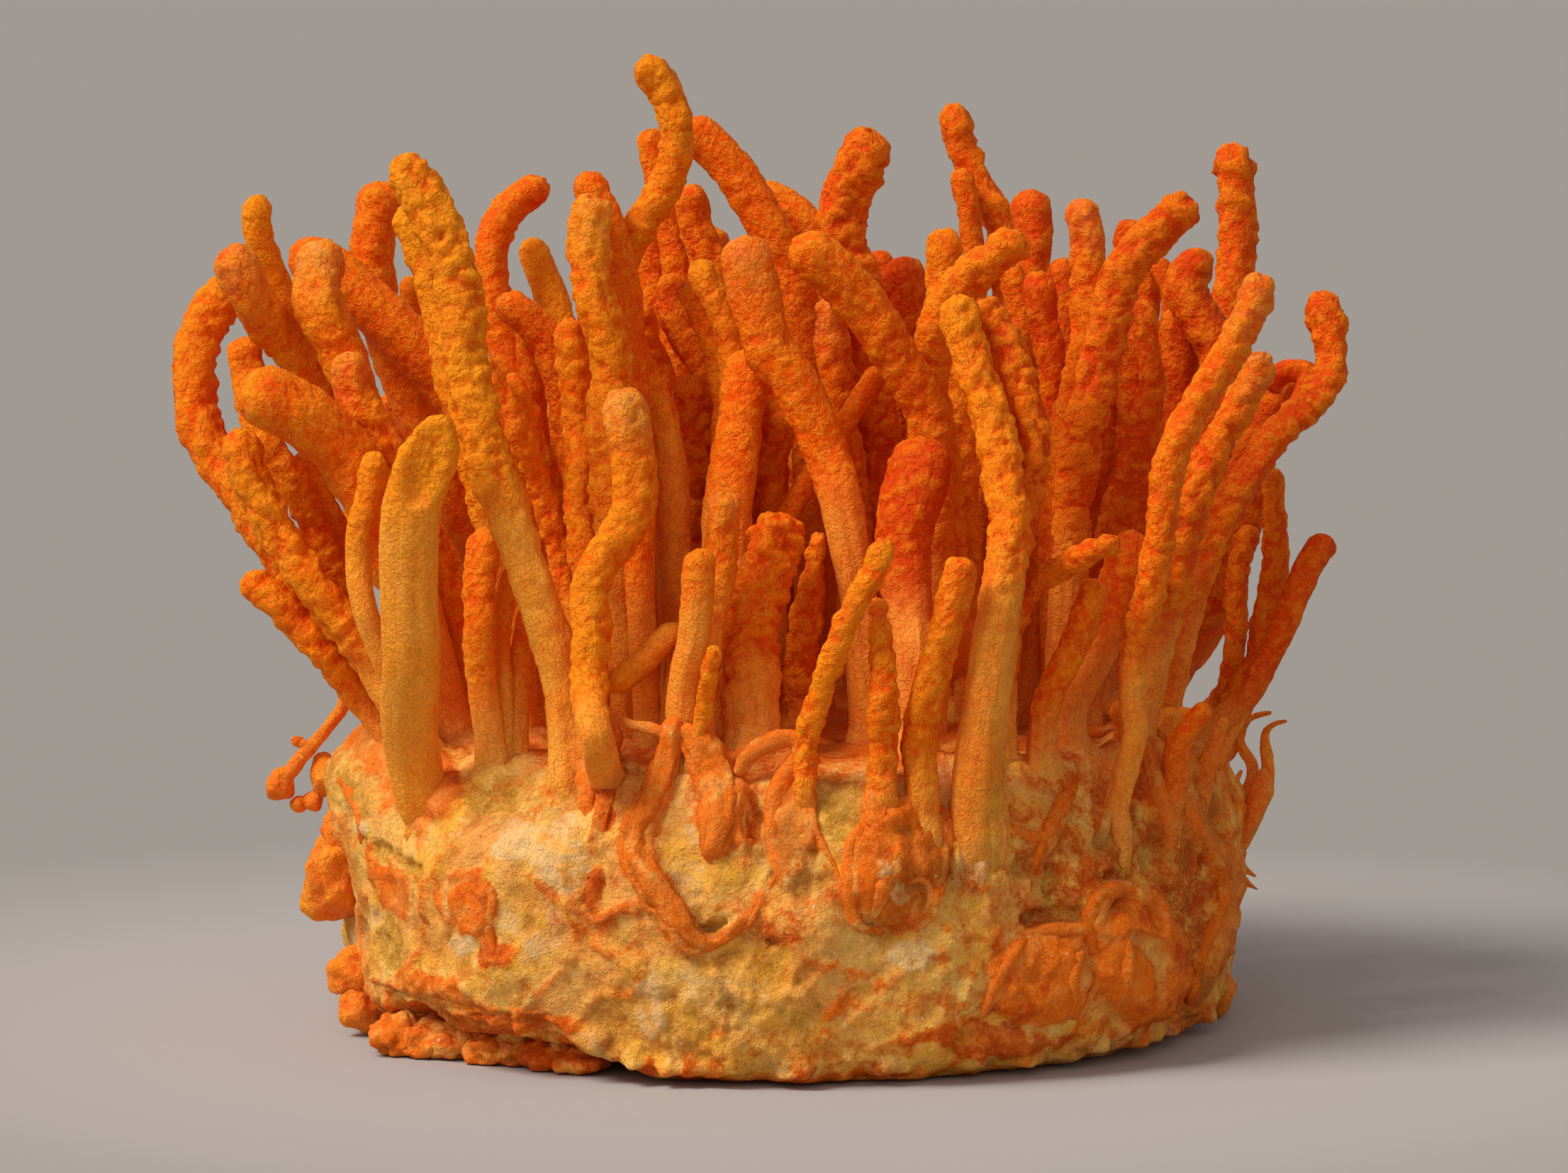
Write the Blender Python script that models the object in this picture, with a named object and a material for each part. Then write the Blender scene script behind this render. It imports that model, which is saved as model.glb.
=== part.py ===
"""Cordyceps fungus: a bunch of orange clubs growing from a round cake of grain bound by mycelium.

The cake is a lumpy turned block that stands on its flat underside, with its origin in the middle of that
underside, +Z up and the best side towards -Y. Each club is a tube along a smooth line. The line was read in
millimetres on the upright plane through the cake's axis, as it looks from a point in front of the object, and
`carried` moves it along the lines of sight to the club's own depth. `settled` then pushes crossing clubs apart
in depth, so that they pass in front of and behind each other as they grew, without touching. Clubs that rise
from one foot are joined into one tuft. The clubs behind the cake's axis, which have no line of their own in
the table, are grown by rule.
"""

import math
from collections import namedtuple

import bmesh
import bpy
import numpy as np
from mathutils import Matrix, Vector

OBJECT_NAME = "cordyceps_fungus"
MM = 0.001

# Cake, in millimetres: its widest radius, the height of its top, and its side from the underside up
CAKE_RADIUS = 38.9
CAKE_TOP = 26.3
CAKE_PROFILE = (
    (0.0, -4.6),
    (1.0, -2.4),
    (3.2, -0.9),
    (7.0, -0.1),
    (11.5, 0.0),
    (16.0, -0.2),
    (20.0, -1.2),
    (23.4, -3.2),
    (25.4, -5.6),
    (CAKE_TOP, -8.6),
)
CAKE_STEPS = 36
RIM_START = 16.0

# Each wave of the cake's side: waves round the cake, lean per millimetre of height, start angle, size; and the
# heights over which the waves fade in from the underside and out to the top
CAKE_WAVES = (
    (2, 0.00, 0.6, 0.35),
    (3, 0.02, 1.7, 0.45),
    (5, 0.05, 0.4, 0.40),
    (8, -0.09, 2.2, 0.35),
    (13, 0.13, 4.1, 0.28),
    (19, -0.21, 1.3, 0.20),
)
WAVE_FADE_LOW = 3.0
WAVE_FADE_HIGH = 4.0

# Gap left between pieces that touch, and the distance at which points of one mesh are welded
TOUCH_GAP = 0.3
WELD = 0.01

# Feet: the room between feet of different pieces, the farthest reach from the axis, how deep a foot starts in
# the cake, how many rounds of pushing spread them, and the share of a lack that one round makes up
FOOT_ROOM = 1.0
FOOT_REACH = 33.5
SUNK = 2.2
FOOT_ROUNDS = 200
FOOT_PUSH = 0.3

# Settling: the room that crossing clubs keep before they are faceted, how many rounds there are, how far a
# point may move, the length over which a club is freed from its foot, the length near the foot in which clubs
# of one tuft may join, the share of a lack that one round makes up and the most of it, what is kept of the moves
# from one round to the next, how many points a push spreads over, and the most points that one crossing skips
CLUB_ROOM = 0.9
SETTLE_ROUNDS = 220
SETTLE_REACH = 9.0
FREE_LENGTH = 9.0
JOINED_LENGTH = 14.0
SETTLE_PUSH = 0.6
SETTLE_MOST = 3.0
SETTLE_KEPT = 0.998
PUSH_WIDTH = 4
SAME_CROSSING = 3

# The point from which the club lines were read, in front of and above the cake
EYE_DISTANCE = 600.0
EYE_HEIGHT = 100.0

# Tubes: spacing of the smooth line, how far it may stray from the straight runs between rings, the sides of
# thick and thin clubs and the radius that parts them, and the tip's share of the radius beyond the line's end
LINE_STEP = 1.0
RING_TOLERANCE = 0.75
CLUB_SIDES = 6
THIN_SIDES = 4
THIN_RADIUS = 0.85
TIP_SHARE = 0.55

# Places along a club, as shares of its length from the tip: the knee that its second depth belongs to, and
# where its radii are given; and the length of its last stretch, from the end of its read line to its foot
KNEE_PLACE = 0.55
RADIUS_PLACES = (0.0, 0.12, 0.5, 1.0)
LAST_STRETCH = 3.0

# A club: its node, depth of its tip and its knee, foot on the cake, radius at tip, middle and foot, and its
# line (x, z) from the tip down. A foot with a third value grows from the cake's side at that height.
Club = namedtuple("Club", "node depth foot radii line")

CLUBS = (
    Club("club_left_arc", (2, -5), (-33.4, -7), (1.85, 1.85, 1.4),
         ((-48.5, 64.5), (-50.6, 62.3), (-51.9, 58), (-51.7, 53.7), (-50.2, 50), (-47, 45.5), (-44.3, 41),
          (-40.5, 36), (-36.8, 31))),
    Club("tuft_left_upper", (-8, -6), (-30.4, -4), (1.8, 1.8, 1.4),
         ((-48.3, 67.3), (-47, 64.5), (-45.2, 61.5), (-43, 59), (-40.8, 56.4), (-37, 48), (-33.4, 38))),
    Club("tuft_left_upper", (-3, -2), (-29.5, -3), (1.3, 1.2, 1.2),
         ((-46.3, 72), (-46, 69), (-44.9, 66), (-42.9, 62), (-39.6, 56), (-35.5, 47), (-32, 37))),
    Club("tuft_left_shoulder", (6, 2), (-21.4, 0), (2.4, 2.3, 1.7),
         ((-42, 67.3), (-39.5, 65.8), (-36.8, 63.5), (-34, 60.8), (-29.5, 56), (-26.4, 50), (-23.6, 39))),
    Club("tuft_left_shoulder", (9, 7), (-22.3, 1.2), (2.05, 1.7, 1.4),
         ((-35.5, 72.8), (-35.9, 70), (-36.1, 66.5), (-34.6, 59), (-30.5, 49), (-26, 38))),
    Club("tuft_left_pink", (-3, -6), (-27.8, -8.3), (2.1, 1.5, 1.3),
         ((-40.5, 67.5), (-41, 65), (-40.8, 63), (-39.8, 61), (-38.2, 57.5), (-35, 48), (-31, 37))),
    Club("tuft_left_pink", (-8, -8), (-27.2, -9.4), (1.5, 1.5, 1.2),
         ((-38.2, 58.2), (-37.8, 55), (-35.6, 52), (-33.6, 47.5), (-31, 41), (-28.8, 34))),
    Club("club_front_tall_left", (-22, -27), (-19, -30.4), (1.75, 1.7, 1.5),
         ((-33.2, 75.2), (-31.2, 71.8), (-29.6, 68.5), (-28.5, 64.5), (-28.2, 58.5), (-27.3, 54), (-25.8, 48.5),
          (-24, 43.5), (-22.3, 38.5), (-20.6, 33.5), (-19.5, 29))),
    Club("club_left_behind", (-10, -14), (-22.5, -12), (1.4, 1.4, 1.2),
         ((-33, 71), (-31.4, 67), (-30.4, 63), (-29, 56), (-26.5, 46), (-23.8, 35))),
    Club("tuft_rear_left", (24, 19), (-16, 15.6), (1.5, 1.5, 1.3),
         ((-21.6, 73.5), (-23.3, 72.3), (-24.8, 70.8), (-25.7, 67.5), (-25.2, 62), (-22.8, 52), (-19, 40))),
    Club("tuft_rear_left", (27, 22), (-14.8, 16.8), (1.5, 1.5, 1.3),
         ((-22.1, 68.2), (-21.3, 66.2), (-19.8, 62), (-18.2, 54), (-16.4, 43))),
    Club("tuft_rear_left", (15, 15), (-15.8, 14.4), (1.6, 1.6, 1.3),
         ((-24.1, 63.3), (-22.3, 61.7), (-20.4, 59), (-18.8, 52), (-17.2, 42))),
    Club("club_left_bulb", (-17, -12), (-29.2, -13), (2.9, 2.4, 1.7),
         ((-46.3, 55.3), (-43.5, 54), (-41, 52.2), (-38.2, 49.3), (-35, 43), (-32, 35))),
    Club("tuft_left_front", (-14, -15), (-32.4, -16.4), (1.7, 1.7, 1.4),
         ((-48.1, 51.2), (-47.4, 49), (-46.5, 46.5), (-44, 42), (-41.3, 38), (-38, 34), (-35.3, 29.5))),
    Club("tuft_left_front", (-19, -18), (-31.6, -15.2), (1.1, 1.1, 1.1),
         ((-36, 49.5), (-36.7, 46), (-37.5, 42), (-37.2, 37), (-35.4, 32))),
    Club("tuft_left_thin", (-6, -6), (-33.6, -2.2), (1.4, 1.3, 1.2),
         ((-47.5, 59.3), (-46.6, 54), (-45.3, 50.5), (-42.8, 46.5), (-40.6, 41.5), (-38.2, 36), (-36.2, 31))),
    Club("tuft_left_thin", (-3, -4), (-33, -1), (0.95, 0.95, 1.0),
         ((-42.7, 49.5), (-41.3, 47), (-39.2, 43), (-37.6, 38), (-36, 32))),
    Club("tuft_left_low", (-12, -13), (-34.2, -11.4), (1.4, 1.3, 1.2),
         ((-46.9, 38.6), (-45, 37.2), (-43.5, 35.5), (-40.2, 32), (-37.6, 28.6))),
    Club("tuft_left_low", (-8, -9), (-34, -10.2), (0.9, 0.9, 1.0),
         ((-44.2, 39), (-42.3, 37), (-41, 35), (-39.2, 32), (-37, 28.6))),
    Club("club_front_flat", (-31, -29), (-29.4, -21.2, 20.5), (2.5, 2.5, 2.2),
         ((-31.2, 49.8), (-32.1, 47.5), (-32.9, 44), (-33, 38), (-32.8, 32), (-33.1, 26.5), (-32.4, 22))),
    Club("tuft_left_inner", (-15, -16), (-16.2, -15.4), (1.1, 1.1, 1.1),
         ((-26.5, 58), (-25, 55.5), (-22.9, 51), (-21.1, 46), (-19.3, 39), (-17.8, 33))),
    Club("tuft_left_inner", (-12, -13), (-15.5, -14.6), (1.1, 1.1, 1.1),
         ((-23.9, 56.5), (-22.4, 52), (-20.4, 46), (-18.4, 38), (-16.8, 32))),
    Club("tuft_left_inner", (-14, -16), (-15.2, -16), (1.4, 1.4, 1.2),
         ((-18.9, 61), (-18.4, 57), (-18, 51), (-17.9, 44), (-16.8, 36))),
    Club("tuft_front_left_small", (-22, -23), (-25.4, -24.2), (1.35, 1.35, 1.2),
         ((-26.3, 42.6), (-26.8, 39), (-26.8, 35), (-26.6, 30))),
    Club("tuft_front_left_small", (-20, -21), (-24.2, -23.4), (0.9, 0.9, 1.0),
         ((-24, 39.5), (-24.9, 36), (-25.2, 33), (-24.9, 29))),
    Club("tuft_front_left_small", (-19, -20), (-23, -23.2), (1.0, 1.0, 1.0),
         ((-22.6, 36.3), (-23.1, 33), (-23.5, 29.5))),
    Club("tuft_left_centre", (-12, -13), (-13.4, -19), (1.65, 1.65, 1.4),
         ((-17, 72), (-17.1, 69), (-16.8, 65), (-15.6, 60), (-15, 57), (-15.8, 52), (-15, 44), (-14, 35))),
    Club("tuft_left_centre", (-6, -8), (-12.6, -17.8), (1.5, 1.5, 1.3),
         ((-17.2, 74), (-16.3, 72), (-14.9, 68), (-13.8, 62), (-13.2, 53), (-12.8, 41))),
    Club("club_front_wavy", (-27, -29), (-15.6, -32.4), (1.9, 1.6, 1.5),
         ((-14.1, 54.6), (-13.6, 51.5), (-13, 48), (-13.4, 44.6), (-15.7, 41), (-17.1, 37.8), (-17, 34.5),
          (-17.1, 30.5), (-17, 27))),
    Club("tuft_front_stub", (-20, -22), (-11.4, -24.6), (1.25, 1.25, 1.2),
         ((-12.5, 46), (-12.9, 40), (-12.6, 35), (-12.3, 30))),
    Club("tuft_front_stub", (-27.5, -26.5), (-10.5, -24.2), (1.2, 1.0, 1.0),
         ((-15, 29.7), (-13.6, 30.6), (-11.6, 32.4), (-9.8, 34.2), (-9.2, 32))),
    Club("club_tallest", (-7, -8), (-9.4, -13.6), (1.5, 1.5, 1.4),
         ((-11.9, 84), (-10.4, 82), (-9.5, 79.5), (-9.7, 75), (-12, 71), (-14.2, 67), (-14.4, 63), (-13, 58),
          (-10.9, 53.5), (-10, 49), (-9.6, 42), (-9.4, 35))),
    Club("tuft_rear_centre", (16, 14), (-5, 10), (1.1, 1.2, 1.2),
         ((-11.7, 78), (-11, 73.5), (-9.6, 67), (-7.8, 57), (-6.2, 44))),
    Club("tuft_rear_centre", (12, 11), (-4, 9), (1.2, 2.2, 1.4),
         ((-8.2, 73), (-7.6, 69.8), (-6.4, 66.8), (-5, 60), (-4.5, 48))),
    Club("tuft_rear_arch", (6, 4), (2.4, 2), (1.75, 1.7, 1.4),
         ((-8.1, 78.5), (-6, 76.7), (-4.3, 74.7), (-1.7, 70.5), (0.5, 66), (1.8, 60), (2.4, 50), (2.4, 38))),
    Club("tuft_rear_arch", (14, 9), (3, 3.4), (1.4, 1.4, 1.3),
         ((-1.5, 73), (1.5, 71), (3.4, 68), (4.2, 61), (4, 50), (3.3, 38))),
    Club("tuft_middle_dark", (2, 1), (-6.6, -3), (1.4, 1.4, 1.3),
         ((-10, 65), (-9.7, 63), (-8.7, 60.5), (-6.5, 56.5), (-6, 49), (-6.3, 37))),
    Club("tuft_middle_dark", (-4, -4), (-7.2, -4.4), (1.6, 2.0, 1.5),
         ((-8.2, 56), (-7.6, 51), (-8, 45.5), (-7.6, 36))),
    Club("tuft_middle_dark", (0, -1), (-7.9, -3.2), (1.2, 1.2, 1.2),
         ((-12.6, 62.5), (-12, 60), (-10.9, 57), (-9.4, 49), (-8.6, 38))),
    Club("tuft_centre_trunk", (-4, -7), (-5, -14.6), (1.2, 1.2, 1.2),
         ((-7.4, 66.3), (-6.4, 64), (-4.9, 60.5), (-4.4, 55), (-4.7, 46), (-4.9, 34))),
    Club("tuft_centre_trunk", (-5, -7), (-5.7, -13.8), (1.1, 1.1, 1.1),
         ((-8.2, 64.5), (-7.2, 62), (-5.7, 58.2), (-5.2, 52), (-5.4, 42), (-5.5, 33))),
    Club("tuft_centre_trunk", (-10, -12), (-4.6, -16), (1.9, 2.1, 1.8),
         ((-3.2, 58), (-3.6, 54.5), (-4.4, 49.5), (-5, 45), (-4.9, 38), (-4.5, 32))),
    Club("club_centre", (-15, -17), (7, -20), (2.05, 1.7, 1.25),
         ((-3.5, 68), (-2.9, 65.5), (-2.1, 62), (-1.2, 59), (0.9, 56.3), (2.9, 52), (4.7, 47), (5.7, 42),
          (6.5, 37), (7, 31), (7.2, 27))),
    Club("club_front_trunk", (-20, -23), (-2.8, -27.6), (2.0, 2.3, 2.2),
         ((-0.5, 43.5), (-1.5, 40), (-2.6, 36.5), (-3.2, 33), (-3, 28.5))),
    Club("tuft_front_middle", (-26, -27), (-7.2, -29.6), (1.35, 1.35, 1.3),
         ((-5.2, 45.7), (-5.5, 42), (-6, 38), (-6.8, 33), (-7.4, 28.5))),
    Club("tuft_front_middle", (-31, -31), (-8.4, -30.6), (1.35, 1.3, 1.3),
         ((-7.4, 40.8), (-7.6, 37.5), (-8, 33.5), (-8.9, 28.5))),
    Club("tuft_front_middle", (-35, -34), (-7.6, -31.2), (0.7, 0.75, 1.0),
         ((-6.3, 32.4), (-6.7, 30), (-7.1, 27.6))),
    Club("tuft_centre_rough", (-10, -11), (0.2, -13.6), (1.0, 1.0, 1.1),
         ((8, 57), (5.2, 52.5), (2, 47.5), (-0.2, 43), (-0.9, 36))),
    Club("tuft_centre_rough", (-5, -8), (-0.5, -12.6), (1.5, 1.5, 1.3),
         ((-0.3, 54), (-1.2, 50), (-1.6, 46), (-2.2, 41), (-1.9, 33))),
    Club("tuft_centre_rough", (-17, -17), (0.8, -14.8), (0.9, 1.4, 1.9),
         ((3, 42.5), (2.5, 39), (1.9, 35), (1.5, 30))),
    Club("club_centre_right", (-17, -14), (13, -12), (1.95, 1.7, 1.4),
         ((1.9, 68), (3.8, 66.6), (7, 63), (9.6, 59), (12, 55), (13, 51), (13.3, 43), (13.2, 34))),
    Club("tuft_dark_tip", (-2, -3), (8.2, -4), (2.0, 1.6, 1.3),
         ((7.3, 77.2), (6.3, 75.2), (5.4, 72.5), (4.9, 69.5), (6, 65.8), (7.4, 59), (8.2, 49), (8.3, 37))),
    Club("tuft_dark_tip", (-6, -6), (7, -4.6), (1.3, 1.3, 1.2),
         ((4, 63), (4.5, 58), (5.2, 52), (6.4, 43), (7, 35))),
    Club("tuft_behind_bulb", (4, 3), (13, 3), (1.8, 1.8, 1.4),
         ((10.3, 66.3), (10.9, 64), (12, 59), (12.8, 50), (13.1, 38))),
    Club("tuft_behind_bulb", (6, 4), (12, 3.6), (1.2, 1.2, 1.2),
         ((8.5, 67.3), (8.3, 64), (9.4, 56), (11, 44))),
    Club("tuft_rear_tall_right", (28, 24), (17.6, 21), (1.4, 1.8, 1.4),
         ((15, 80), (15.4, 77.5), (17, 74), (19, 70), (19.6, 64), (19.4, 54), (18.4, 41))),
    Club("tuft_rear_tall_right", (25, 22), (16.6, 20), (1.1, 1.1, 1.2),
         ((15.5, 74.5), (16.3, 70.5), (16.9, 62), (17.2, 51), (17, 40))),
    Club("tuft_rear_round_right", (16, 14), (20, 11.6), (1.8, 1.8, 1.4),
         ((21.6, 72.3), (21.9, 70), (21.5, 65), (21, 54), (20.4, 40))),
    Club("tuft_rear_round_right", (11, 10), (19.4, 10.4), (1.2, 1.2, 1.2),
         ((19.7, 66.4), (20.8, 62.5), (20.2, 54), (19.6, 42))),
    Club("tuft_right_crossed", (-3, -5), (16.2, -9.6), (1.35, 1.35, 1.3),
         ((14, 69), (14, 66), (14.5, 60), (15.4, 50), (16, 38))),
    Club("tuft_right_crossed", (-12, -10), (15.2, -10.6), (1.4, 1.4, 1.2),
         ((20.2, 68.8), (18.5, 67.5), (15.2, 64.6), (13.2, 60.8), (12.9, 56), (14, 48), (15, 37))),
    Club("tuft_striped_trunk", (-22, -29), (16.3, -33.6, 21.5), (1.5, 1.6, 2.1),
         ((15.4, 63), (15.9, 60.5), (17, 56.5), (18.3, 53), (19.2, 49), (19.9, 44), (19.2, 38), (18.5, 33),
          (17.8, 28), (17.3, 23.5))),
    Club("tuft_striped_trunk", (-19, -28), (17, -33, 21.5), (1.35, 1.4, 2.0),
         ((18, 63), (18.9, 60.6), (20.7, 57), (21.8, 52), (21.6, 47.5), (20.7, 43.5), (19.6, 38), (18.9, 33),
          (18.1, 28), (17.7, 24))),
    Club("club_right_lying", (-31, -28), (19.4, -25.5), (0.95, 0.95, 1.1),
         ((29, 42.1), (26.5, 41.1), (23.3, 39), (21, 36.6), (19.8, 33), (19.6, 28.5))),
    Club("tuft_right_dark", (-2, -3), (21.6, -3.6), (1.45, 1.45, 1.3),
         ((22.4, 65.2), (22.8, 61.5), (23.7, 57), (23.6, 50), (22.8, 38))),
    Club("tuft_right_dark", (8, 4), (22.4, -2.4), (1.3, 1.3, 1.2),
         ((24.3, 66.5), (24.7, 62), (24.7, 53), (23.6, 40))),
    Club("tuft_right_blunt", (-4, -5), (24.4, -7), (1.5, 2.0, 1.5),
         ((26.1, 71.6), (26.6, 68.5), (26.8, 63), (26.4, 57), (25.3, 52), (24.5, 45), (24.5, 35))),
    Club("tuft_right_blunt", (2, -1), (25.6, -6), (1.0, 2.2, 1.6),
         ((31.5, 63), (32, 60), (32.3, 56.5), (31.5, 51), (29.6, 43), (27.2, 34))),
    Club("club_right_forward", (-13, -14), (23.8, -14), (1.6, 1.6, 1.3),
         ((35.2, 71.7), (33.3, 70.2), (31.5, 68.3), (29.4, 65.3), (28.5, 61), (26.9, 54.5), (25.7, 47),
          (25, 37))),
    Club("tuft_rear_small_right", (22, 18), (25.4, 14), (1.25, 1.25, 1.2),
         ((30.3, 70), (30, 67), (29.3, 60), (28, 50), (26.6, 39))),
    Club("tuft_rear_small_right", (18, 16), (26.2, 13), (0.9, 1.0, 1.1),
         ((33, 66.8), (34.1, 63.5), (33, 57), (30.2, 47), (27.8, 37))),
    Club("tuft_right_brown_tip", (12, 8), (29.2, 9.6), (1.9, 1.8, 1.4),
         ((36.3, 67), (35.3, 64.8), (37, 61.3), (38.4, 59), (37.8, 53), (34.8, 44), (31.6, 35))),
    Club("tuft_right_brown_tip", (24, 19), (29, 11), (1.75, 1.75, 1.4),
         ((39.2, 76.3), (39.8, 73.5), (39.9, 69), (39.1, 63), (37.6, 54), (34.6, 44), (31, 35))),
    Club("club_front_tall_right", (-22, -25), (28, -23.6, 21.5), (1.5, 1.4, 1.15),
         ((41.6, 65), (41, 62.5), (38.3, 57.5), (36.4, 54.5), (33.8, 49), (33.4, 44), (32.4, 38.5),
          (31.2, 33.5), (30.8, 28), (31, 25))),
    Club("club_right_rough", (-14, -15), (30.6, -15), (1.45, 1.45, 1.2),
         ((42, 58), (40.8, 55.5), (38.5, 51.5), (36.3, 46.5), (35, 41), (33.6, 35))),
    Club("tuft_right_bent", (-3, -7), (32.4, -7), (1.45, 1.45, 1.2),
         ((47.2, 63.5), (48, 61), (48.1, 57.5), (46.6, 54.8), (43.4, 51.7), (40.5, 47.5), (38, 43),
          (35.8, 36.5))),
    Club("tuft_right_bent", (1, -6), (32.2, -6.2), (1.0, 1.0, 1.0),
         ((43, 56), (43.8, 57.2), (46, 57.2), (45.6, 54.6), (42.6, 51.2), (40, 46.8), (37.4, 42), (35.2, 36))),
    Club("tuft_right_edge", (-4, -5), (34.6, -3.6), (1.2, 1.0, 1.1),
         ((47.7, 42.2), (46.3, 40.3), (44.7, 36.3), (43, 32.3), (41, 28.6), (38.4, 26.4))),
    Club("tuft_right_edge", (-1, -2), (34.4, -2.6), (1.0, 1.0, 1.0),
         ((43, 48), (43.2, 44.5), (43.3, 40), (42.3, 35), (41.4, 31), (38.6, 27.4))),
    Club("tuft_right_edge", (1, -1), (34, -1.8), (0.95, 0.95, 1.0),
         ((41, 43), (40.3, 41), (39.9, 37.5), (39.8, 32), (39, 29), (37.4, 27))),
    Club("club_right_stub", (-17, -18), (31.2, -17, 20.5), (0.9, 1.1, 1.2),
         ((37.2, 27.3), (35.8, 25.6), (34.6, 23.6), (34, 21))),
    Club("club_rear_diagonal", (6, 5), (31.2, 2.4), (1.0, 1.0, 1.0),
         ((39.2, 36.8), (38, 34.5), (36.5, 32.2), (34.4, 30.2))),
    Club("club_front_right_small", (-26, -26), (21.2, -25.4), (1.3, 1.3, 1.3),
         ((27.4, 38.2), (26.6, 35.5), (25.2, 32.5), (23.8, 29.5), (22.9, 26.5))),
    Club("club_front_right_smooth", (-18, -20), (24.8, -20.4), (2.0, 2.0, 1.6),
         ((30.7, 42), (30, 39), (28.6, 35), (26.4, 30.5), (25, 27))),
    Club("club_front_bulb", (-20, -23), (11.2, -27), (2.7, 1.9, 1.7),
         ((12.3, 49.8), (11.5, 46.8), (10.6, 43), (10.7, 39.5), (11.2, 35.5), (11.5, 31))),
    Club("club_front_twisted", (-36, -36), (1.6, -34.2, 23.2), (0.95, 0.9, 0.9),
         ((8.7, 42), (8.2, 40), (7, 38), (5.4, 35), (4, 31), (2.9, 28), (2, 24.5))),
    Club("club_front_pointed", (-36, -36), (7.9, -34, 22.5), (0.8, 1.2, 1.1),
         ((8.1, 36.6), (8.5, 34), (8.7, 31), (8.8, 27.5), (8.7, 24))),
    Club("club_front_short", (-35, -35), (11.2, -33, 22.5), (1.35, 1.35, 1.3),
         ((15.7, 40), (15, 37.5), (14.1, 34), (13, 30), (12.2, 26.5), (11.9, 23.5))),
)

# Tufts of the hidden side: reach from the axis, angle from +X in degrees, height and lean of their clubs, and
# how many clubs they have
BACK_TUFTS = (
    (30.5, 42, 52, 12, 4),
    (31.0, 66, 56, 11, 4),
    (31.0, 90, 51, 13, 4),
    (31.0, 114, 57, 11, 4),
    (30.5, 138, 53, 13, 4),
    (30.0, 160, 48, 12, 3),
    (19.0, 74, 61, 6, 3),
    (19.0, 112, 63, 7, 3),
)

# The golden angle, which varies the clubs of the hidden side, and how much it varies their foot, height, lean,
# sideways lean and sway; the spacing of their tips, their radius, its variation and its taper from tip to foot,
# the power of their bend, and the shares of their height at which their line is given
GOLDEN_ANGLE = math.pi * (3.0 - math.sqrt(5.0))
BACK_SCATTER = 0.8
BACK_TALLER = 6.0
BACK_LEANING = 2.5
BACK_SIDEWAYS = 1.5
BACK_SWAY = 1.3
BACK_SPACING = 4.2
BACK_RADIUS = 1.6
BACK_THICKER = 0.35
BACK_TAPER = (1.0, 0.95, 0.8)
BACK_BEND = 1.6
BACK_SHARES = (1.0, 0.82, 0.6, 0.38, 0.16)

# Sides and rings of a lobe, sides of a ribbon, and a ribbon's share of its radius along it
LOBE_SIDES = 7
LOBE_RINGS = 5
RIBBON_SIDES = 4
RIBBON_PLACES = (0.0, 0.3, 1.0)
RIBBON_SHARES = (0.75, 1.0, 1.1)

# Colours and roughness of the cake's skin and the clubs
SKIN = ((0.72, 0.46, 0.17), 0.75)
FLESH = ((0.74, 0.20, 0.02), 0.6)

# Lobes that are one with the cake: centre, half sizes, and lean about the line of sight, in degrees
LOBES = (
    ("lobe_left_drop", (-39.6, -6, 13.2), (2.6, 3.4, 5.0), 8),
    ("lobe_left_bead", (-37.6, -5, 4.4), (2.0, 2.4, 2.0), 0),
    ("lobe_front_left", (-24.8, -28.6, 9.6), (2.3, 2.0, 2.8), -12),
    ("lobe_front_blob", (10.0, -36.4, 14.0), (3.9, 2.9, 5.6), 6),
    ("lobe_right_fold", (27.6, -25.8, 5.6), (5.4, 4.4, 4.6), -24),
    ("lobe_right_ear", (21.2, -31.2, 4.2), (5.4, 3.0, 3.2), 24),
    ("lobe_right_upper", (32.6, -9.0, 26.2), (2.6, 2.6, 2.3), -20),
    ("lobe_right_knob", (40.2, -2.0, 12.0), (2.2, 2.2, 1.5), -14),
    ("lobe_right_bead", (38.6, -3.0, 6.6), (2.2, 2.4, 1.8), 0),
    ("lobe_right_foot", (36.6, 2.0, 3.4), (2.6, 3.0, 2.3), 0),
    ("lobe_left_foot", (-31.4, -17.0, 2.2), (3.2, 3.0, 1.7), 6),
    ("lobe_back_left", (-24.0, 29.4, 11.0), (3.6, 3.0, 4.4), 15),
    ("lobe_back", (5.5, 37.6, 8.0), (4.6, 2.6, 3.4), -10),
    ("lobe_back_right", (29.5, 24.6, 14.5), (3.0, 3.2, 4.8), -8),
)

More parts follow.
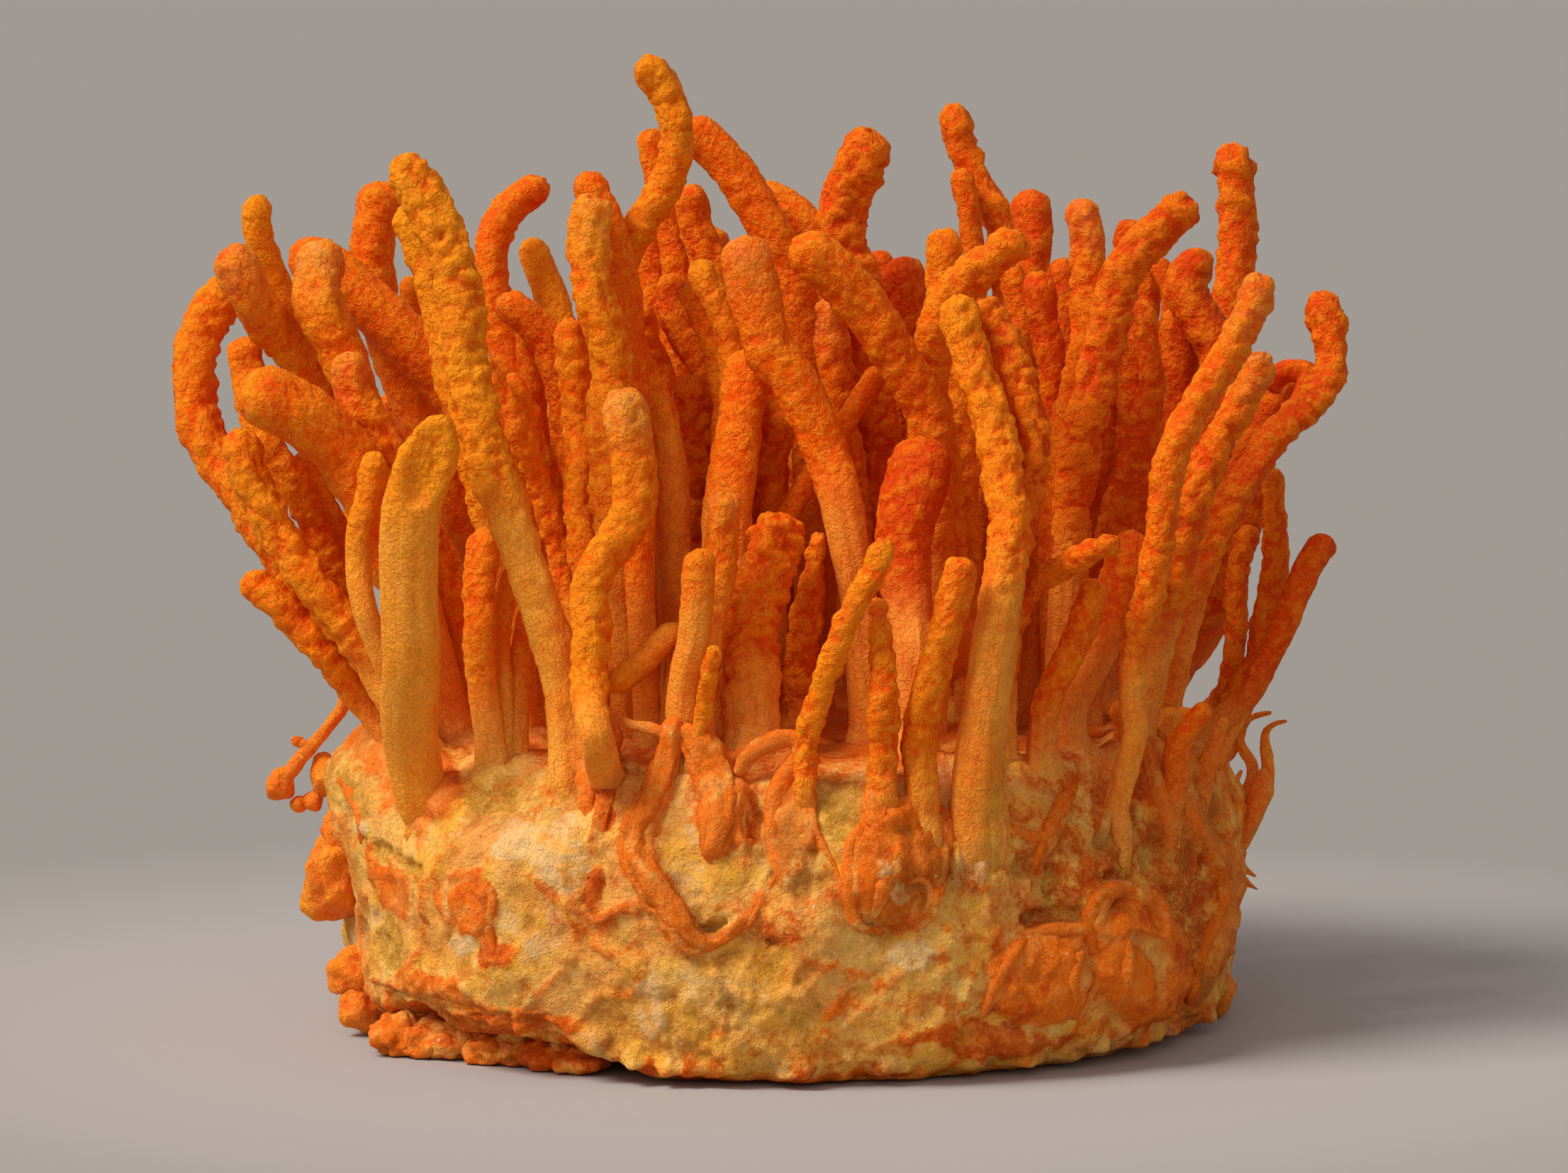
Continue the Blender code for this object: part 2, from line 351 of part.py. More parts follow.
# Ribbons and small stubs that are one with the cake: radius, and points in space
RIBBONS = (
    ("ribbon_front_long", 1.5, ((-10.2, -35.4, 25.5), (-11.0, -36.2, 21.0), (-12.6, -36.4, 16.5),
                                (-11.6, -37.2, 11.5), (-8.4, -37.6, 8.0), (-4.2, -37.4, 9.2))),
    ("ribbon_front_short", 1.3, ((-8.4, -35.2, 24.4), (-5.4, -36.6, 20.5), (-6.2, -37.2, 15.2))),
    ("ribbon_front_hook", 1.1, ((-4.2, -34.6, 24.6), (-1.4, -35.8, 26.2), (0.9, -36.2, 25.0),
                                (0.6, -37.4, 20.5), (0.1, -38.0, 14.5), (2.0, -38.0, 9.5))),
    ("horn_right", 0.8, ((24.0, -27.8, 22.4), (24.0, -29.6, 20.0), (22.6, -30.6, 16.0))),
    ("hook_right_outer", 0.7, ((45.4, 3.0, 25.4), (43.6, 2.6, 23.4), (43.2, 2.0, 20.6), (41.6, 1.2, 16.6),
                               (38.4, 1.0, 14.4))),
    ("hook_right_inner", 0.6, ((43.4, 6.0, 25.8), (41.6, 5.6, 24.8), (40.6, 5.0, 21.6), (37.4, 4.0, 18.0))),
    ("stub_left", 0.85, ((-45.0, -3.0, 21.6), (-43.2, -3.0, 23.0), (-41.2, -2.6, 25.4), (-38.8, -2.4, 27.4),
                         (-35.6, -2.6, 26.0), (-33.0, -2.8, 23.6))),
    ("stub_left_bead", 0.95, ((-43.2, -2.6, 19.8), (-41.0, -2.4, 19.9), (-35.0, -2.2, 20.6))),
)


def clear_scene():
    """Removes whatever the file already holds."""
    for thing in list(bpy.data.objects):
        bpy.data.objects.remove(thing, do_unlink=True)


def new_collection(name):
    """Makes a collection and links it to the scene."""
    collection = bpy.data.collections.new(name)
    bpy.context.scene.collection.children.link(collection)
    return collection


def material(name, colour, roughness):
    """Makes a Principled material of one colour."""
    mat = bpy.data.materials.new(name)
    mat.use_nodes = True
    shader = mat.node_tree.nodes["Principled BSDF"]
    shader.inputs["Base Color"].default_value = (*colour, 1.0)
    shader.inputs["Roughness"].default_value = roughness
    shader.inputs["Metallic"].default_value = 0.0
    return mat


def swell(angle, height):
    """How far the cake's side stands out of its plain form: a sum of waves that lean with the height.

    The waves fade out towards the underside and the top, so both stay flat.
    """
    fade = min(1.0, height / WAVE_FADE_LOW) * min(1.0, max(0.0, (CAKE_TOP - height) / WAVE_FADE_HIGH))
    return fade * sum(size * math.sin(count * angle + lean * height + start)
                      for count, lean, start, size in CAKE_WAVES)


def top_height(x, y):
    """Height of the cake's surface over a point: flat in the middle, falling along the profile at the rim."""
    reach = math.hypot(x, y)
    rim = [(CAKE_RADIUS + inset, z) for z, inset in CAKE_PROFILE if z >= RIM_START]
    radii = [r for r, _ in reversed(rim)]
    heights = [z for _, z in reversed(rim)]
    return float(np.interp(reach, radii, heights))


def carried(x, z, depth):
    """Moves a point of the reading plane along its line of sight to a depth."""
    share = (EYE_DISTANCE + depth) / EYE_DISTANCE
    return np.array([x * share, depth, EYE_HEIGHT + (z - EYE_HEIGHT) * share])


def read_back(point):
    """The reading plane's x and z of a point in space: `carried` turned round."""
    share = EYE_DISTANCE / (EYE_DISTANCE + point[1])
    return point[0] * share, EYE_HEIGHT + (point[2] - EYE_HEIGHT) * share


def smoothed(points, step):
    """A line of even steps through the points, along Catmull-Rom arcs."""
    points = np.asarray(points, dtype=float)
    padded = np.vstack([2 * points[0] - points[1], points, 2 * points[-1] - points[-2]])
    pieces = []
    for k in range(1, len(padded) - 2):
        before, start, end, after = padded[k - 1:k + 3]
        count = max(2, int(np.linalg.norm(end - start) / step * 2))
        t = np.linspace(0.0, 1.0, count, endpoint=False)[:, None]
        square = 2 * before - 5 * start + 4 * end - after
        cube = 3 * start - before - 3 * end + after
        pieces.append(0.5 * (2 * start + (end - before) * t + square * t ** 2 + cube * t ** 3))
    line = np.vstack(pieces + [points[-1:]])
    along = np.concatenate([[0.0], np.cumsum(np.linalg.norm(np.diff(line, axis=0), axis=1))])
    even = np.linspace(0.0, along[-1], max(3, int(round(along[-1] / step)) + 1))
    return np.column_stack([np.interp(even, along, line[:, axis]) for axis in range(3)])


def back_clubs():
    """Clubs of the hidden side, each leaning outwards and a little to its own side."""
    clubs = []
    for tuft, (reach, degrees, height, lean, count) in enumerate(BACK_TUFTS):
        away = np.array([math.cos(math.radians(degrees)), math.sin(math.radians(degrees))])
        across = np.array([-away[1], away[0]])
        for member in range(count):
            turn = GOLDEN_ANGLE * (4 * tuft + member)
            foot = away * reach + BACK_SCATTER * np.array([math.cos(turn), math.sin(turn)])
            tall = height - CAKE_TOP + BACK_TALLER * math.sin(3.1 * turn)
            side = BACK_SPACING * (member - (count - 1) / 2.0) + BACK_SIDEWAYS * math.sin(turn)
            points = []
            for share in BACK_SHARES:
                sway = BACK_SWAY * (math.sin(5.0 * share + turn) - math.sin(turn))
                out = (lean + BACK_LEANING * math.cos(1.7 * turn)) * share ** BACK_BEND
                spot = foot + away * out + across * (side * share + sway)
                points.append((spot[0], spot[1], CAKE_TOP + tall * share))
            radius = BACK_RADIUS + BACK_THICKER * math.sin(2.3 * turn)
            radii = tuple(radius * part for part in BACK_TAPER)
            depth = tuple(point[1] for point in points)
            line = tuple(read_back(point) for point in points)
            clubs.append(Club(f"tuft_back_{tuft + 1}", depth, tuple(foot), radii, line))
    return clubs


def spread_feet(clubs):
    """Moves the feet of different pieces apart on the cake's top until they clear each other."""
    feet = np.array([club.foot[:2] for club in clubs], dtype=float)
    radii = np.array([club.radii[2] for club in clubs])
    nodes = np.array([club.node for club in clubs])
    free = np.array([len(club.foot) == 2 for club in clubs])
    need = radii[:, None] + radii[None, :] + FOOT_ROOM
    apart = nodes[:, None] != nodes[None, :]
    for _ in range(FOOT_ROUNDS):
        gap = feet[:, None, :] - feet[None, :, :]
        distance = np.linalg.norm(gap, axis=2) + 1e-9
        lack = np.where(apart & (distance < need), need - distance, 0.0)
        push = (gap / distance[:, :, None] * lack[:, :, None]).sum(axis=1) * FOOT_PUSH
        for node in set(nodes):
            members = nodes == node
            push[members] = push[members].mean(axis=0)
        feet += push * free[:, None]
        reach = np.linalg.norm(feet, axis=1)
        over = free & (reach > FOOT_REACH)
        feet[over] *= (FOOT_REACH / reach[over])[:, None]
    return feet


def laid_out(clubs):
    """The smooth line and radii of every club before they are settled, each from its tip to its foot."""
    feet = spread_feet(clubs)
    laid = []
    for club, foot in zip(clubs, feet):
        foot_z = club.foot[2] if len(club.foot) == 3 else top_height(*foot) - SUNK
        plane = np.array(club.line, dtype=float)
        run = np.concatenate([[0.0], np.cumsum(np.linalg.norm(np.diff(plane, axis=0), axis=1))])
        share = run / (run[-1] + LAST_STRETCH)
        if len(club.depth) == 2:
            depth = np.interp(share, (0.0, KNEE_PLACE, 1.0), (club.depth[0], club.depth[1], foot[1]))
        else:
            depth = np.array(club.depth)
        points = [carried(x, z, y) for (x, z), y in zip(plane, depth)]
        points.append(np.array([foot[0], foot[1], foot_z]))
        line = smoothed(points, LINE_STEP)
        place = np.linspace(0.0, 1.0, len(line))
        radii = np.interp(place, RADIUS_PLACES, (club.radii[0], *club.radii))
        laid.append((line, radii))
    return laid


def settled(clubs, laid):
    """Pushes crossing clubs apart along the lines of sight until their round sections clear each other.

    Each pair keeps the order in depth that it starts with. Feet stay where they are, and a push is spread
    smoothly along its club, so that the lines stay free of kinks.
    """
    line = np.vstack([points for points, _ in laid])
    radius = np.concatenate([radii for _, radii in laid])
    club = np.concatenate([np.full(len(points), k) for k, (points, _) in enumerate(laid)])
    place = np.concatenate([np.arange(len(points))[::-1] * LINE_STEP for points, _ in laid])
    nodes = np.array([c.node for c in clubs])
    share = EYE_DISTANCE / (EYE_DISTANCE + line[:, 1])
    flat = np.column_stack([line[:, 0] * share, EYE_HEIGHT + (line[:, 2] - EYE_HEIGHT) * share])
    depth = line[:, 1].copy()
    free = np.clip((place - SUNK) / FREE_LENGTH, 0.0, 1.0)

    first, second, need = crossing_pairs(flat, radius, club, place, nodes)
    sign = kept_order(first, second, club, depth)
    weight = free[first] / (free[first] + free[second] + 1e-6)
    start_depth = depth.copy()
    for _ in range(SETTLE_ROUNDS):
        lack = np.clip(need - sign * (depth[second] - depth[first]), 0.0, SETTLE_MOST) * SETTLE_PUSH
        ahead = np.zeros(len(depth))
        behind = np.zeros(len(depth))
        pull = -sign * lack * weight
        back = sign * lack * (1.0 - weight)
        for rows, move in ((first, pull), (second, back)):
            np.maximum.at(behind, rows, np.clip(move, 0.0, None))
            np.maximum.at(ahead, rows, np.clip(-move, 0.0, None))
        move = behind - ahead
        start = 0
        for points, _ in laid:
            stop = start + len(points)
            depth[start:stop] += spread_push(move[start:stop]) * free[start:stop]
            start = stop
        moved = (depth - start_depth) * SETTLE_KEPT
        depth = start_depth + np.clip(moved, -SETTLE_REACH, SETTLE_REACH)
    ratio = (EYE_DISTANCE + depth) / EYE_DISTANCE
    placed = np.column_stack([flat[:, 0] * ratio, depth, EYE_HEIGHT + (flat[:, 1] - EYE_HEIGHT) * ratio])
    bounds = np.cumsum([0] + [len(points) for points, _ in laid])
    return [(placed[a:b], radii) for a, b, (_, radii) in zip(bounds[:-1], bounds[1:], laid)]


def kept_order(first, second, club, depth):
    """Which of two crossing clubs stays behind, worked out once for each place where they cross."""
    sign = np.empty(len(first))
    pair = club[first] * (club.max() + 1) + club[second]
    for one in np.unique(pair):
        rows = np.flatnonzero(pair == one)
        rows = rows[np.argsort(first[rows], kind="stable")]
        breaks = np.flatnonzero(np.diff(first[rows]) > SAME_CROSSING) + 1
        for run in np.split(rows, breaks):
            total = (depth[second[run]] - depth[first[run]]).sum()
            sign[run] = 1.0 if total >= 0.0 else -1.0
    return sign


def spread_push(push):
    """Spreads the pushes on one club along it: the strongest push near each point, then smoothed."""
    padded = np.pad(push, PUSH_WIDTH)
    windows = np.lib.stride_tricks.sliding_window_view(padded, 2 * PUSH_WIDTH + 1)
    high = windows.max(axis=1)
    low = windows.min(axis=1)
    strongest = np.where(high > -low, high, low)
    kernel = np.hanning(2 * PUSH_WIDTH + 3)[1:-1]
    return np.convolve(np.pad(strongest, PUSH_WIDTH, mode="edge"), kernel / kernel.sum(), mode="valid")


def crossing_pairs(flat, radius, club, place, nodes):
    """Pairs of points of different clubs that look closer than their radii, and the depth they need."""
    firsts, seconds, needs = [], [], []
    for k in range(club.max()):
        mine = np.flatnonzero(club == k)
        others = np.flatnonzero(club > k)
        gap = np.linalg.norm(flat[mine][:, None, :] - flat[others][None, :, :], axis=2)
        room = radius[mine][:, None] + radius[others][None, :] + CLUB_ROOM
        same = nodes[club[others]] == nodes[k]
        near_foot = (place[mine][:, None] < JOINED_LENGTH) & (place[others][None, :] < JOINED_LENGTH)
        close = (gap < room) & ~(same[None, :] & near_foot)
        a, b = np.nonzero(close)
        firsts.append(mine[a])
        seconds.append(others[b])
        needs.append(np.sqrt(room[a, b] ** 2 - gap[a, b] ** 2))
    return np.concatenate(firsts), np.concatenate(seconds), np.concatenate(needs)


def ring_places(line):
    """Picks the points of a line whose straight runs stay within the tolerance of it."""
    chosen = [0]
    while chosen[-1] < len(line) - 1:
        start = chosen[-1]
        stop = start + 1
        while stop + 1 < len(line) and stray(line[start:stop + 2]) < RING_TOLERANCE:
            stop += 1
        chosen.append(stop)
    return chosen


def stray(points):
    """The farthest that a run of points strays from the straight line between its ends."""
    along = points[-1] - points[0]
    along = along / np.linalg.norm(along)
    offset = points - points[0]
    return float(np.linalg.norm(offset - (offset @ along)[:, None] * along, axis=1).max())


def tube(name, line, radii, sides):
    """A closed tube with a rounded tip, from a curve with a bevel, as a mesh with its caps welded."""
    tip = radii[0] * TIP_SHARE
    rings = [(line[0] + unit(line[0] - line[1]) * tip, tip)]
    rings += [(line[max(k, 1)], radii[k]) for k in ring_places(line)]
    curve = bpy.data.curves.new(name, "CURVE")
    curve.dimensions = "3D"
    curve.bevel_depth = MM
    curve.bevel_resolution = (sides - 4) // 2
    curve.use_fill_caps = True
    spline = curve.splines.new("POLY")
    spline.points.add(len(rings) - 1)
    for point, (spot, radius) in zip(spline.points, rings):
        point.co = (*(spot * MM), 1.0)
        point.radius = radius
    holder = bpy.data.objects.new(name + "_line", curve)
    bpy.context.scene.collection.objects.link(holder)
    evaluated = holder.evaluated_get(bpy.context.evaluated_depsgraph_get())
    mesh = bpy.data.meshes.new_from_object(evaluated)
    bm = bmesh.new()
    bm.from_mesh(mesh)
    bmesh.ops.remove_doubles(bm, verts=bm.verts, dist=WELD * MM)
    bmesh.ops.recalc_face_normals(bm, faces=bm.faces)
    bm.to_mesh(mesh)
    bm.free()
    mesh.name = name
    solid = bpy.data.objects.new(name, mesh)
    solid.matrix_world = holder.matrix_world.copy()
    bpy.data.objects.remove(holder, do_unlink=True)
    bpy.data.curves.remove(curve)
    return solid


def unit(vector):
    """The vector at length one."""
    return vector / np.linalg.norm(vector)


def as_guide(thing):
    """Marks a cutter or a joined shape, so that it is drawn as wires and left out of the part."""
    thing.hide_render = True
    thing.display_type = "WIRE"


def boolean(thing, operation, collection):
    """Adds an exact Boolean of a whole collection to a solid."""
    modifier = thing.modifiers.new(operation.lower(), "BOOLEAN")
    modifier.operation = operation
    modifier.solver = "EXACT"
    modifier.operand_type = "COLLECTION"
    modifier.collection = collection
    modifier.use_self = False


def plain_cake(name, growth):
    """The cake without its lobes: the profile spun round the axis, closed, and swelled by its waves."""
    bm = bmesh.new()
    start = []
    for z, inset in CAKE_PROFILE:
        level = z + growth * (2.0 * z / CAKE_TOP - 1.0)
        start.append(bm.verts.new(((CAKE_RADIUS + inset + growth) * MM, 0.0, level * MM)))
    edges = [bm.edges.new(pair) for pair in zip(start[:-1], start[1:])]
    bmesh.ops.spin(bm, geom=start + edges, cent=(0, 0, 0), axis=(0, 0, 1), dvec=(0, 0, 0),
                   angle=2 * math.pi, steps=CAKE_STEPS)
    bmesh.ops.remove_doubles(bm, verts=bm.verts, dist=WELD * MM)
    bmesh.ops.holes_fill(bm, edges=[edge for edge in bm.edges if edge.is_boundary], sides=0)
    for vert in bm.verts:
        out = Vector((vert.co.x, vert.co.y, 0.0)).normalized()
        angle = math.atan2(vert.co.y, vert.co.x)
        vert.co += out * swell(angle, vert.co.z / MM) * MM
    bmesh.ops.recalc_face_normals(bm, faces=bm.faces)
    return object_from(bm, name)


def lobe(name, centre, half_sizes, lean):
    """An egg-shaped lump, leaning about the line of sight."""
    bm = bmesh.new()
    placed = (Matrix.Translation(Vector(centre) * MM) @ Matrix.Rotation(math.radians(lean), 4, "Y")
              @ Matrix.Diagonal((*[half * MM for half in half_sizes], 1.0)))
    bmesh.ops.create_uvsphere(bm, u_segments=LOBE_SIDES, v_segments=LOBE_RINGS, radius=1.0, matrix=placed)
    return object_from(bm, name)


def object_from(bm, name):
    """Turns a finished bmesh into an object that is in no collection yet."""
    mesh = bpy.data.meshes.new(name)
    bm.to_mesh(mesh)
    bm.free()
    return bpy.data.objects.new(name, mesh)


def whole_cake(name, growth):
    """The cake with its lobes and ribbons joined to it, every surface moved out by the growth."""
    cake = plain_cake(name, growth)
    lumps = new_collection(name + "_lumps")
    shapes = [lobe(f"{name}_{lump}", centre, [half + growth for half in half_sizes], lean)
              for lump, centre, half_sizes, lean in LOBES]
    for ribbon, radius, points in RIBBONS:
        line = smoothed(points, LINE_STEP)
        radii = radius * np.interp(np.linspace(0.0, 1.0, len(line)), RIBBON_PLACES, RIBBON_SHARES) + growth
        shapes.append(tube(f"{name}_{ribbon}", line, radii, RIBBON_SIDES))
    for shape in shapes:
        lumps.objects.link(shape)
        as_guide(shape)
    boolean(cake, "UNION", lumps)
    return cake


def build_cake(parts, guides, skin):
    """The cake, and the slightly larger copy of it that trims the clubs' feet."""
    cake = whole_cake("cake", 0.0)
    parts.objects.link(cake)
    cake.data.materials.append(skin)
    trimmer = whole_cake("feet_trimmer", TOUCH_GAP)
    guides.objects.link(trimmer)
    as_guide(trimmer)
    evaluated = trimmer.evaluated_get(bpy.context.evaluated_depsgraph_get())
    trimmer.data = bpy.data.meshes.new_from_object(evaluated)
    trimmer.modifiers.clear()


def build_clubs(parts, guides, flesh):
    """Every club and tuft: tubes along the settled lines, joined by foot and trimmed by the cake."""
    clubs = list(CLUBS) + back_clubs()
    lines = settled(clubs, laid_out(clubs))
    tubes = {}
    for club, (line, radii) in zip(clubs, lines):
        made = tubes.setdefault(club.node, [])
        name = club.node if not made else f"{club.node}_{len(made) + 1}"
        made.append(tube(name, line, radii, THIN_SIDES if radii.max() < THIN_RADIUS else CLUB_SIDES))
    for name, (whole, *others) in tubes.items():
        parts.objects.link(whole)
        if others:
            members = new_collection(name + "_members")
            for other in others:
                members.objects.link(other)
                as_guide(other)
            boolean(whole, "UNION", members)
        boolean(whole, "DIFFERENCE", guides)
        whole.data.shade_smooth()
        whole.data.materials.append(flesh)


def main():
    clear_scene()
    parts = new_collection(OBJECT_NAME)
    guides = new_collection("cutters")
    build_cake(parts, guides, material("mycelium_skin", *SKIN))
    build_clubs(parts, guides, material("orange_club", *FLESH))


if __name__ == "__main__":
    main()
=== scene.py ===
"""Cordyceps fungus: the looks of a bunch of orange clubs on a round cake of grain and mycelium.

Everything is worked out in millimetres and made in metres, +Z up, with the best side towards -Y. The clubs'
lines were read on the upright plane through the cake's axis as it looks from the camera. The same rules as in
the solid model carry them to their depths and settle them, so each club lies where its solid lies. Surfaces
are grids worked out with numpy: a profile carried along a path, or turned round an axis, and moved along its
normal by noise.
"""

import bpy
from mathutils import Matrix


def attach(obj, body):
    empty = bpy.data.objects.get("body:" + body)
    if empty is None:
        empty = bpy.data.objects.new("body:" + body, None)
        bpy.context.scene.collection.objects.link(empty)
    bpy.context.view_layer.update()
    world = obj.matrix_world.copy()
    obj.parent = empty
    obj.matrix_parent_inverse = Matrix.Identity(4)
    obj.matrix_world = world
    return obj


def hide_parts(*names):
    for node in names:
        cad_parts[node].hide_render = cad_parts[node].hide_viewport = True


bl_info = {
    "name": "Cordyceps fungus",
    "version": (1, 0, 0),
    "blender": (4, 5, 0),
    "location": "3D View > Sidebar > Fungus",
    "description": "Builds a bunch of orange clubs growing from a cake of grain and mycelium",
    "category": "Add Mesh",
}

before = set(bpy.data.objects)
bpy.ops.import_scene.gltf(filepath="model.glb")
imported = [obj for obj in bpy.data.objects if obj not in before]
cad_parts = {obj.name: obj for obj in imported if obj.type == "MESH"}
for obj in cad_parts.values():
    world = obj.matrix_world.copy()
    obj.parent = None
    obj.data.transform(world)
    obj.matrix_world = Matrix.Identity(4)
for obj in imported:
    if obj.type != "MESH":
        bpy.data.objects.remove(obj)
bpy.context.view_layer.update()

import functools
from collections import namedtuple
from math import ceil, cos, hypot, pi, radians, sin, sqrt

import bpy
import numpy as np
from bpy.props import FloatProperty, FloatVectorProperty, PointerProperty
from mathutils import Vector

MM = 0.001
TURN = 2.0 * pi
UP = np.array((0.0, 0.0, 1.0))

# Cake, in millimetres: its widest radius, the height of its top, its side from the underside up, as heights
# and what they add to the radius, and the height from which the side counts as its rim
CAKE_RADIUS = 38.9
CAKE_TOP = 26.3
CAKE_PROFILE = ((0, -4.6), (1, -2.4), (3.2, -0.9), (7, -0.1), (11.5, 0), (16, -0.2), (20, -1.2),
                (23.4, -3.2), (25.4, -5.6), (CAKE_TOP, -8.6))
RIM_START = 16

# Each wave of the cake's side: waves round the cake, lean per millimetre of height, start angle, size; and
# the heights over which the waves fade in from the underside and out to the top
CAKE_WAVES = ((2, 0, 0.6, 0.35), (3, 0.02, 1.7, 0.45), (5, 0.05, 0.4, 0.4), (8, -0.09, 2.2, 0.35),
              (13, 0.13, 4.1, 0.28), (19, -0.21, 1.3, 0.2))
WAVE_FADE_LOW = 3
WAVE_FADE_HIGH = 4

# Feet: the room between feet of different pieces, the farthest reach from the axis, how deep a foot starts in
# the cake, how many rounds of pushing spread them, and the share of a lack that one round makes up
FOOT_ROOM = 1
FOOT_REACH = 33.5
SUNK = 2.2
FOOT_ROUNDS = 200
FOOT_PUSH = 0.3

# Settling: the room that crossing clubs keep, how many rounds there are, how far a point may move, the length
# over which a club is freed from its foot, and in which clubs of one tuft may join, the share of a lack that
# one round makes up, and the most, what is kept of the moves from round to round, how many points a push
# spreads over, and the most points that one crossing skips
CLUB_ROOM = 0.9
SETTLE_ROUNDS = 220
SETTLE_REACH = 9
FREE_LENGTH = 9
JOINED_LENGTH = 14
SETTLE_PUSH = 0.6
SETTLE_MOST = 3
SETTLE_KEPT = 0.998
PUSH_WIDTH = 4
SAME_CROSSING = 3

# The point from which the club lines were read, in front of and above the cake
EYE_DISTANCE = 600
EYE_HEIGHT = 100

# Spacing of the clubs' smooth lines
LINE_STEP = 1

# Places along a club, as shares of its length from the tip: the knee that its second depth belongs to, and
# where its radii are given; and the length of its last stretch, from the end of its read line to its foot
KNEE_PLACE = 0.55
RADIUS_PLACES = (0, 0.12, 0.5, 1)
LAST_STRETCH = 3

# A club: its node, depth of its tip and its knee, foot on the cake, radius at tip, middle and foot, its line
# from the tip down, x and z in turn, and its look: roughness and rings from 0 to 3, tone from -2, dark red,
# to 2, yellow, frost on the tip from 0 to 2, and the share of its length from the foot up that is smooth
# stem. The table gives each node with its clubs
Club = namedtuple("Club", "node depth foot radii line look")

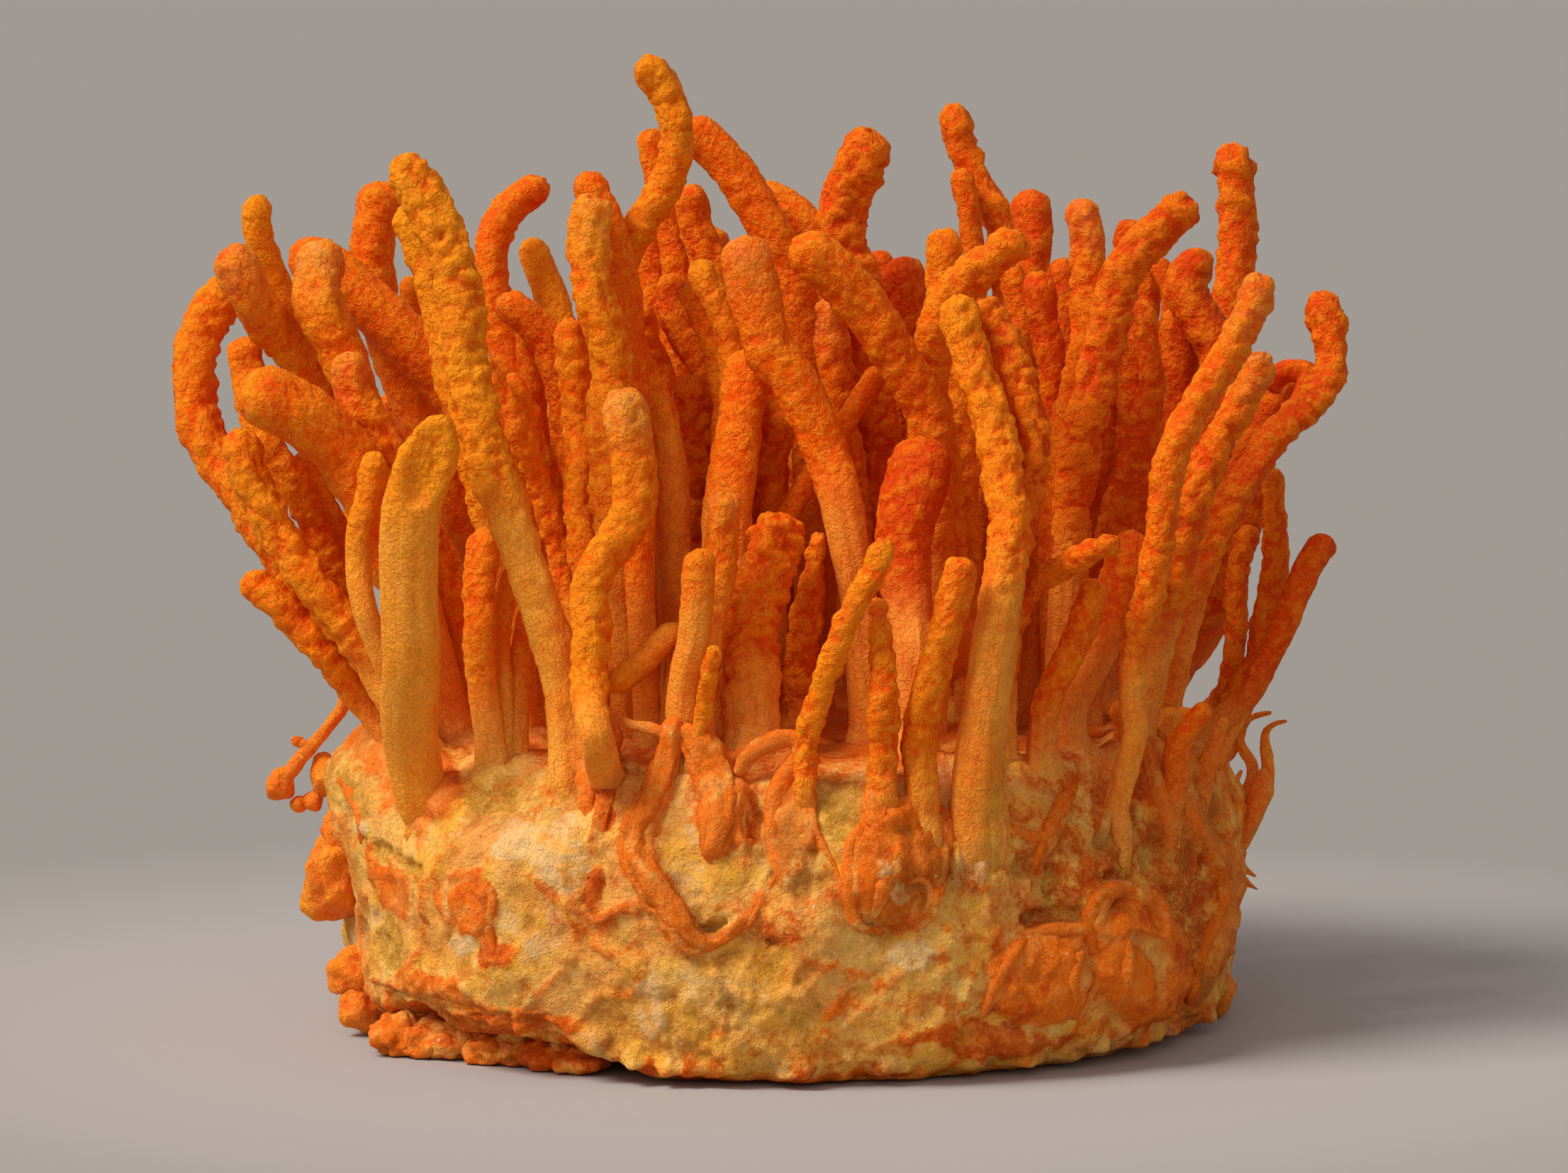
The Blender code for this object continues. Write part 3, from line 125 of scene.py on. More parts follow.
CLUBS = tuple(Club(node, *club) for node, *members in (
    ("club_left_arc", ((2, -5), (-33.4, -7), (1.85, 1.85, 1.4), (-48.5, 64.5, -50.6, 62.3, -51.9, 58,
     -51.7, 53.7, -50.2, 50, -47, 45.5, -44.3, 41, -40.5, 36, -36.8, 31), (1, 2, 0, 0, 0.25))),
    ("tuft_left_upper", ((-8, -6), (-30.4, -4), (1.8, 1.8, 1.4), (-48.3, 67.3, -47, 64.5, -45.2, 61.5,
     -43, 59, -40.8, 56.4, -37, 48, -33.4, 38), (2, 0, 0, 1, 0.3)), ((-3, -2), (-29.5, -3), (1.3, 1.2, 1.2),
     (-46.3, 72, -46, 69, -44.9, 66, -42.9, 62, -39.6, 56, -35.5, 47, -32, 37), (1, 0, 1, 0, 0.35))),
    ("tuft_left_shoulder", ((6, 2), (-21.4, 0), (2.4, 2.3, 1.7), (-42, 67.3, -39.5, 65.8, -36.8, 63.5,
     -34, 60.8, -29.5, 56, -26.4, 50, -23.6, 39), (0, 0, -0.3, 0, 0.3)), ((9, 7), (-22.3, 1.2),
     (2.05, 1.7, 1.4), (-35.5, 72.8, -35.9, 70, -36.1, 66.5, -34.6, 59, -30.5, 49, -26, 38),
     (0, 1, -0.3, 0, 0.3))),
    ("tuft_left_pink", ((-3, -6), (-27.8, -8.3), (2.1, 1.5, 1.3), (-40.5, 67.5, -41, 65, -40.8, 63,
     -39.8, 61, -38.2, 57.5, -35, 48, -31, 37), (1, 0, 0.2, 2, 0.35)), ((-8, -8), (-27.2, -9.4),
     (1.5, 1.5, 1.2), (-38.2, 58.2, -37.8, 55, -35.6, 52, -33.6, 47.5, -31, 41, -28.8, 34),
     (2, 0, 0, 1, 0.3))),
    ("club_front_tall_left", ((-22, -27), (-19, -30.4), (1.75, 1.7, 1.5), (-33.2, 75.2, -31.2, 71.8,
     -29.6, 68.5, -28.5, 64.5, -28.2, 58.5, -27.3, 54, -25.8, 48.5, -24, 43.5, -22.3, 38.5, -20.6, 33.5,
     -19.5, 29), (3, 1, 0.8, 0, 0.45))),
    ("club_left_behind", ((-10, -14), (-22.5, -12), (1.4, 1.4, 1.2), (-33, 71, -31.4, 67, -30.4, 63, -29, 56,
     -26.5, 46, -23.8, 35), (2, 0, 0.8, 0, 0.4))),
    ("tuft_rear_left", ((24, 19), (-16, 15.6), (1.5, 1.5, 1.3), (-21.6, 73.5, -23.3, 72.3, -24.8, 70.8,
     -25.7, 67.5, -25.2, 62, -22.8, 52, -19, 40), (0, 1, -0.5, 0, 0.35)), ((27, 22), (-14.8, 16.8),
     (1.5, 1.5, 1.3), (-22.1, 68.2, -21.3, 66.2, -19.8, 62, -18.2, 54, -16.4, 43), (0, 0, 1.2, 0, 0.35)),
     ((15, 15), (-15.8, 14.4), (1.6, 1.6, 1.3), (-24.1, 63.3, -22.3, 61.7, -20.4, 59, -18.8, 52, -17.2, 42),
     (1, 0, -0.9, 0, 0.35))),
    ("club_left_bulb", ((-17, -12), (-29.2, -13), (2.9, 2.4, 1.7), (-46.3, 55.3, -43.5, 54, -41, 52.2,
     -38.2, 49.3, -35, 43, -32, 35), (0, 0, -0.1, 0, 0.4))),
    ("tuft_left_front", ((-14, -15), (-32.4, -16.4), (1.7, 1.7, 1.4), (-48.1, 51.2, -47.4, 49, -46.5, 46.5,
     -44, 42, -41.3, 38, -38, 34, -35.3, 29.5), (2, 1, 0.2, 0, 0.35)), ((-19, -18), (-31.6, -15.2),
     (1.1, 1.1, 1.1), (-36, 49.5, -36.7, 46, -37.5, 42, -37.2, 37, -35.4, 32), (0, 0, 0.6, 0, 0.7))),
    ("tuft_left_thin", ((-6, -6), (-33.6, -2.2), (1.4, 1.3, 1.2), (-47.5, 59.3, -46.6, 54, -45.3, 50.5,
     -42.8, 46.5, -40.6, 41.5, -38.2, 36, -36.2, 31), (2, 0, 0, 0, 0.4)), ((-3, -4), (-33, -1),
     (0.95, 0.95, 1), (-42.7, 49.5, -41.3, 47, -39.2, 43, -37.6, 38, -36, 32), (0, 0, 0.5, 0, 0.6))),
    ("tuft_left_low", ((-12, -13), (-34.2, -11.4), (1.4, 1.3, 1.2), (-46.9, 38.6, -45, 37.2, -43.5, 35.5,
     -40.2, 32, -37.6, 28.6), (2, 0, -0.1, 0, 0.3)), ((-8, -9), (-34, -10.2), (0.9, 0.9, 1), (-44.2, 39,
     -42.3, 37, -41, 35, -39.2, 32, -37, 28.6), (1, 0, 0.2, 0, 0.4))),
    ("club_front_flat", ((-31, -29), (-29.4, -21.2, 20.5), (2.5, 2.5, 2.2), (-31.2, 49.8, -32.1, 47.5,
     -32.9, 44, -33, 38, -32.8, 32, -33.1, 26.5, -32.4, 22), (0, 0, 1.3, 0, 0.8))),
    ("tuft_left_inner", ((-15, -16), (-16.2, -15.4), (1.1, 1.1, 1.1), (-26.5, 58, -25, 55.5, -22.9, 51,
     -21.1, 46, -19.3, 39, -17.8, 33), (2, 3, 0, 0, 0.35)), ((-12, -13), (-15.5, -14.6), (1.1, 1.1, 1.1),
     (-23.9, 56.5, -22.4, 52, -20.4, 46, -18.4, 38, -16.8, 32), (2, 3, -0.2, 0, 0.35)), ((-14, -16),
     (-15.2, -16), (1.4, 1.4, 1.2), (-18.9, 61, -18.4, 57, -18, 51, -17.9, 44, -16.8, 36),
     (1, 2, 0.4, 0, 0.4))),
    ("tuft_front_left_small", ((-22, -23), (-25.4, -24.2), (1.35, 1.35, 1.2), (-26.3, 42.6, -26.8, 39,
     -26.8, 35, -26.6, 30), (1, 0, 0, 0, 0.4)), ((-20, -21), (-24.2, -23.4), (0.9, 0.9, 1), (-24, 39.5,
     -24.9, 36, -25.2, 33, -24.9, 29), (0, 0, 0.2, 0, 0.5)), ((-19, -20), (-23, -23.2), (1, 1, 1),
     (-22.6, 36.3, -23.1, 33, -23.5, 29.5), (0, 0, 0, 0, 0.5))),
    ("tuft_left_centre", ((-12, -13), (-13.4, -19), (1.65, 1.65, 1.4), (-17, 72, -17.1, 69, -16.8, 65,
     -15.6, 60, -15, 57, -15.8, 52, -15, 44, -14, 35), (2, 1, 0.7, 1, 0.4)), ((-6, -8), (-12.6, -17.8),
     (1.5, 1.5, 1.3), (-17.2, 74, -16.3, 72, -14.9, 68, -13.8, 62, -13.2, 53, -12.8, 41),
     (0, 0, -0.6, 0, 0.4))),
    ("club_front_wavy", ((-27, -29), (-15.6, -32.4), (1.9, 1.6, 1.5), (-14.1, 54.6, -13.6, 51.5, -13, 48,
     -13.4, 44.6, -15.7, 41, -17.1, 37.8, -17, 34.5, -17.1, 30.5, -17, 27), (1, 0, 0.5, 2, 0.3))),
    ("tuft_front_stub", ((-20, -22), (-11.4, -24.6), (1.25, 1.25, 1.2), (-12.5, 46, -12.9, 40, -12.6, 35,
     -12.3, 30), (0, 0, 0.3, 0, 0.6)), ((-27.5, -26.5), (-10.5, -24.2), (1.2, 1, 1), (-15, 29.7, -13.6, 30.6,
     -11.6, 32.4, -9.8, 34.2, -9.2, 32), (0, 0, 0.9, 0, 0.8))),
    ("club_tallest", ((-7, -8), (-9.4, -13.6), (1.5, 1.5, 1.4), (-11.9, 84, -10.4, 82, -9.5, 79.5, -9.7, 75,
     -12, 71, -14.2, 67, -14.4, 63, -13, 58, -10.9, 53.5, -10, 49, -9.6, 42, -9.4, 35),
     (1, 2, 0.8, 0, 0.45))),
    ("tuft_rear_centre", ((16, 14), (-5, 10), (1.1, 1.2, 1.2), (-11.7, 78, -11, 73.5, -9.6, 67, -7.8, 57,
     -6.2, 44), (1, 1, -0.5, 0, 0.35)), ((12, 11), (-4, 9), (1.2, 2.2, 1.4), (-8.2, 73, -7.6, 69.8,
     -6.4, 66.8, -5, 60, -4.5, 48), (2, 0, -0.5, 0, 0.35))),
    ("tuft_rear_arch", ((6, 4), (2.4, 2), (1.75, 1.7, 1.4), (-8.1, 78.5, -6, 76.7, -4.3, 74.7, -1.7, 70.5,
     0.5, 66, 1.8, 60, 2.4, 50, 2.4, 38), (0, 0, 0, 0, 0.35)), ((14, 9), (3, 3.4), (1.4, 1.4, 1.3),
     (-1.5, 73, 1.5, 71, 3.4, 68, 4.2, 61, 4, 50, 3.3, 38), (0, 0, 0.1, 0, 0.35))),
    ("tuft_middle_dark", ((2, 1), (-6.6, -3), (1.4, 1.4, 1.3), (-10, 65, -9.7, 63, -8.7, 60.5, -6.5, 56.5,
     -6, 49, -6.3, 37), (2, 0, -1.3, 0, 0.35)), ((-4, -4), (-7.2, -4.4), (1.6, 2, 1.5), (-8.2, 56, -7.6, 51,
     -8, 45.5, -7.6, 36), (3, 0, -1.8, 0, 0.3)), ((0, -1), (-7.9, -3.2), (1.2, 1.2, 1.2), (-12.6, 62.5,
     -12, 60, -10.9, 57, -9.4, 49, -8.6, 38), (1, 0, -1, 0, 0.35))),
    ("tuft_centre_trunk", ((-4, -7), (-5, -14.6), (1.2, 1.2, 1.2), (-7.4, 66.3, -6.4, 64, -4.9, 60.5,
     -4.4, 55, -4.7, 46, -4.9, 34), (2, 0, 1, 0, 0.35)), ((-5, -7), (-5.7, -13.8), (1.1, 1.1, 1.1),
     (-8.2, 64.5, -7.2, 62, -5.7, 58.2, -5.2, 52, -5.4, 42, -5.5, 33), (1, 0, 0.3, 0, 0.4)), ((-10, -12),
     (-4.6, -16), (1.9, 2.1, 1.8), (-3.2, 58, -3.6, 54.5, -4.4, 49.5, -5, 45, -4.9, 38, -4.5, 32),
     (0, 0, 0.3, 0, 0.6))),
    ("club_centre", ((-15, -17), (7, -20), (2.05, 1.7, 1.25), (-3.5, 68, -2.9, 65.5, -2.1, 62, -1.2, 59,
     0.9, 56.3, 2.9, 52, 4.7, 47, 5.7, 42, 6.5, 37, 7, 31, 7.2, 27), (0, 0, 0.1, 1, 0.5))),
    ("club_front_trunk", ((-20, -23), (-2.8, -27.6), (2, 2.3, 2.2), (-0.5, 43.5, -1.5, 40, -2.6, 36.5,
     -3.2, 33, -3, 28.5), (3, 3, -0.7, 0, 0.35))),
    ("tuft_front_middle", ((-26, -27), (-7.2, -29.6), (1.35, 1.35, 1.3), (-5.2, 45.7, -5.5, 42, -6, 38,
     -6.8, 33, -7.4, 28.5), (1, 1, 0.4, 1, 0.6)), ((-31, -31), (-8.4, -30.6), (1.35, 1.3, 1.3), (-7.4, 40.8,
     -7.6, 37.5, -8, 33.5, -8.9, 28.5), (0, 0, 0.5, 0, 0.8)), ((-35, -34), (-7.6, -31.2), (0.7, 0.75, 1),
     (-6.3, 32.4, -6.7, 30, -7.1, 27.6), (3, 0, 1, 0, 0.3))),
    ("tuft_centre_rough", ((-10, -11), (0.2, -13.6), (1, 1, 1.1), (8, 57, 5.2, 52.5, 2, 47.5, -0.2, 43,
     -0.9, 36), (0, 0, -0.1, 0, 0.5)), ((-5, -8), (-0.5, -12.6), (1.5, 1.5, 1.3), (-0.3, 54, -1.2, 50,
     -1.6, 46, -2.2, 41, -1.9, 33), (3, 1, -0.8, 0, 0.3)), ((-17, -17), (0.8, -14.8), (0.9, 1.4, 1.9),
     (3, 42.5, 2.5, 39, 1.9, 35, 1.5, 30), (3, 0, -0.8, 0, 0.2))),
    ("club_centre_right", ((-17, -14), (13, -12), (1.95, 1.7, 1.4), (1.9, 68, 3.8, 66.6, 7, 63, 9.6, 59,
     12, 55, 13, 51, 13.3, 43, 13.2, 34), (1, 0, 0, 0, 0.35))),
    ("tuft_dark_tip", ((-2, -3), (8.2, -4), (2, 1.6, 1.3), (7.3, 77.2, 6.3, 75.2, 5.4, 72.5, 4.9, 69.5,
     6, 65.8, 7.4, 59, 8.2, 49, 8.3, 37), (3, 2, -1.2, 0, 0.3)), ((-6, -6), (7, -4.6), (1.3, 1.3, 1.2),
     (4, 63, 4.5, 58, 5.2, 52, 6.4, 43, 7, 35), (3, 0, -0.8, 1, 0.3))),
    ("tuft_behind_bulb", ((4, 3), (13, 3), (1.8, 1.8, 1.4), (10.3, 66.3, 10.9, 64, 12, 59, 12.8, 50,
     13.1, 38), (0, 0, -1.5, 0, 0.35)), ((6, 4), (12, 3.6), (1.2, 1.2, 1.2), (8.5, 67.3, 8.3, 64, 9.4, 56,
     11, 44), (0, 0, -0.9, 0, 0.35))),
    ("tuft_rear_tall_right", ((28, 24), (17.6, 21), (1.4, 1.8, 1.4), (15, 80, 15.4, 77.5, 17, 74, 19, 70,
     19.6, 64, 19.4, 54, 18.4, 41), (1, 2, 0, 0, 0.35)), ((25, 22), (16.6, 20), (1.1, 1.1, 1.2), (15.5, 74.5,
     16.3, 70.5, 16.9, 62, 17.2, 51, 17, 40), (1, 0, 0, 0, 0.35))),
    ("tuft_rear_round_right", ((16, 14), (20, 11.6), (1.8, 1.8, 1.4), (21.6, 72.3, 21.9, 70, 21.5, 65,
     21, 54, 20.4, 40), (0, 0, -0.5, 0, 0.35)), ((11, 10), (19.4, 10.4), (1.2, 1.2, 1.2), (19.7, 66.4,
     20.8, 62.5, 20.2, 54, 19.6, 42), (1, 0, 0.9, 0, 0.35))),
    ("tuft_right_crossed", ((-3, -5), (16.2, -9.6), (1.35, 1.35, 1.3), (14, 69, 14, 66, 14.5, 60, 15.4, 50,
     16, 38), (3, 0, 1.1, 0, 0.3)), ((-12, -10), (15.2, -10.6), (1.4, 1.4, 1.2), (20.2, 68.8, 18.5, 67.5,
     15.2, 64.6, 13.2, 60.8, 12.9, 56, 14, 48, 15, 37), (3, 0, 1, 0, 0.3))),
    ("tuft_striped_trunk", ((-22, -29), (16.3, -33.6, 21.5), (1.5, 1.6, 2.1), (15.4, 63, 15.9, 60.5,
     17, 56.5, 18.3, 53, 19.2, 49, 19.9, 44, 19.2, 38, 18.5, 33, 17.8, 28, 17.3, 23.5), (2, 1, 1.2, 0, 0.5)),
     ((-19, -28), (17, -33, 21.5), (1.35, 1.4, 2), (18, 63, 18.9, 60.6, 20.7, 57, 21.8, 52, 21.6, 47.5,
     20.7, 43.5, 19.6, 38, 18.9, 33, 18.1, 28, 17.7, 24), (3, 1, -0.6, 0, 0.5))),
    ("club_right_lying", ((-31, -28), (19.4, -25.5), (0.95, 0.95, 1.1), (29, 42.1, 26.5, 41.1, 23.3, 39,
     21, 36.6, 19.8, 33, 19.6, 28.5), (3, 0, 0.2, 0, 0.3))),
    ("tuft_right_dark", ((-2, -3), (21.6, -3.6), (1.45, 1.45, 1.3), (22.4, 65.2, 22.8, 61.5, 23.7, 57,
     23.6, 50, 22.8, 38), (1, 0, -1, 0, 0.35)), ((8, 4), (22.4, -2.4), (1.3, 1.3, 1.2), (24.3, 66.5,
     24.7, 62, 24.7, 53, 23.6, 40), (0, 0, -0.6, 0, 0.35))),
    ("tuft_right_blunt", ((-4, -5), (24.4, -7), (1.5, 2, 1.5), (26.1, 71.6, 26.6, 68.5, 26.8, 63, 26.4, 57,
     25.3, 52, 24.5, 45, 24.5, 35), (1, 0, 0.5, 1, 0.35)), ((2, -1), (25.6, -6), (1, 2.2, 1.6), (31.5, 63,
     32, 60, 32.3, 56.5, 31.5, 51, 29.6, 43, 27.2, 34), (0, 1, -0.5, 0, 0.35))),
    ("club_right_forward", ((-13, -14), (23.8, -14), (1.6, 1.6, 1.3), (35.2, 71.7, 33.3, 70.2, 31.5, 68.3,
     29.4, 65.3, 28.5, 61, 26.9, 54.5, 25.7, 47, 25, 37), (2, 0, -0.7, 0, 0.35))),
    ("tuft_rear_small_right", ((22, 18), (25.4, 14), (1.25, 1.25, 1.2), (30.3, 70, 30, 67, 29.3, 60, 28, 50,
     26.6, 39), (0, 0, -0.4, 0, 0.35)), ((18, 16), (26.2, 13), (0.9, 1, 1.1), (33, 66.8, 34.1, 63.5, 33, 57,
     30.2, 47, 27.8, 37), (0, 0, -0.2, 0, 0.35))),
    ("tuft_right_brown_tip", ((12, 8), (29.2, 9.6), (1.9, 1.8, 1.4), (36.3, 67, 35.3, 64.8, 37, 61.3,
     38.4, 59, 37.8, 53, 34.8, 44, 31.6, 35), (1, 1, -1.5, 0, 0.4)), ((24, 19), (29, 11), (1.75, 1.75, 1.4),
     (39.2, 76.3, 39.8, 73.5, 39.9, 69, 39.1, 63, 37.6, 54, 34.6, 44, 31, 35), (1, 3, 0, 0, 0.35))),
    ("club_front_tall_right", ((-22, -25), (28, -23.6, 21.5), (1.5, 1.4, 1.15), (41.6, 65, 41, 62.5,
     38.3, 57.5, 36.4, 54.5, 33.8, 49, 33.4, 44, 32.4, 38.5, 31.2, 33.5, 30.8, 28, 31, 25),
     (1, 1, 0.9, 1, 0.35))),
    ("club_right_rough", ((-14, -15), (30.6, -15), (1.45, 1.45, 1.2), (42, 58, 40.8, 55.5, 38.5, 51.5,
     36.3, 46.5, 35, 41, 33.6, 35), (2, 2, 0, 1, 0.35))),
    ("tuft_right_bent", ((-3, -7), (32.4, -7), (1.45, 1.45, 1.2), (47.2, 63.5, 48, 61, 48.1, 57.5,
     46.6, 54.8, 43.4, 51.7, 40.5, 47.5, 38, 43, 35.8, 36.5), (1, 3, 0, 0, 0.35)), ((1, -6), (32.2, -6.2),
     (1, 1, 1), (43, 56, 43.8, 57.2, 46, 57.2, 45.6, 54.6, 42.6, 51.2, 40, 46.8, 37.4, 42, 35.2, 36),
     (0, 0, -0.9, 0, 0.4))),
    ("tuft_right_edge", ((-4, -5), (34.6, -3.6), (1.2, 1, 1.1), (47.7, 42.2, 46.3, 40.3, 44.7, 36.3,
     43, 32.3, 41, 28.6, 38.4, 26.4), (0, 0, -0.8, 0, 0.4)), ((-1, -2), (34.4, -2.6), (1, 1, 1), (43, 48,
     43.2, 44.5, 43.3, 40, 42.3, 35, 41.4, 31, 38.6, 27.4), (3, 0, -0.2, 0, 0.2)), ((1, -1), (34, -1.8),
     (0.95, 0.95, 1), (41, 43, 40.3, 41, 39.9, 37.5, 39.8, 32, 39, 29, 37.4, 27), (3, 0, -0.4, 0, 0.2))),
    ("club_right_stub", ((-17, -18), (31.2, -17, 20.5), (0.9, 1.1, 1.2), (37.2, 27.3, 35.8, 25.6, 34.6, 23.6,
     34, 21), (0, 0, 0.5, 0, 0.5))),
    ("club_rear_diagonal", ((6, 5), (31.2, 2.4), (1, 1, 1), (39.2, 36.8, 38, 34.5, 36.5, 32.2, 34.4, 30.2),
     (0, 0, 0.4, 0, 0.5))),
    ("club_front_right_small", ((-26, -26), (21.2, -25.4), (1.3, 1.3, 1.3), (27.4, 38.2, 26.6, 35.5,
     25.2, 32.5, 23.8, 29.5, 22.9, 26.5), (2, 0, 0.6, 0, 0.3))),
    ("club_front_right_smooth", ((-18, -20), (24.8, -20.4), (2, 2, 1.6), (30.7, 42, 30, 39, 28.6, 35,
     26.4, 30.5, 25, 27), (0, 0, 0, 0, 0.5))),
    ("club_front_bulb", ((-20, -23), (11.2, -27), (2.7, 1.9, 1.7), (12.3, 49.8, 11.5, 46.8, 10.6, 43,
     10.7, 39.5, 11.2, 35.5, 11.5, 31), (0, 0, -2, 0, 0.5))),
    ("club_front_twisted", ((-36, -36), (1.6, -34.2, 23.2), (0.95, 0.9, 0.9), (8.7, 42, 8.2, 40, 7, 38,
     5.4, 35, 4, 31, 2.9, 28, 2, 24.5), (3, 0, 0.7, 0, 0.2))),
    ("club_front_pointed", ((-36, -36), (7.9, -34, 22.5), (0.8, 1.2, 1.1), (8.1, 36.6, 8.5, 34, 8.7, 31,
     8.8, 27.5, 8.7, 24), (2, 0, 0.4, 1, 0.3))),
    ("club_front_short", ((-35, -35), (11.2, -33, 22.5), (1.35, 1.35, 1.3), (15.7, 40, 15, 37.5, 14.1, 34,
     13, 30, 12.2, 26.5, 11.9, 23.5), (1, 0, 1, 0, 0.3))),
) for club in members)

# Tufts of the hidden side: reach from the axis, angle from +X in degrees, height and lean of their clubs, and
# how many clubs they have
BACK_TUFTS = (
    (30.5, 42, 52, 12, 4),
    (31, 66, 56, 11, 4),
    (31, 90, 51, 13, 4),
    (31, 114, 57, 11, 4),
    (30.5, 138, 53, 13, 4),
    (30, 160, 48, 12, 3),
    (19, 74, 61, 6, 3),
    (19, 112, 63, 7, 3),
)

# The golden angle, which varies the clubs of the hidden side, and how much it varies their foot, height,
# lean, sideways lean and sway; the spacing of their tips, their radius, its variation and its taper from tip
# to foot, the power of their bend, and the shares of their height at which their line is given
GOLDEN_ANGLE = pi * (3 - sqrt(5))
BACK_SCATTER = 0.8
BACK_TALLER = 6
BACK_LEANING = 2.5
BACK_SIDEWAYS = 1.5
BACK_SWAY = 1.3
BACK_SPACING = 4.2
BACK_RADIUS = 1.6
BACK_THICKER = 0.35
BACK_TAPER = (1, 0.95, 0.8)
BACK_BEND = 1.6
BACK_SHARES = (1, 0.82, 0.6, 0.38, 0.16)

# A line that ends on the cake's side is carried on down that side: by how many points, how many bend towards
# it, how deep the line lies at first and at last as a share of the club's radius, and its last radius
ROOT_POINTS = 6
ROOT_BEND = 8
ROOT_SUNK = (0.1, 1.45)
ROOT_TAPER = 0.6

# Clubs with a flattened head: the depth's share of the width, how much longer the tip is than a round one,
# and a hollow in its front: centre on the reading plane, half sizes, lean in degrees and depth
HEADS = {
    "club_front_flat": (0.62, 1.9, ((-31.6, 49), (2.1, 4.2), 17, 0.9)),
}

# Floor, in metres: the radii of its rings, how far it lies below the cake, and the number of its sides
FLOOR_RINGS = (0.05, 0.1, 0.2, 0.5, 1.5, 5, 12)
FLOOR_BELOW = 0.0001
FLOOR_SIDES = 96

# Light from all around, and lamps: azimuth and elevation in degrees, strength, softness in degrees, and tint
STUDIO_LIGHT = (0.352, 0.342, 0.336)
LAMPS = (
    ("key", 206, 50, 2.8, 26, (1, 0.97, 0.93)),
    ("fill", 265, 30, 0.35, 50, (1, 0.98, 0.96)),
)

# Camera, as the photograph was taken: focal length and sensor in millimetres, and the height that it looks at
LENS = 156.9
SENSOR = 36
LOOK_HEIGHT = 38.3

# Grids of the clubs: the wanted spacing in front, in the middle and at the back, the depths that part them,
# and the fewest sides of a club, and of a ribbon or blade
FRONT_STEP = 0.33
MIDDLE_STEP = 0.39
REAR_STEP = 0.5
FRONT_DEPTH = -10
REAR_DEPTH = 8
FEWEST_SIDES = 18
FEWEST_LOW = 14

# Feet of the clubs: half the length over which the pebbles fade into the stem, how far a foot flares, as a
# share of its radius, and over which length, and the length of the fan of a foot on the cake's side
STEM_FADE = 5
FLARE = 0.32
FLARE_LENGTH = 5
FAN_LENGTH = 10

# Grid of the cake: columns, how much closer they stand in front, and the spacing of rows under it, up its
# side and across its top, with the reach at which the top's rows grow wider apart
CAKE_COLUMNS = 700
FRONT_CROWDING = 0.3
UNDER_STEP = 2.2
SIDE_STEP = 0.34
TOP_STEP = 0.5
TOP_STEP_MIDDLE = 1.2
TOP_MIDDLE = 26

# The lower edge is raised at the left, over the crumbs: how far, and between which bearings, in degrees:
# where it starts, where it is in full, where it falls again, and where it ends
RAISED = 2.5
RAISED_BEARINGS = (-168, -152, -122, -106)

# Noise of the cake's skin: how far it stands out and how wide it is
SKIN_NOISE = ((0.9, 11), (0.6, 5.5), (0.36, 2.7), (0.20, 1.4), (0.13, 0.75))

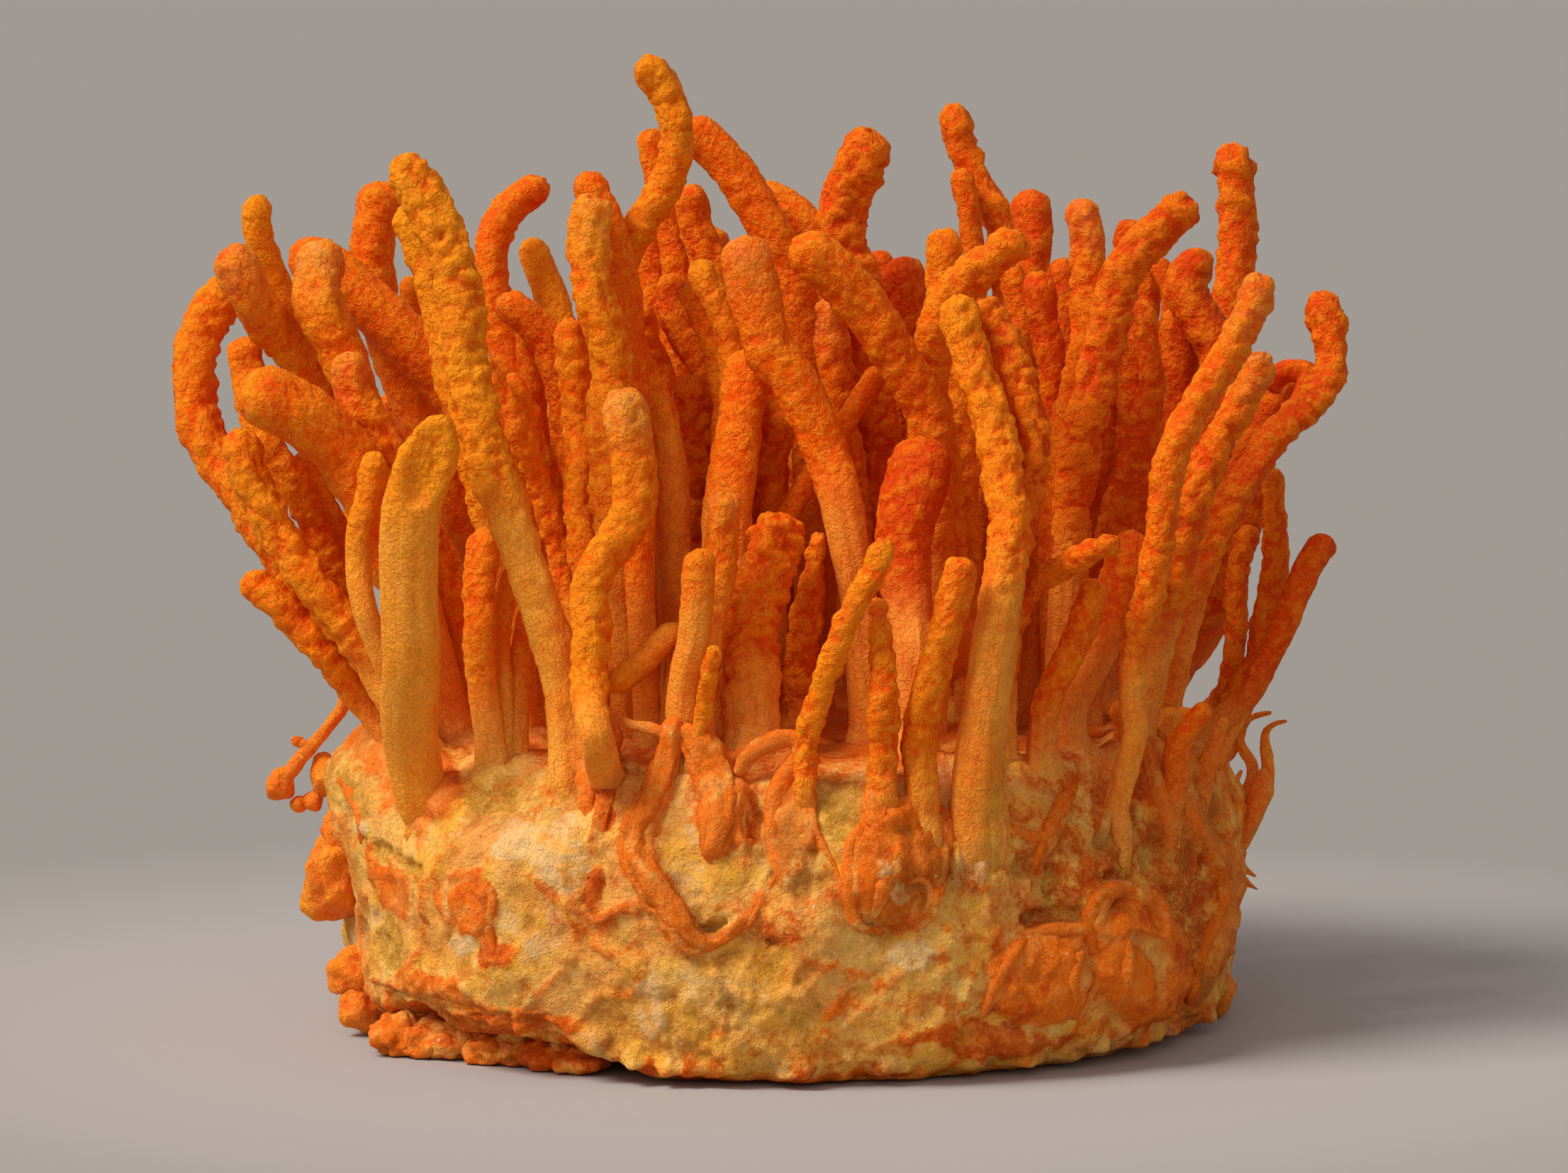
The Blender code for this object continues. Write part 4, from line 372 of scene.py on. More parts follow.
# Raised strips on the cake's front, where flesh runs down it: height, half width at the start, middle and
# end, how orange and how red, and their crest on the reading plane, x and z in turn
STRIPS = (
    (0.8, (2.3, 2.6, 1), 0.75, 0, (-33.7, 28, -33.5, 25, -33.2, 22.4, -32.6, 19.8, -31.9, 17)),
    (1.2, (1, 1.5, 0.9), 0.9, 0.35, (-30.9, 23.6, -30.3, 21.8, -29.9, 20, -30.6, 17.8)),
    (1.5, (1.7, 1.2, 0.5), 0.9, 0.15, (-18.3, 28, -18.1, 25.4, -17.9, 22.6, -17.5, 19.4)),
    (0.7, (0.6, 0.8, 0.5), 0.9, 0.6, (-14.9, 22.4, -15.4, 20.4, -16.1, 18, -16.8, 15.6)),
    (0.6, (0.5, 0.7, 0.4), 0.9, 0.8, (-16.4, 13.4, -16.8, 11.6, -17, 9.8, -16.2, 8.8)),
    (0.6, (0.4, 0.5, 0.4), 0.9, 0.6, (-18, 9.3, -16.4, 8.4, -14.6, 9.4, -13, 9.2)),
    (0.6, (0.4, 0.5, 0.4), 0.9, 0.5, (-17, 6.4, -15.6, 5.6, -14.2, 5.6, -13, 6.8)),
    (1.8, (1.2, 1.5, 1.7), 0.9, 0.05, (-10.3, 26.6, -10.4, 24.4, -10.6, 22.2, -11.3, 19.4, -12.7, 16.4,
     -12.7, 13.6, -11.2, 11, -9.7, 8.6, -8.1, 6.6)),
    (0.8, (0.7, 0.5, 0.5), 0.85, 0.2, (-8.1, 6.4, -5.9, 6.9, -3.3, 8.7, -1.7, 10.7, -1.1, 13.8)),
    (1, (0.5, 0.8, 0.6), 0.5, 0, (-15.9, 26.9, -13.8, 26.4, -12, 26, -10.8, 25.2)),
    (0.7, (0.5, 0.7, 0.4), 0.3, 0, (-14.9, 26.2, -13.9, 24, -13.4, 21.4, -13.9, 19)),
    (1.7, (1.3, 2, 1.7), 0.95, 0.25, (-8.2, 24.8, -6.6, 23.6, -5.5, 21.8, -5.3, 19.6, -5.9, 17.2,
     -6.2, 15.2)),
    (0.9, (0.6, 0.6, 0.5), 0.8, 0, (-4.3, 19.4, -4.5, 17.4, -4.1, 15.8, -3.4, 15.1)),
    (1.5, (0.7, 0.8, 0.8), 0.8, 0, (-4, 21.8, -3.3, 23, -2.3, 24.1, -0.6, 24.8, 1, 24.7, 2, 24, 2.4, 22.6)),
    (1.9, (1.6, 2, 2.3), 0.75, 0.1, (1, 23.8, 0.6, 21.4, 0.5, 18.4, 0.6, 15.4, 1.4, 12.2)),
    (0.6, (0.5, 0.7, 0.5), 0.5, 0.1, (-1.2, 15.4, -1.3, 12.6, -0.9, 9.6, -0.2, 7.8)),
    (0.7, (2.4, 2.6, 1.6), 0.4, 0.25, (2, 12.6, 3, 10.4, 4.2, 8)),
    (1.1, (0.5, 0.6, 0.5), 0.9, 0, (6.2, 16.2, 5.9, 13.4, 5.8, 10.6, 6.3, 8.2, 8, 7.4)),
    (1, (0.5, 0.7, 0.5), 0.9, 0.3, (7.6, 18.4, 9.6, 18.9, 12.8, 18.7, 14.2, 17, 14.2, 14.4, 13.6, 11.6,
     13, 9, 11.6, 7.7)),
    (0.7, (0.4, 0.4, 0.4), 0.6, 0, (10.6, 11.4, 11.8, 11.9, 12.8, 11, 13.1, 9.4, 12.2, 8.2)),
    (1.3, (0.7, 0.9, 0.9), 0.9, 0, (8.6, 27, 8.7, 23.6, 8.8, 20.4, 9, 18.2)),
    (0.8, (2.5, 2.5, 1.4), 0.35, 0, (18, 28, 17.4, 24.4, 17, 21, 17, 18)),
    (1.3, (0.5, 1, 0.8), 0.6, 0.3, (24.9, 19.2, 24.2, 17.8, 23.4, 16.2, 22.8, 14.2)),
    (0.8, (0.4, 0.6, 0.5), 0.4, 0.3, (18.8, 17.2, 20.2, 16.4, 21.8, 16.2, 23, 17)),
    (0.8, (0.5, 0.5, 0.5), 0.6, 0.6, (22.4, 16, 21.9, 13.8, 21.3, 11.6, 20.8, 10.2)),
    (1.7, (0.8, 0.9, 0.7), 0.85, 0, (29.8, 11.6, 28.3, 11.1, 27.5, 9.8, 27.3, 8, 27.9, 6.8)),
    (1, (0.7, 0.9, 0.7), 0.4, 0, (29.2, 7.2, 30.4, 6.6, 31.2, 4.8, 31.2, 2.6)),
    (1.1, (0.7, 0.8, 0.6), 0.9, 0, (25.6, 7.8, 25.4, 6, 25.9, 4, 25.2, 1.8)),
    (1, (0.5, 0.6, 0.6), 0.9, 0.05, (16.9, 0.2, 18, 2.2, 20.7, 6, 22.4, 7.2, 24.2, 7.7, 26.4, 7.6)),
    (1.3, (1.1, 1.1, 0.9), 0.8, 0.1, (31.6, 28, 32, 24.2, 32.7, 21.4, 33.6, 18.6, 34.5, 15.8)),
    (1.4, (1.2, 1, 0.9), 0.8, 0.15, (37.2, 27, 35.7, 24, 34.9, 20.6, 35.6, 17.6, 37.4, 15.2, 39, 12.8,
     39.3, 9.6, 38.6, 6.2, 37.4, 3, 36.2, 0.2)),
    (1.1, (0.7, 0.7, 0.6), 0.7, 0.2, (39.2, 25, 38, 22, 37.5, 19, 38.6, 16.4)),
    (1, (0.9, 0.8, 0.6), 0.6, 0.1, (29.2, 26, 28.8, 22.6, 28.9, 19, 28.4, 15.8)),
    (1, (0.6, 0.7, 0.5), 0.4, 0, (-31.6, 24.3, -28.6, 24.5, -25.4, 24.2, -22, 24.5, -19.6, 25.2)),
    (0.7, (0.5, 0.6, 0.5), 0.9, 0.4, (-36.2, 15.2, -36.4, 12.6, -35, 10.4, -33.6, 9.2, -33.3, 11.4,
     -34.2, 14)),
    (0.8, (0.5, 0.6, 0.5), 0.9, 0.5, (-29, 12.4, -26.6, 12.8, -25.8, 10.6, -26, 8.6, -26.6, 7.4, -26, 5.2,
     -24.4, 4.6)),
    (0.6, (0.5, 0.5, 0.5), 0.5, 0, (-38, 18.6, -37.6, 16, -38.2, 13.4, -37.4, 10.6, -38, 7.8)),
    (0.5, (0.5, 0.6, 0.5), 0.7, 0.3, (-22.6, 12.6, -20.4, 10.6, -18.4, 9.4)),
    (0.6, (0.5, 0.7, 0.5), 0.7, 0.4, (-36, 3, -32.6, 1.6, -29.4, 1.8, -26, 0.4, -22, -0.4)),
    (0.5, (0.5, 0.7, 0.5), 0, 0, (-12.6, 1.6, -12, -0.6, -10.4, -2.4)),
    (0.6, (0.5, 0.8, 0.5), 0.2, 0, (-4.8, 2.6, -2.2, 1.2, 0.6, 2.4, 2.8, 0.6)),
    (0.6, (0.5, 0.8, 0.6), 0.85, 0.7, (8, -2.6, 12, -1.6, 16, -0.6, 19, -1.4, 24, -2.6)),
)

# Patches on the cake's front: centre on the reading plane, half sizes, lean in degrees, height (below 0 for a
# hollow), and how orange, red, olive and pale they are. In the darkest hollows the red and olive tints are
# painted shade.
PATCHES = (
    ((-27.5, 9.7), (1.9, 2.6), -12, 0.7, 0.9, 0.2, 0, 0),
    ((-34.8, 12.2), (1.4, 3), 12, 0.3, 0.9, 0.1, 0, 0),
    ((-34.2, 14.1), (3, 0.8), 33, -0.8, 0, 0, 1, 0),
    ((-36.4, 19.6), (1.4, 2.4), 0, 0.3, 0, 0, 0.5, 0),
    ((-25.8, 19.6), (2.6, 1.4), 0, -0.5, 0, 0, 1, 0),
    ((-34.9, 6.4), (1.3, 2.4), 0, -0.3, 0, 0, 0.9, 0),
    ((-30.4, 20.2), (2, 2.8), 0, 0.6, 0.8, 0.4, 0, 0),
    ((-23, 15.4), (2.8, 1.6), -20, 0.2, 0, 0, 0, 0.9),
    ((-19.6, 14), (2.6, 4.4), 10, 0.4, 0, 0, 0.1, 0.6),
    ((-36.4, 16.4), (0.8, 0.7), 0, 0.2, 0, 0, 0, 1),
    ((-28.6, 6.4), (1.6, 1), -20, 0.3, 0, 0, 0, 1),
    ((-15.6, 18), (0.7, 2), -12, -0.3, 0.7, 0.9, 0, 0),
    ((-16.8, 11.4), (0.8, 1.8), 8, -0.4, 0.7, 0.9, 0, 0),
    ((-26.2, 5.8), (0.8, 1.6), 12, -0.2, 0.7, 0.8, 0, 0),
    ((-24.6, 5.6), (1.6, 0.8), 0, 0.2, 0.8, 0.5, 0, 0),
    ((-31, 2.6), (3.4, 1.2), 8, 0.3, 0.8, 0.3, 0, 0),
    ((-18, 22), (1.6, 3.2), -8, 0.7, 0.7, 0.4, 0, 0),
    ((-13.6, 5.2), (1.5, 3), -10, 0.3, 0.3, 0, 0.3, 0),
    ((-12, 0.4), (1.4, 2.6), -8, 0.3, 0, 0, 0, 1),
    ((-8.6, 13.4), (2.4, 4), 0, -0.5, 0, 0, 0.25, 0.3),
    ((-6.6, 7.6), (2.2, 0.8), -20, -0.9, 0, 0, 1, 0),
    ((-7.9, 21.8), (0.9, 0.7), 0, -1, 0.5, 1, 0, 0),
    # a dark hollow beside a ribbon: its red tint is painted shade
    ((-2.7, 18), (0.9, 2.4), 0, -1, 0.6, 1, 0, 0),
    ((-0.9, 6.6), (0.8, 0.5), 10, -0.7, 0, 1, 0.8, 0),
    ((0.8, 10), (2.6, 4.4), 0, 0.3, 0.5, 0.3, 0.1, 0),
    ((4.8, 18.6), (2.6, 3.2), 0, 0.2, 0, 0, 0.9, 0),
    ((10, 13.2), (4.2, 5.8), 6, 1.5, 1, 0.25, 0, 0),
    ((9.2, 11.8), (0.9, 2.6), -30, 0.5, 0.3, 0, 0, 0.8),
    ((11.9, 9.9), (1.1, 1.3), 0, 0.4, 0.9, 0.5, 0, 0),
    # the dark crescent beside the orange lobe's folded rim: its red tint is painted shade
    ((14.6, 13.8), (0.45, 1.7), 8, -1.6, 0.5, 1, 0.3, 0),
    ((11.4, 5.4), (2.2, 1.5), 0, 0.2, 0, 0, 0.3, 1),
    ((16.6, 13.4), (1.2, 2.4), 0, 0.2, 0, 0, 0.2, 0.9),
    ((23.8, 12.2), (0.7, 1.8), 6, -0.6, 0.7, 1, 0, 0),
    ((21.5, 12.4), (0.5, 1.3), 12, -0.4, 0.5, 0.9, 0, 0),
    ((29.4, 12.6), (1, 0.7), 0, -1, 0.4, 1, 0.3, 0),
    # the cavity above the fold lobe: its red and olive tints are painted shade
    ((24.2, 8.8), (3.6, 0.9), -4, -1.6, 0.2, 0.8, 0.8, 0),
    ((22.4, 17.4), (3, 2.4), 0, 0.5, 0.3, 0.2, 0, 0.2),
    ((31.2, 5.4), (4.3, 5.9), 8, 2.6, 1, 0, 0, 0),
    ((22.2, 3.2), (4.8, 4), -18, 1.8, 1, 0.15, 0, 0),
    ((34, 10.2), (0.7, 1.2), 20, -0.8, 0, 0.8, 0.9, 0),
    ((26, 11), (3.2, 2.6), 0, -0.4, 0.2, 0.3, 0.7, 0),
    ((31.4, 20.8), (1, 1.6), 0, -0.9, 0.6, 1, 0, 0),
    ((35.6, 19.6), (3.4, 3.6), 0, 0.3, 0.5, 0.5, 0.2, 0.2),
    ((36.8, 9), (1.2, 3.6), 0, -0.4, 0.4, 0.8, 0.4, 0),
    ((18, -2.2), (5, 1.6), 6, 0.4, 0.8, 0.6, 0, 0),
    ((-24, -2), (7, 1.6), -4, 0.4, 0.8, 0.5, 0, 0),
    ((2, -3.2), (9, 1.6), 4, 0.2, 0.3, 0, 0.3, 0),
    ((-4, 2), (4, 2), 10, 0.2, 0.1, 0, 0.5, 0.2),
)

# Broad washes of colour on the cake's front: centre on the reading plane, half sizes, and how orange and red.
# The washes at x 28 and 37 on the right are partly the cake's own orange and partly painted shade on that
# side.
WASHES = (
    ((-2, 20), (13, 8), 0.5, 0.12),
    ((28, 12), (11, 13), 0.62, 0.42),
    ((37, 14), (6, 16), 0.75, 0.55),
    ((1, 9), (8, 6), 0.4, 0.2),
    ((4, 9), (5, 4), 0.45, 0.1),
    ((-29, 0.5), (9, 3.6), 0.55, 0.15),
    ((-17, 9), (5, 4.5), 0.4, 0.25),
    ((14, 1), (12, 4), 0.35, 0.1),
)

# Lobes that hang on the cake: centre, half sizes, lean about the line of sight, and tone from -2 to 2
LOBES = (
    ((-39.7, -4, 12.9), (2.75, 3.2, 3.7), 0, 0.9),
    ((-39.5, -4, 16.9), (1.7, 2.2, 2.1), -8, 0.6),
    ((-37.8, -9, 5.4), (2, 2.4, 2.2), 0, 0.8),
    ((-37, -9.5, 2.4), (1.8, 2.4, 2), -10, 0.5),
    ((-44.4, -3, 20.9), (1.2, 1.2, 1.55), -27, 0.1),
    ((-42.8, -2.8, 19.4), (0.8, 0.8, 0.7), 0, -0.4),
    ((-41.5, -2.8, 19.5), (0.9, 1.2, 0.9), 0, -0.1),
    ((-42.8, -2.8, 24.95), (0.65, 0.6, 0.52), 20, 0),
    ((-40.6, -2.6, 21.6), (1.3, 1.8, 1.8), 8, 0.4),
    ((39.4, -2, 12.3), (1.3, 1.4, 1.5), -20, -0.6),
    ((39.2, -2, 9.2), (1.2, 1.8, 1.4), -14, -0.5),
    ((38.6, -2.6, 6.9), (1.3, 1.8, 1.4), 10, -0.4),
    ((38.2, 0.5, 2.7), (1.6, 2.6, 2.6), -14, -0.5),
    ((41.6, -1, 18.9), (0.95, 1.3, 3.4), 15, -0.4),
    ((37.4, -1, 0.9), (0.9, 1.2, 0.8), 0, -0.9),
    ((33.9, -9.6, 26.6), (2.1, 2.1, 1.9), -20, 0.4),
    ((-24, 30, 11), (3.2, 2.6, 4.4), 15, 0),
    ((5.5, 37.8, 8), (4.6, 2.2, 3.4), -10, 0.2),
    ((29.5, 25, 14.5), (2.8, 2.8, 4.8), -8, -0.2),
    ((-12, 35.4, 3.6), (3, 2.2, 2), 20, -0.4),
    ((17, 33.6, 1.9), (2.6, 2.2, 1.5), 0, -0.6),
)

# Stalks, horns and curled blades on the cake: radii at start, middle and end, how flat they are, tone, and
# their points, x, y and z in turn
BLADES = (
    ((0.85, 0.62, 0.6), 1, 0.3, (-44.8, -3, 21.2, -43.6, -3, 22.1, -42.45, -3, 23.5, -41.2, -3, 24.95,
     -40, -3, 26.3, -38.9, -3, 27.7, -38.4, -3, 29.4, -37.2, -3.2, 30.4)),
    ((0.5, 0.5, 0.5), 1, 0.2, (-42.6, -2.8, 24.8, -42, -2.8, 24.4, -41.4, -2.8, 24.4)),
    ((0.12, 0.6, 0.9), 0.6, -0.1, (44.5, 1, 26.2, 43.3, 1, 25.9, 42.6, 1, 24.9, 42.8, 0.9, 23, 42.8, 0.8, 21,
     42.1, 0.6, 18.8, 41, 0.4, 16.4, 39.6, 0.2, 14.6)),
    ((0.12, 0.42, 0.7), 0.6, -0.6, (43.3, 4, 26.6, 42.2, 4, 26.4, 41.2, 3.8, 25.8, 40.6, 3.6, 24.6,
     40.9, 3.4, 23.2, 41.6, 3, 22.1, 41.4, 2.6, 20.2, 40, 2.2, 18)),
    ((0.1, 0.5, 0.8), 0.6, -0.8, (41.9, 4, 27.6, 41.2, 4, 26.2, 40, 4, 23.4, 37.6, 3.6, 21.4)),
    ((0.15, 0.6, 1), 0.6, -0.7, (41.8, -2, 11.6, 40.4, -2, 12.6, 38.8, -2, 14.6, 37, -2, 15.6)),
    ((0.12, 0.5, 0.8), 0.6, -0.6, (41.4, -5, 13.2, 40, -5, 14.2, 38.2, -5, 16.4)),
    ((0.3, 0.9, 1.3), 0.55, 0.3, (41.6, -3, 29, 40, -3.2, 27, 38.4, -3.6, 24.6, 36.9, -4, 21.6,
     36, -4.4, 18.4)),
    ((0.3, 0.8, 1.2), 0.6, 0.1, (38.4, -9, 27.6, 37.4, -9.2, 25.2, 36.4, -9.6, 22.2, 35.6, -10, 19)),
    ((0.25, 0.6, 0.9), 0.6, 0.4, (35, -13.5, 24.6, 34.6, -14, 22.4, 34.6, -14.6, 19.6, 35, -14.4, 16.8)),
    ((0.2, 0.6, 0.8), 0.6, -0.3, (40.4, -1, 22, 39.4, -1.6, 20.2, 38.4, -2.4, 17.6, 38.6, -3, 14.6)),
    ((0.2, 0.7, 1), 0.6, -0.3, (-30, 27.6, 27.2, -29.4, 27, 25.2, -29, 26.4, 22.4, -29.8, 25.6, 19)),
    ((0.2, 0.8, 1.1), 0.6, 0.2, (14, 34.6, 27.6, 14.4, 34.8, 25, 14, 35.2, 21.4, 12.4, 36, 17.6)),
    ((0.2, 0.7, 1), 0.6, 0, (-8, 36.6, 24.8, -7.4, 37, 21.6, -8.4, 37.6, 17, -7.6, 38, 13)),
)

# Ribbons of flesh that run down the cake's front: how flat, tone, how pale, which also sets the strength of
# their painted highlight, and their points on the reading plane, x, z and half width in turn
RIBBONS = (
    (0.7, -0.2, 0.5, (-39.6, 21.2, 0.4, -38.4, 19.6, 0.55, -37.6, 18, 0.6, -37.5, 15.4, 0.35)),
    (0.6, 0.3, 0.9, (-16.9, 25.5, 1.7, -16.9, 23, 1.8, -17.2, 20.8, 1.4, -17.4, 19.2, 0.9,
     -17.4, 17.6, 0.3)),
    (0.5, -0.7, 0.2, (-15.3, 21.9, 0.35, -15.9, 19, 0.65, -16.7, 15.8, 0.4)),
    (0.75, 0.1, 0.6, (-9.9, 26.2, 0.8, -10.5, 22.5, 1.05, -11.9, 19.2, 1.2, -13.3, 16.4, 1.3,
     -13.3, 14.1, 1.3, -11.9, 11.6, 1.4, -10.2, 9.4, 1.3, -8.8, 7.2, 1.05, -6.9, 6.3, 0.6, -5.2, 6.9, 0.35,
     -3.2, 8.3, 0.28, -1.8, 10.2, 0.25, -1, 12.2, 0.2)),
    (0.6, 0.8, 1, (-15.5, 27.2, 0.3, -14.6, 26.4, 0.5, -13.4, 25.9, 0.5, -11.6, 25.6, 0.5,
     -10.3, 24.8, 0.4)),
    (0.6, 0, 0.6, (-8.9, 25.4, 0.9, -7.2, 23.7, 1.5, -6.2, 21.4, 1.8, -5.7, 19.2, 1.6, -6, 16.9, 1.6,
     -6.4, 14.8, 1, -6.6, 13.7, 0.3)),
    (0.7, 0.3, 0.8, (-5.2, 19.6, 0.6, -4.5, 17.6, 0.5, -4.1, 16, 0.5, -3.4, 15.2, 0.55, -2.9, 15.7, 0.3)),
    (0.85, 0.3, 0.7, (-4.2, 21.6, 0.4, -3.4, 22.9, 0.65, -2.2, 24, 0.7, -0.4, 24.8, 0.65, 1.1, 24.7, 0.65,
     1.5, 23.7, 0.75, 0.8, 22.3, 0.8, -0.2, 20.8, 0.8, -0.9, 19, 0.75, -1.1, 17, 0.65, -0.8, 14.4, 0.5,
     -0.3, 11.6, 0.3)),
    (0.7, 0, 0.6, (1.9, 23.4, 0.5, 2.1, 20.4, 0.6, 2.6, 17, 0.55, 3.8, 14.4, 0.5, 5.2, 11.4, 0.45,
     6, 8.6, 0.3)),
    (0.75, -0.1, 0.5, (8.8, 27, 0.9, 8.8, 23, 1, 8.6, 20.4, 1.2, 8.2, 18.4, 1.4, 8.1, 16.6, 0.7)),
    (0.7, -0.1, 0.4, (7.5, 17.4, 0.5, 6.1, 15.2, 0.6, 5.8, 11.6, 0.6, 6.6, 8.1, 0.5, 8.8, 7.6, 0.35)),
    (0.7, 1.6, 1, (10.2, 14.4, 0.3, 9.7, 12.8, 0.7, 8.7, 11, 0.75, 7.8, 8.8, 0.35)),
    (0.7, -0.7, 0.3, (11, 19.2, 0.4, 13.4, 18.6, 0.5, 14.6, 17.1, 0.5, 14.5, 14.3, 0.5, 13.7, 11.1, 0.45,
     13, 9, 0.3)),
    (0.8, 0.6, 0.8, (11, 12, 0.25, 12.4, 12.2, 0.35, 13, 10.8, 0.35, 12.4, 9.2, 0.35, 11.4, 8.2, 0.25)),
    (0.7, -0.5, 0.1, (26.1, 21.6, 0.12, 25.5, 20.2, 0.5, 24.8, 18.7, 0.75, 23.8, 17, 0.75, 22.9, 15, 0.5,
     21.9, 12.6, 0.25)),
    (0.7, 0.3, 0.8, (19.2, 17.3, 0.3, 20.8, 16.5, 0.45, 22.8, 16, 0.5, 24.6, 17.2, 0.5, 25.6, 18.4, 0.3)),
    (0.75, 0.5, 0.9, (30.5, 27.5, 1, 30.6, 24.5, 0.9, 30, 22, 0.8, 29.6, 20, 0.6, 29.4, 18, 0.3)),
    (0.75, 0.6, 1, (31.8, 27, 0.8, 32.3, 24.5, 0.8, 33, 21.4, 0.8, 33.9, 18.4, 0.9, 34.5, 15.6, 0.7,
     34.3, 14.6, 0.3)),
    (0.75, -0.3, 0.4, (36.6, 26.5, 0.8, 35.6, 23.6, 0.8, 35.4, 21, 0.8, 35.9, 18.2, 0.8, 37.3, 15.4, 0.9,
     38.9, 12.6, 0.9, 39, 10.4, 0.8, 38.4, 8.4, 0.8, 37.6, 6.2, 0.7, 36.6, 3, 0.5, 36.2, 1, 0.3)),
    (0.75, 0.3, 0.8, (39.6, 25.5, 0.4, 39.2, 22.6, 0.5, 38.9, 20.4, 0.5, 39.5, 17.6, 0.3)),
    (0.75, -0.6, 0.3, (37.6, 24.8, 0.5, 37.9, 21.6, 0.6, 37, 18.6, 0.6, 36.4, 16, 0.4)),
    (0.8, 0.4, 0.6, (20.4, 7, 0.3, 22.4, 7.5, 0.5, 25, 7.6, 0.55, 27, 7.6, 0.5, 27.6, 6.4, 0.4)),
    (0.7, 0.3, 0.5, (26.8, 6.6, 0.4, 26, 4.6, 0.6, 25.7, 2.4, 0.6, 26, -0.3, 0.35)),
    (0.85, 0.2, 0.5, (27.6, 5.6, 0.4, 27.2, 8.3, 0.65, 27.8, 10.2, 0.75, 29.3, 11.2, 0.8, 31.2, 10.8, 0.75,
     32.8, 9.2, 0.6, 34.5, 7.6, 0.55, 35.1, 5.1, 0.5, 34.9, 1.4, 0.3)),
    (0.7, 0.8, 0.9, (29.6, 8.2, 0.35, 30.5, 6.2, 0.6, 30.7, 3.8, 0.6, 30.1, 1.2, 0.35)),
    (0.7, 1, 1, (28.2, 3.4, 0.25, 26.9, 1.2, 0.35, 25.8, -1.6, 0.25)),
    (0.7, 0.2, 0.7, (-26.6, 11.8, 0.3, -25.9, 10.2, 0.4, -26.3, 8.2, 0.4, -25.9, 5.4, 0.3)),
    (0.8, 0.1, 0.5, (17.6, -0.2, 0.3, 18.8, 2.6, 0.5, 20.4, 5.2, 0.5, 21.6, 6.8, 0.4)),
)

# Where the ribbons stand upright instead of following the cake: outside this reach from the axis; how deep
# they lie in the cake, as a share of their half width, how much deeper at their ends, and the spacing of
# their lines
RIBBON_REACH = 34.5
RIBBON_SUNK = 0.35
RIBBON_END = 0.5
RIBBON_STEP = 0.4

# The lowest that a lobe or a crumb reaches, and the rows and columns of a crumb's grid
LOWEST = 0.05
CRUMB_GRID = (34, 48)

# Crumbs under the cake's left edge: place on the reading plane, depth, half sizes, and how orange and red
CRUMBS = (
    ((-34.5, -2), -19.5, (2.3, 1.9), 0.75, 0.1),
    ((-31.9, -2.4), -20.5, (2.2, 1.5), 0.7, 0.2),
    ((-29.6, -2.8), -21.5, (2.2, 1.3), 0.6, 0.3),
    ((-25.9, -3.2), -24, (2.4, 1.5), 0.7, 0.15),
    ((-23.4, -3.3), -25, (2.2, 1.5), 0.6, 0.4),
    ((-20.9, -3.6), -26.6, (2.4, 1.6), 0.8, 0.5),
    ((-18, -4.1), -28.6, (2.6, 1.1), 0.7, 0.5),
    ((-33.2, -0.9), -17.5, (2.4, 1.8), 0.5, 0.3),
    ((-29.9, -1.2), -19, (2.6, 1.8), 0.4, 0.4),
    ((-26.6, -1.8), -21.5, (2.6, 1.8), 0.4, 0.5),
    ((-23, -2.3), -23.5, (2.8, 1.8), 0.4, 0.5),
    ((-19.4, -2.9), -25.6, (2.8, 1.6), 0.4, 0.5),
)

# Bulges of the cake beyond the solid's plain form: centre, half sizes and height
BULGES = (
    ((-37.5, -3, 22.4), (6, 11, 5), 4.6),
    ((38, -4, 19), (6, 9, 6), 1.2),
)

# Clubs that show only between the others: depth, radius, tone, and their line on the reading plane from the
# tip down, x and z in turn
INNER_CLUBS = (
    (14, 1.9, -0.8, (35, 62, 34.8, 57, 34, 50, 31.5, 40, 26.5, 26)),
    (8, 1.7, -0.8, (44.4, 56.3, 42.6, 53, 40, 48, 36.6, 40, 30, 25.5)),
    (18, 1.4, -0.6, (30.6, 60.5, 30.5, 55, 29.6, 48, 27, 36, 24, 27)),
    (18, 1.3, -0.6, (-22.4, 61, -22.2, 56, -21.4, 48, -19, 36, -16, 27)),
    (16, 1.3, -0.4, (-11.8, 69.5, -11.6, 64, -11, 54, -9, 40, -8, 28)),
    (10, 1.2, -0.5, (-29.2, 45, -28.6, 40, -26.6, 33, -25, 27)),
    (20, 1, -0.6, (32.2, 66.6, 31.9, 62, 31, 55, 28, 40, 25, 28)),
    (14, 1.1, -0.2, (-32.8, 65, -32.2, 60, -30.4, 52, -27, 40, -23, 28)),
    (4, 1.2, -1, (41.6, 48, 41, 44, 38.4, 37, 31.5, 24.5)),
    (12, 1.3, -0.9, (-9.6, 62.5, -9.4, 58, -9, 50, -8, 38, -7, 27)),
    (6, 1.3, -0.9, (-1.3, 60, -1.1, 55.2, -0.8, 46, 0, 34, 0.4, 26)),
    (14, 1.1, -0.6, (-17.2, 62, -17.1, 57.5, -16.4, 48, -14.6, 36, -13, 27)),
)


def noise(points, size, seed=0):
    """Smooth noise from about -1 to 1, with features of the given size.

    Each corner of a lattice of that size holds a slope in a scrambled direction. The eight corners' slopes
    around a point are blended by smooth steps between the corners.
    """
    spot = np.asarray(points) / size
    low = np.floor(spot)
    part = spot - low
    low = low.astype(np.int64)
    ease = part ** 3 * (part * (part * 6 - 15) + 10)
    total = np.zeros(spot.shape[:-1])
    for corner in np.ndindex(2, 2, 2):
        slope = scrambled(low + corner, seed) / 511.5 - 1
        weight = np.prod(np.where(corner, ease, 1 - ease), axis=-1)
        total += weight * ((part - corner) * slope).sum(axis=-1)
    return 1.5 * total


def layered(points, seed, *layers):
    """A sum of layers of noise, each with how far it stands out and its size."""
    return sum(amount * noise(points, size, seed + k) for k, (amount, size) in enumerate(layers))


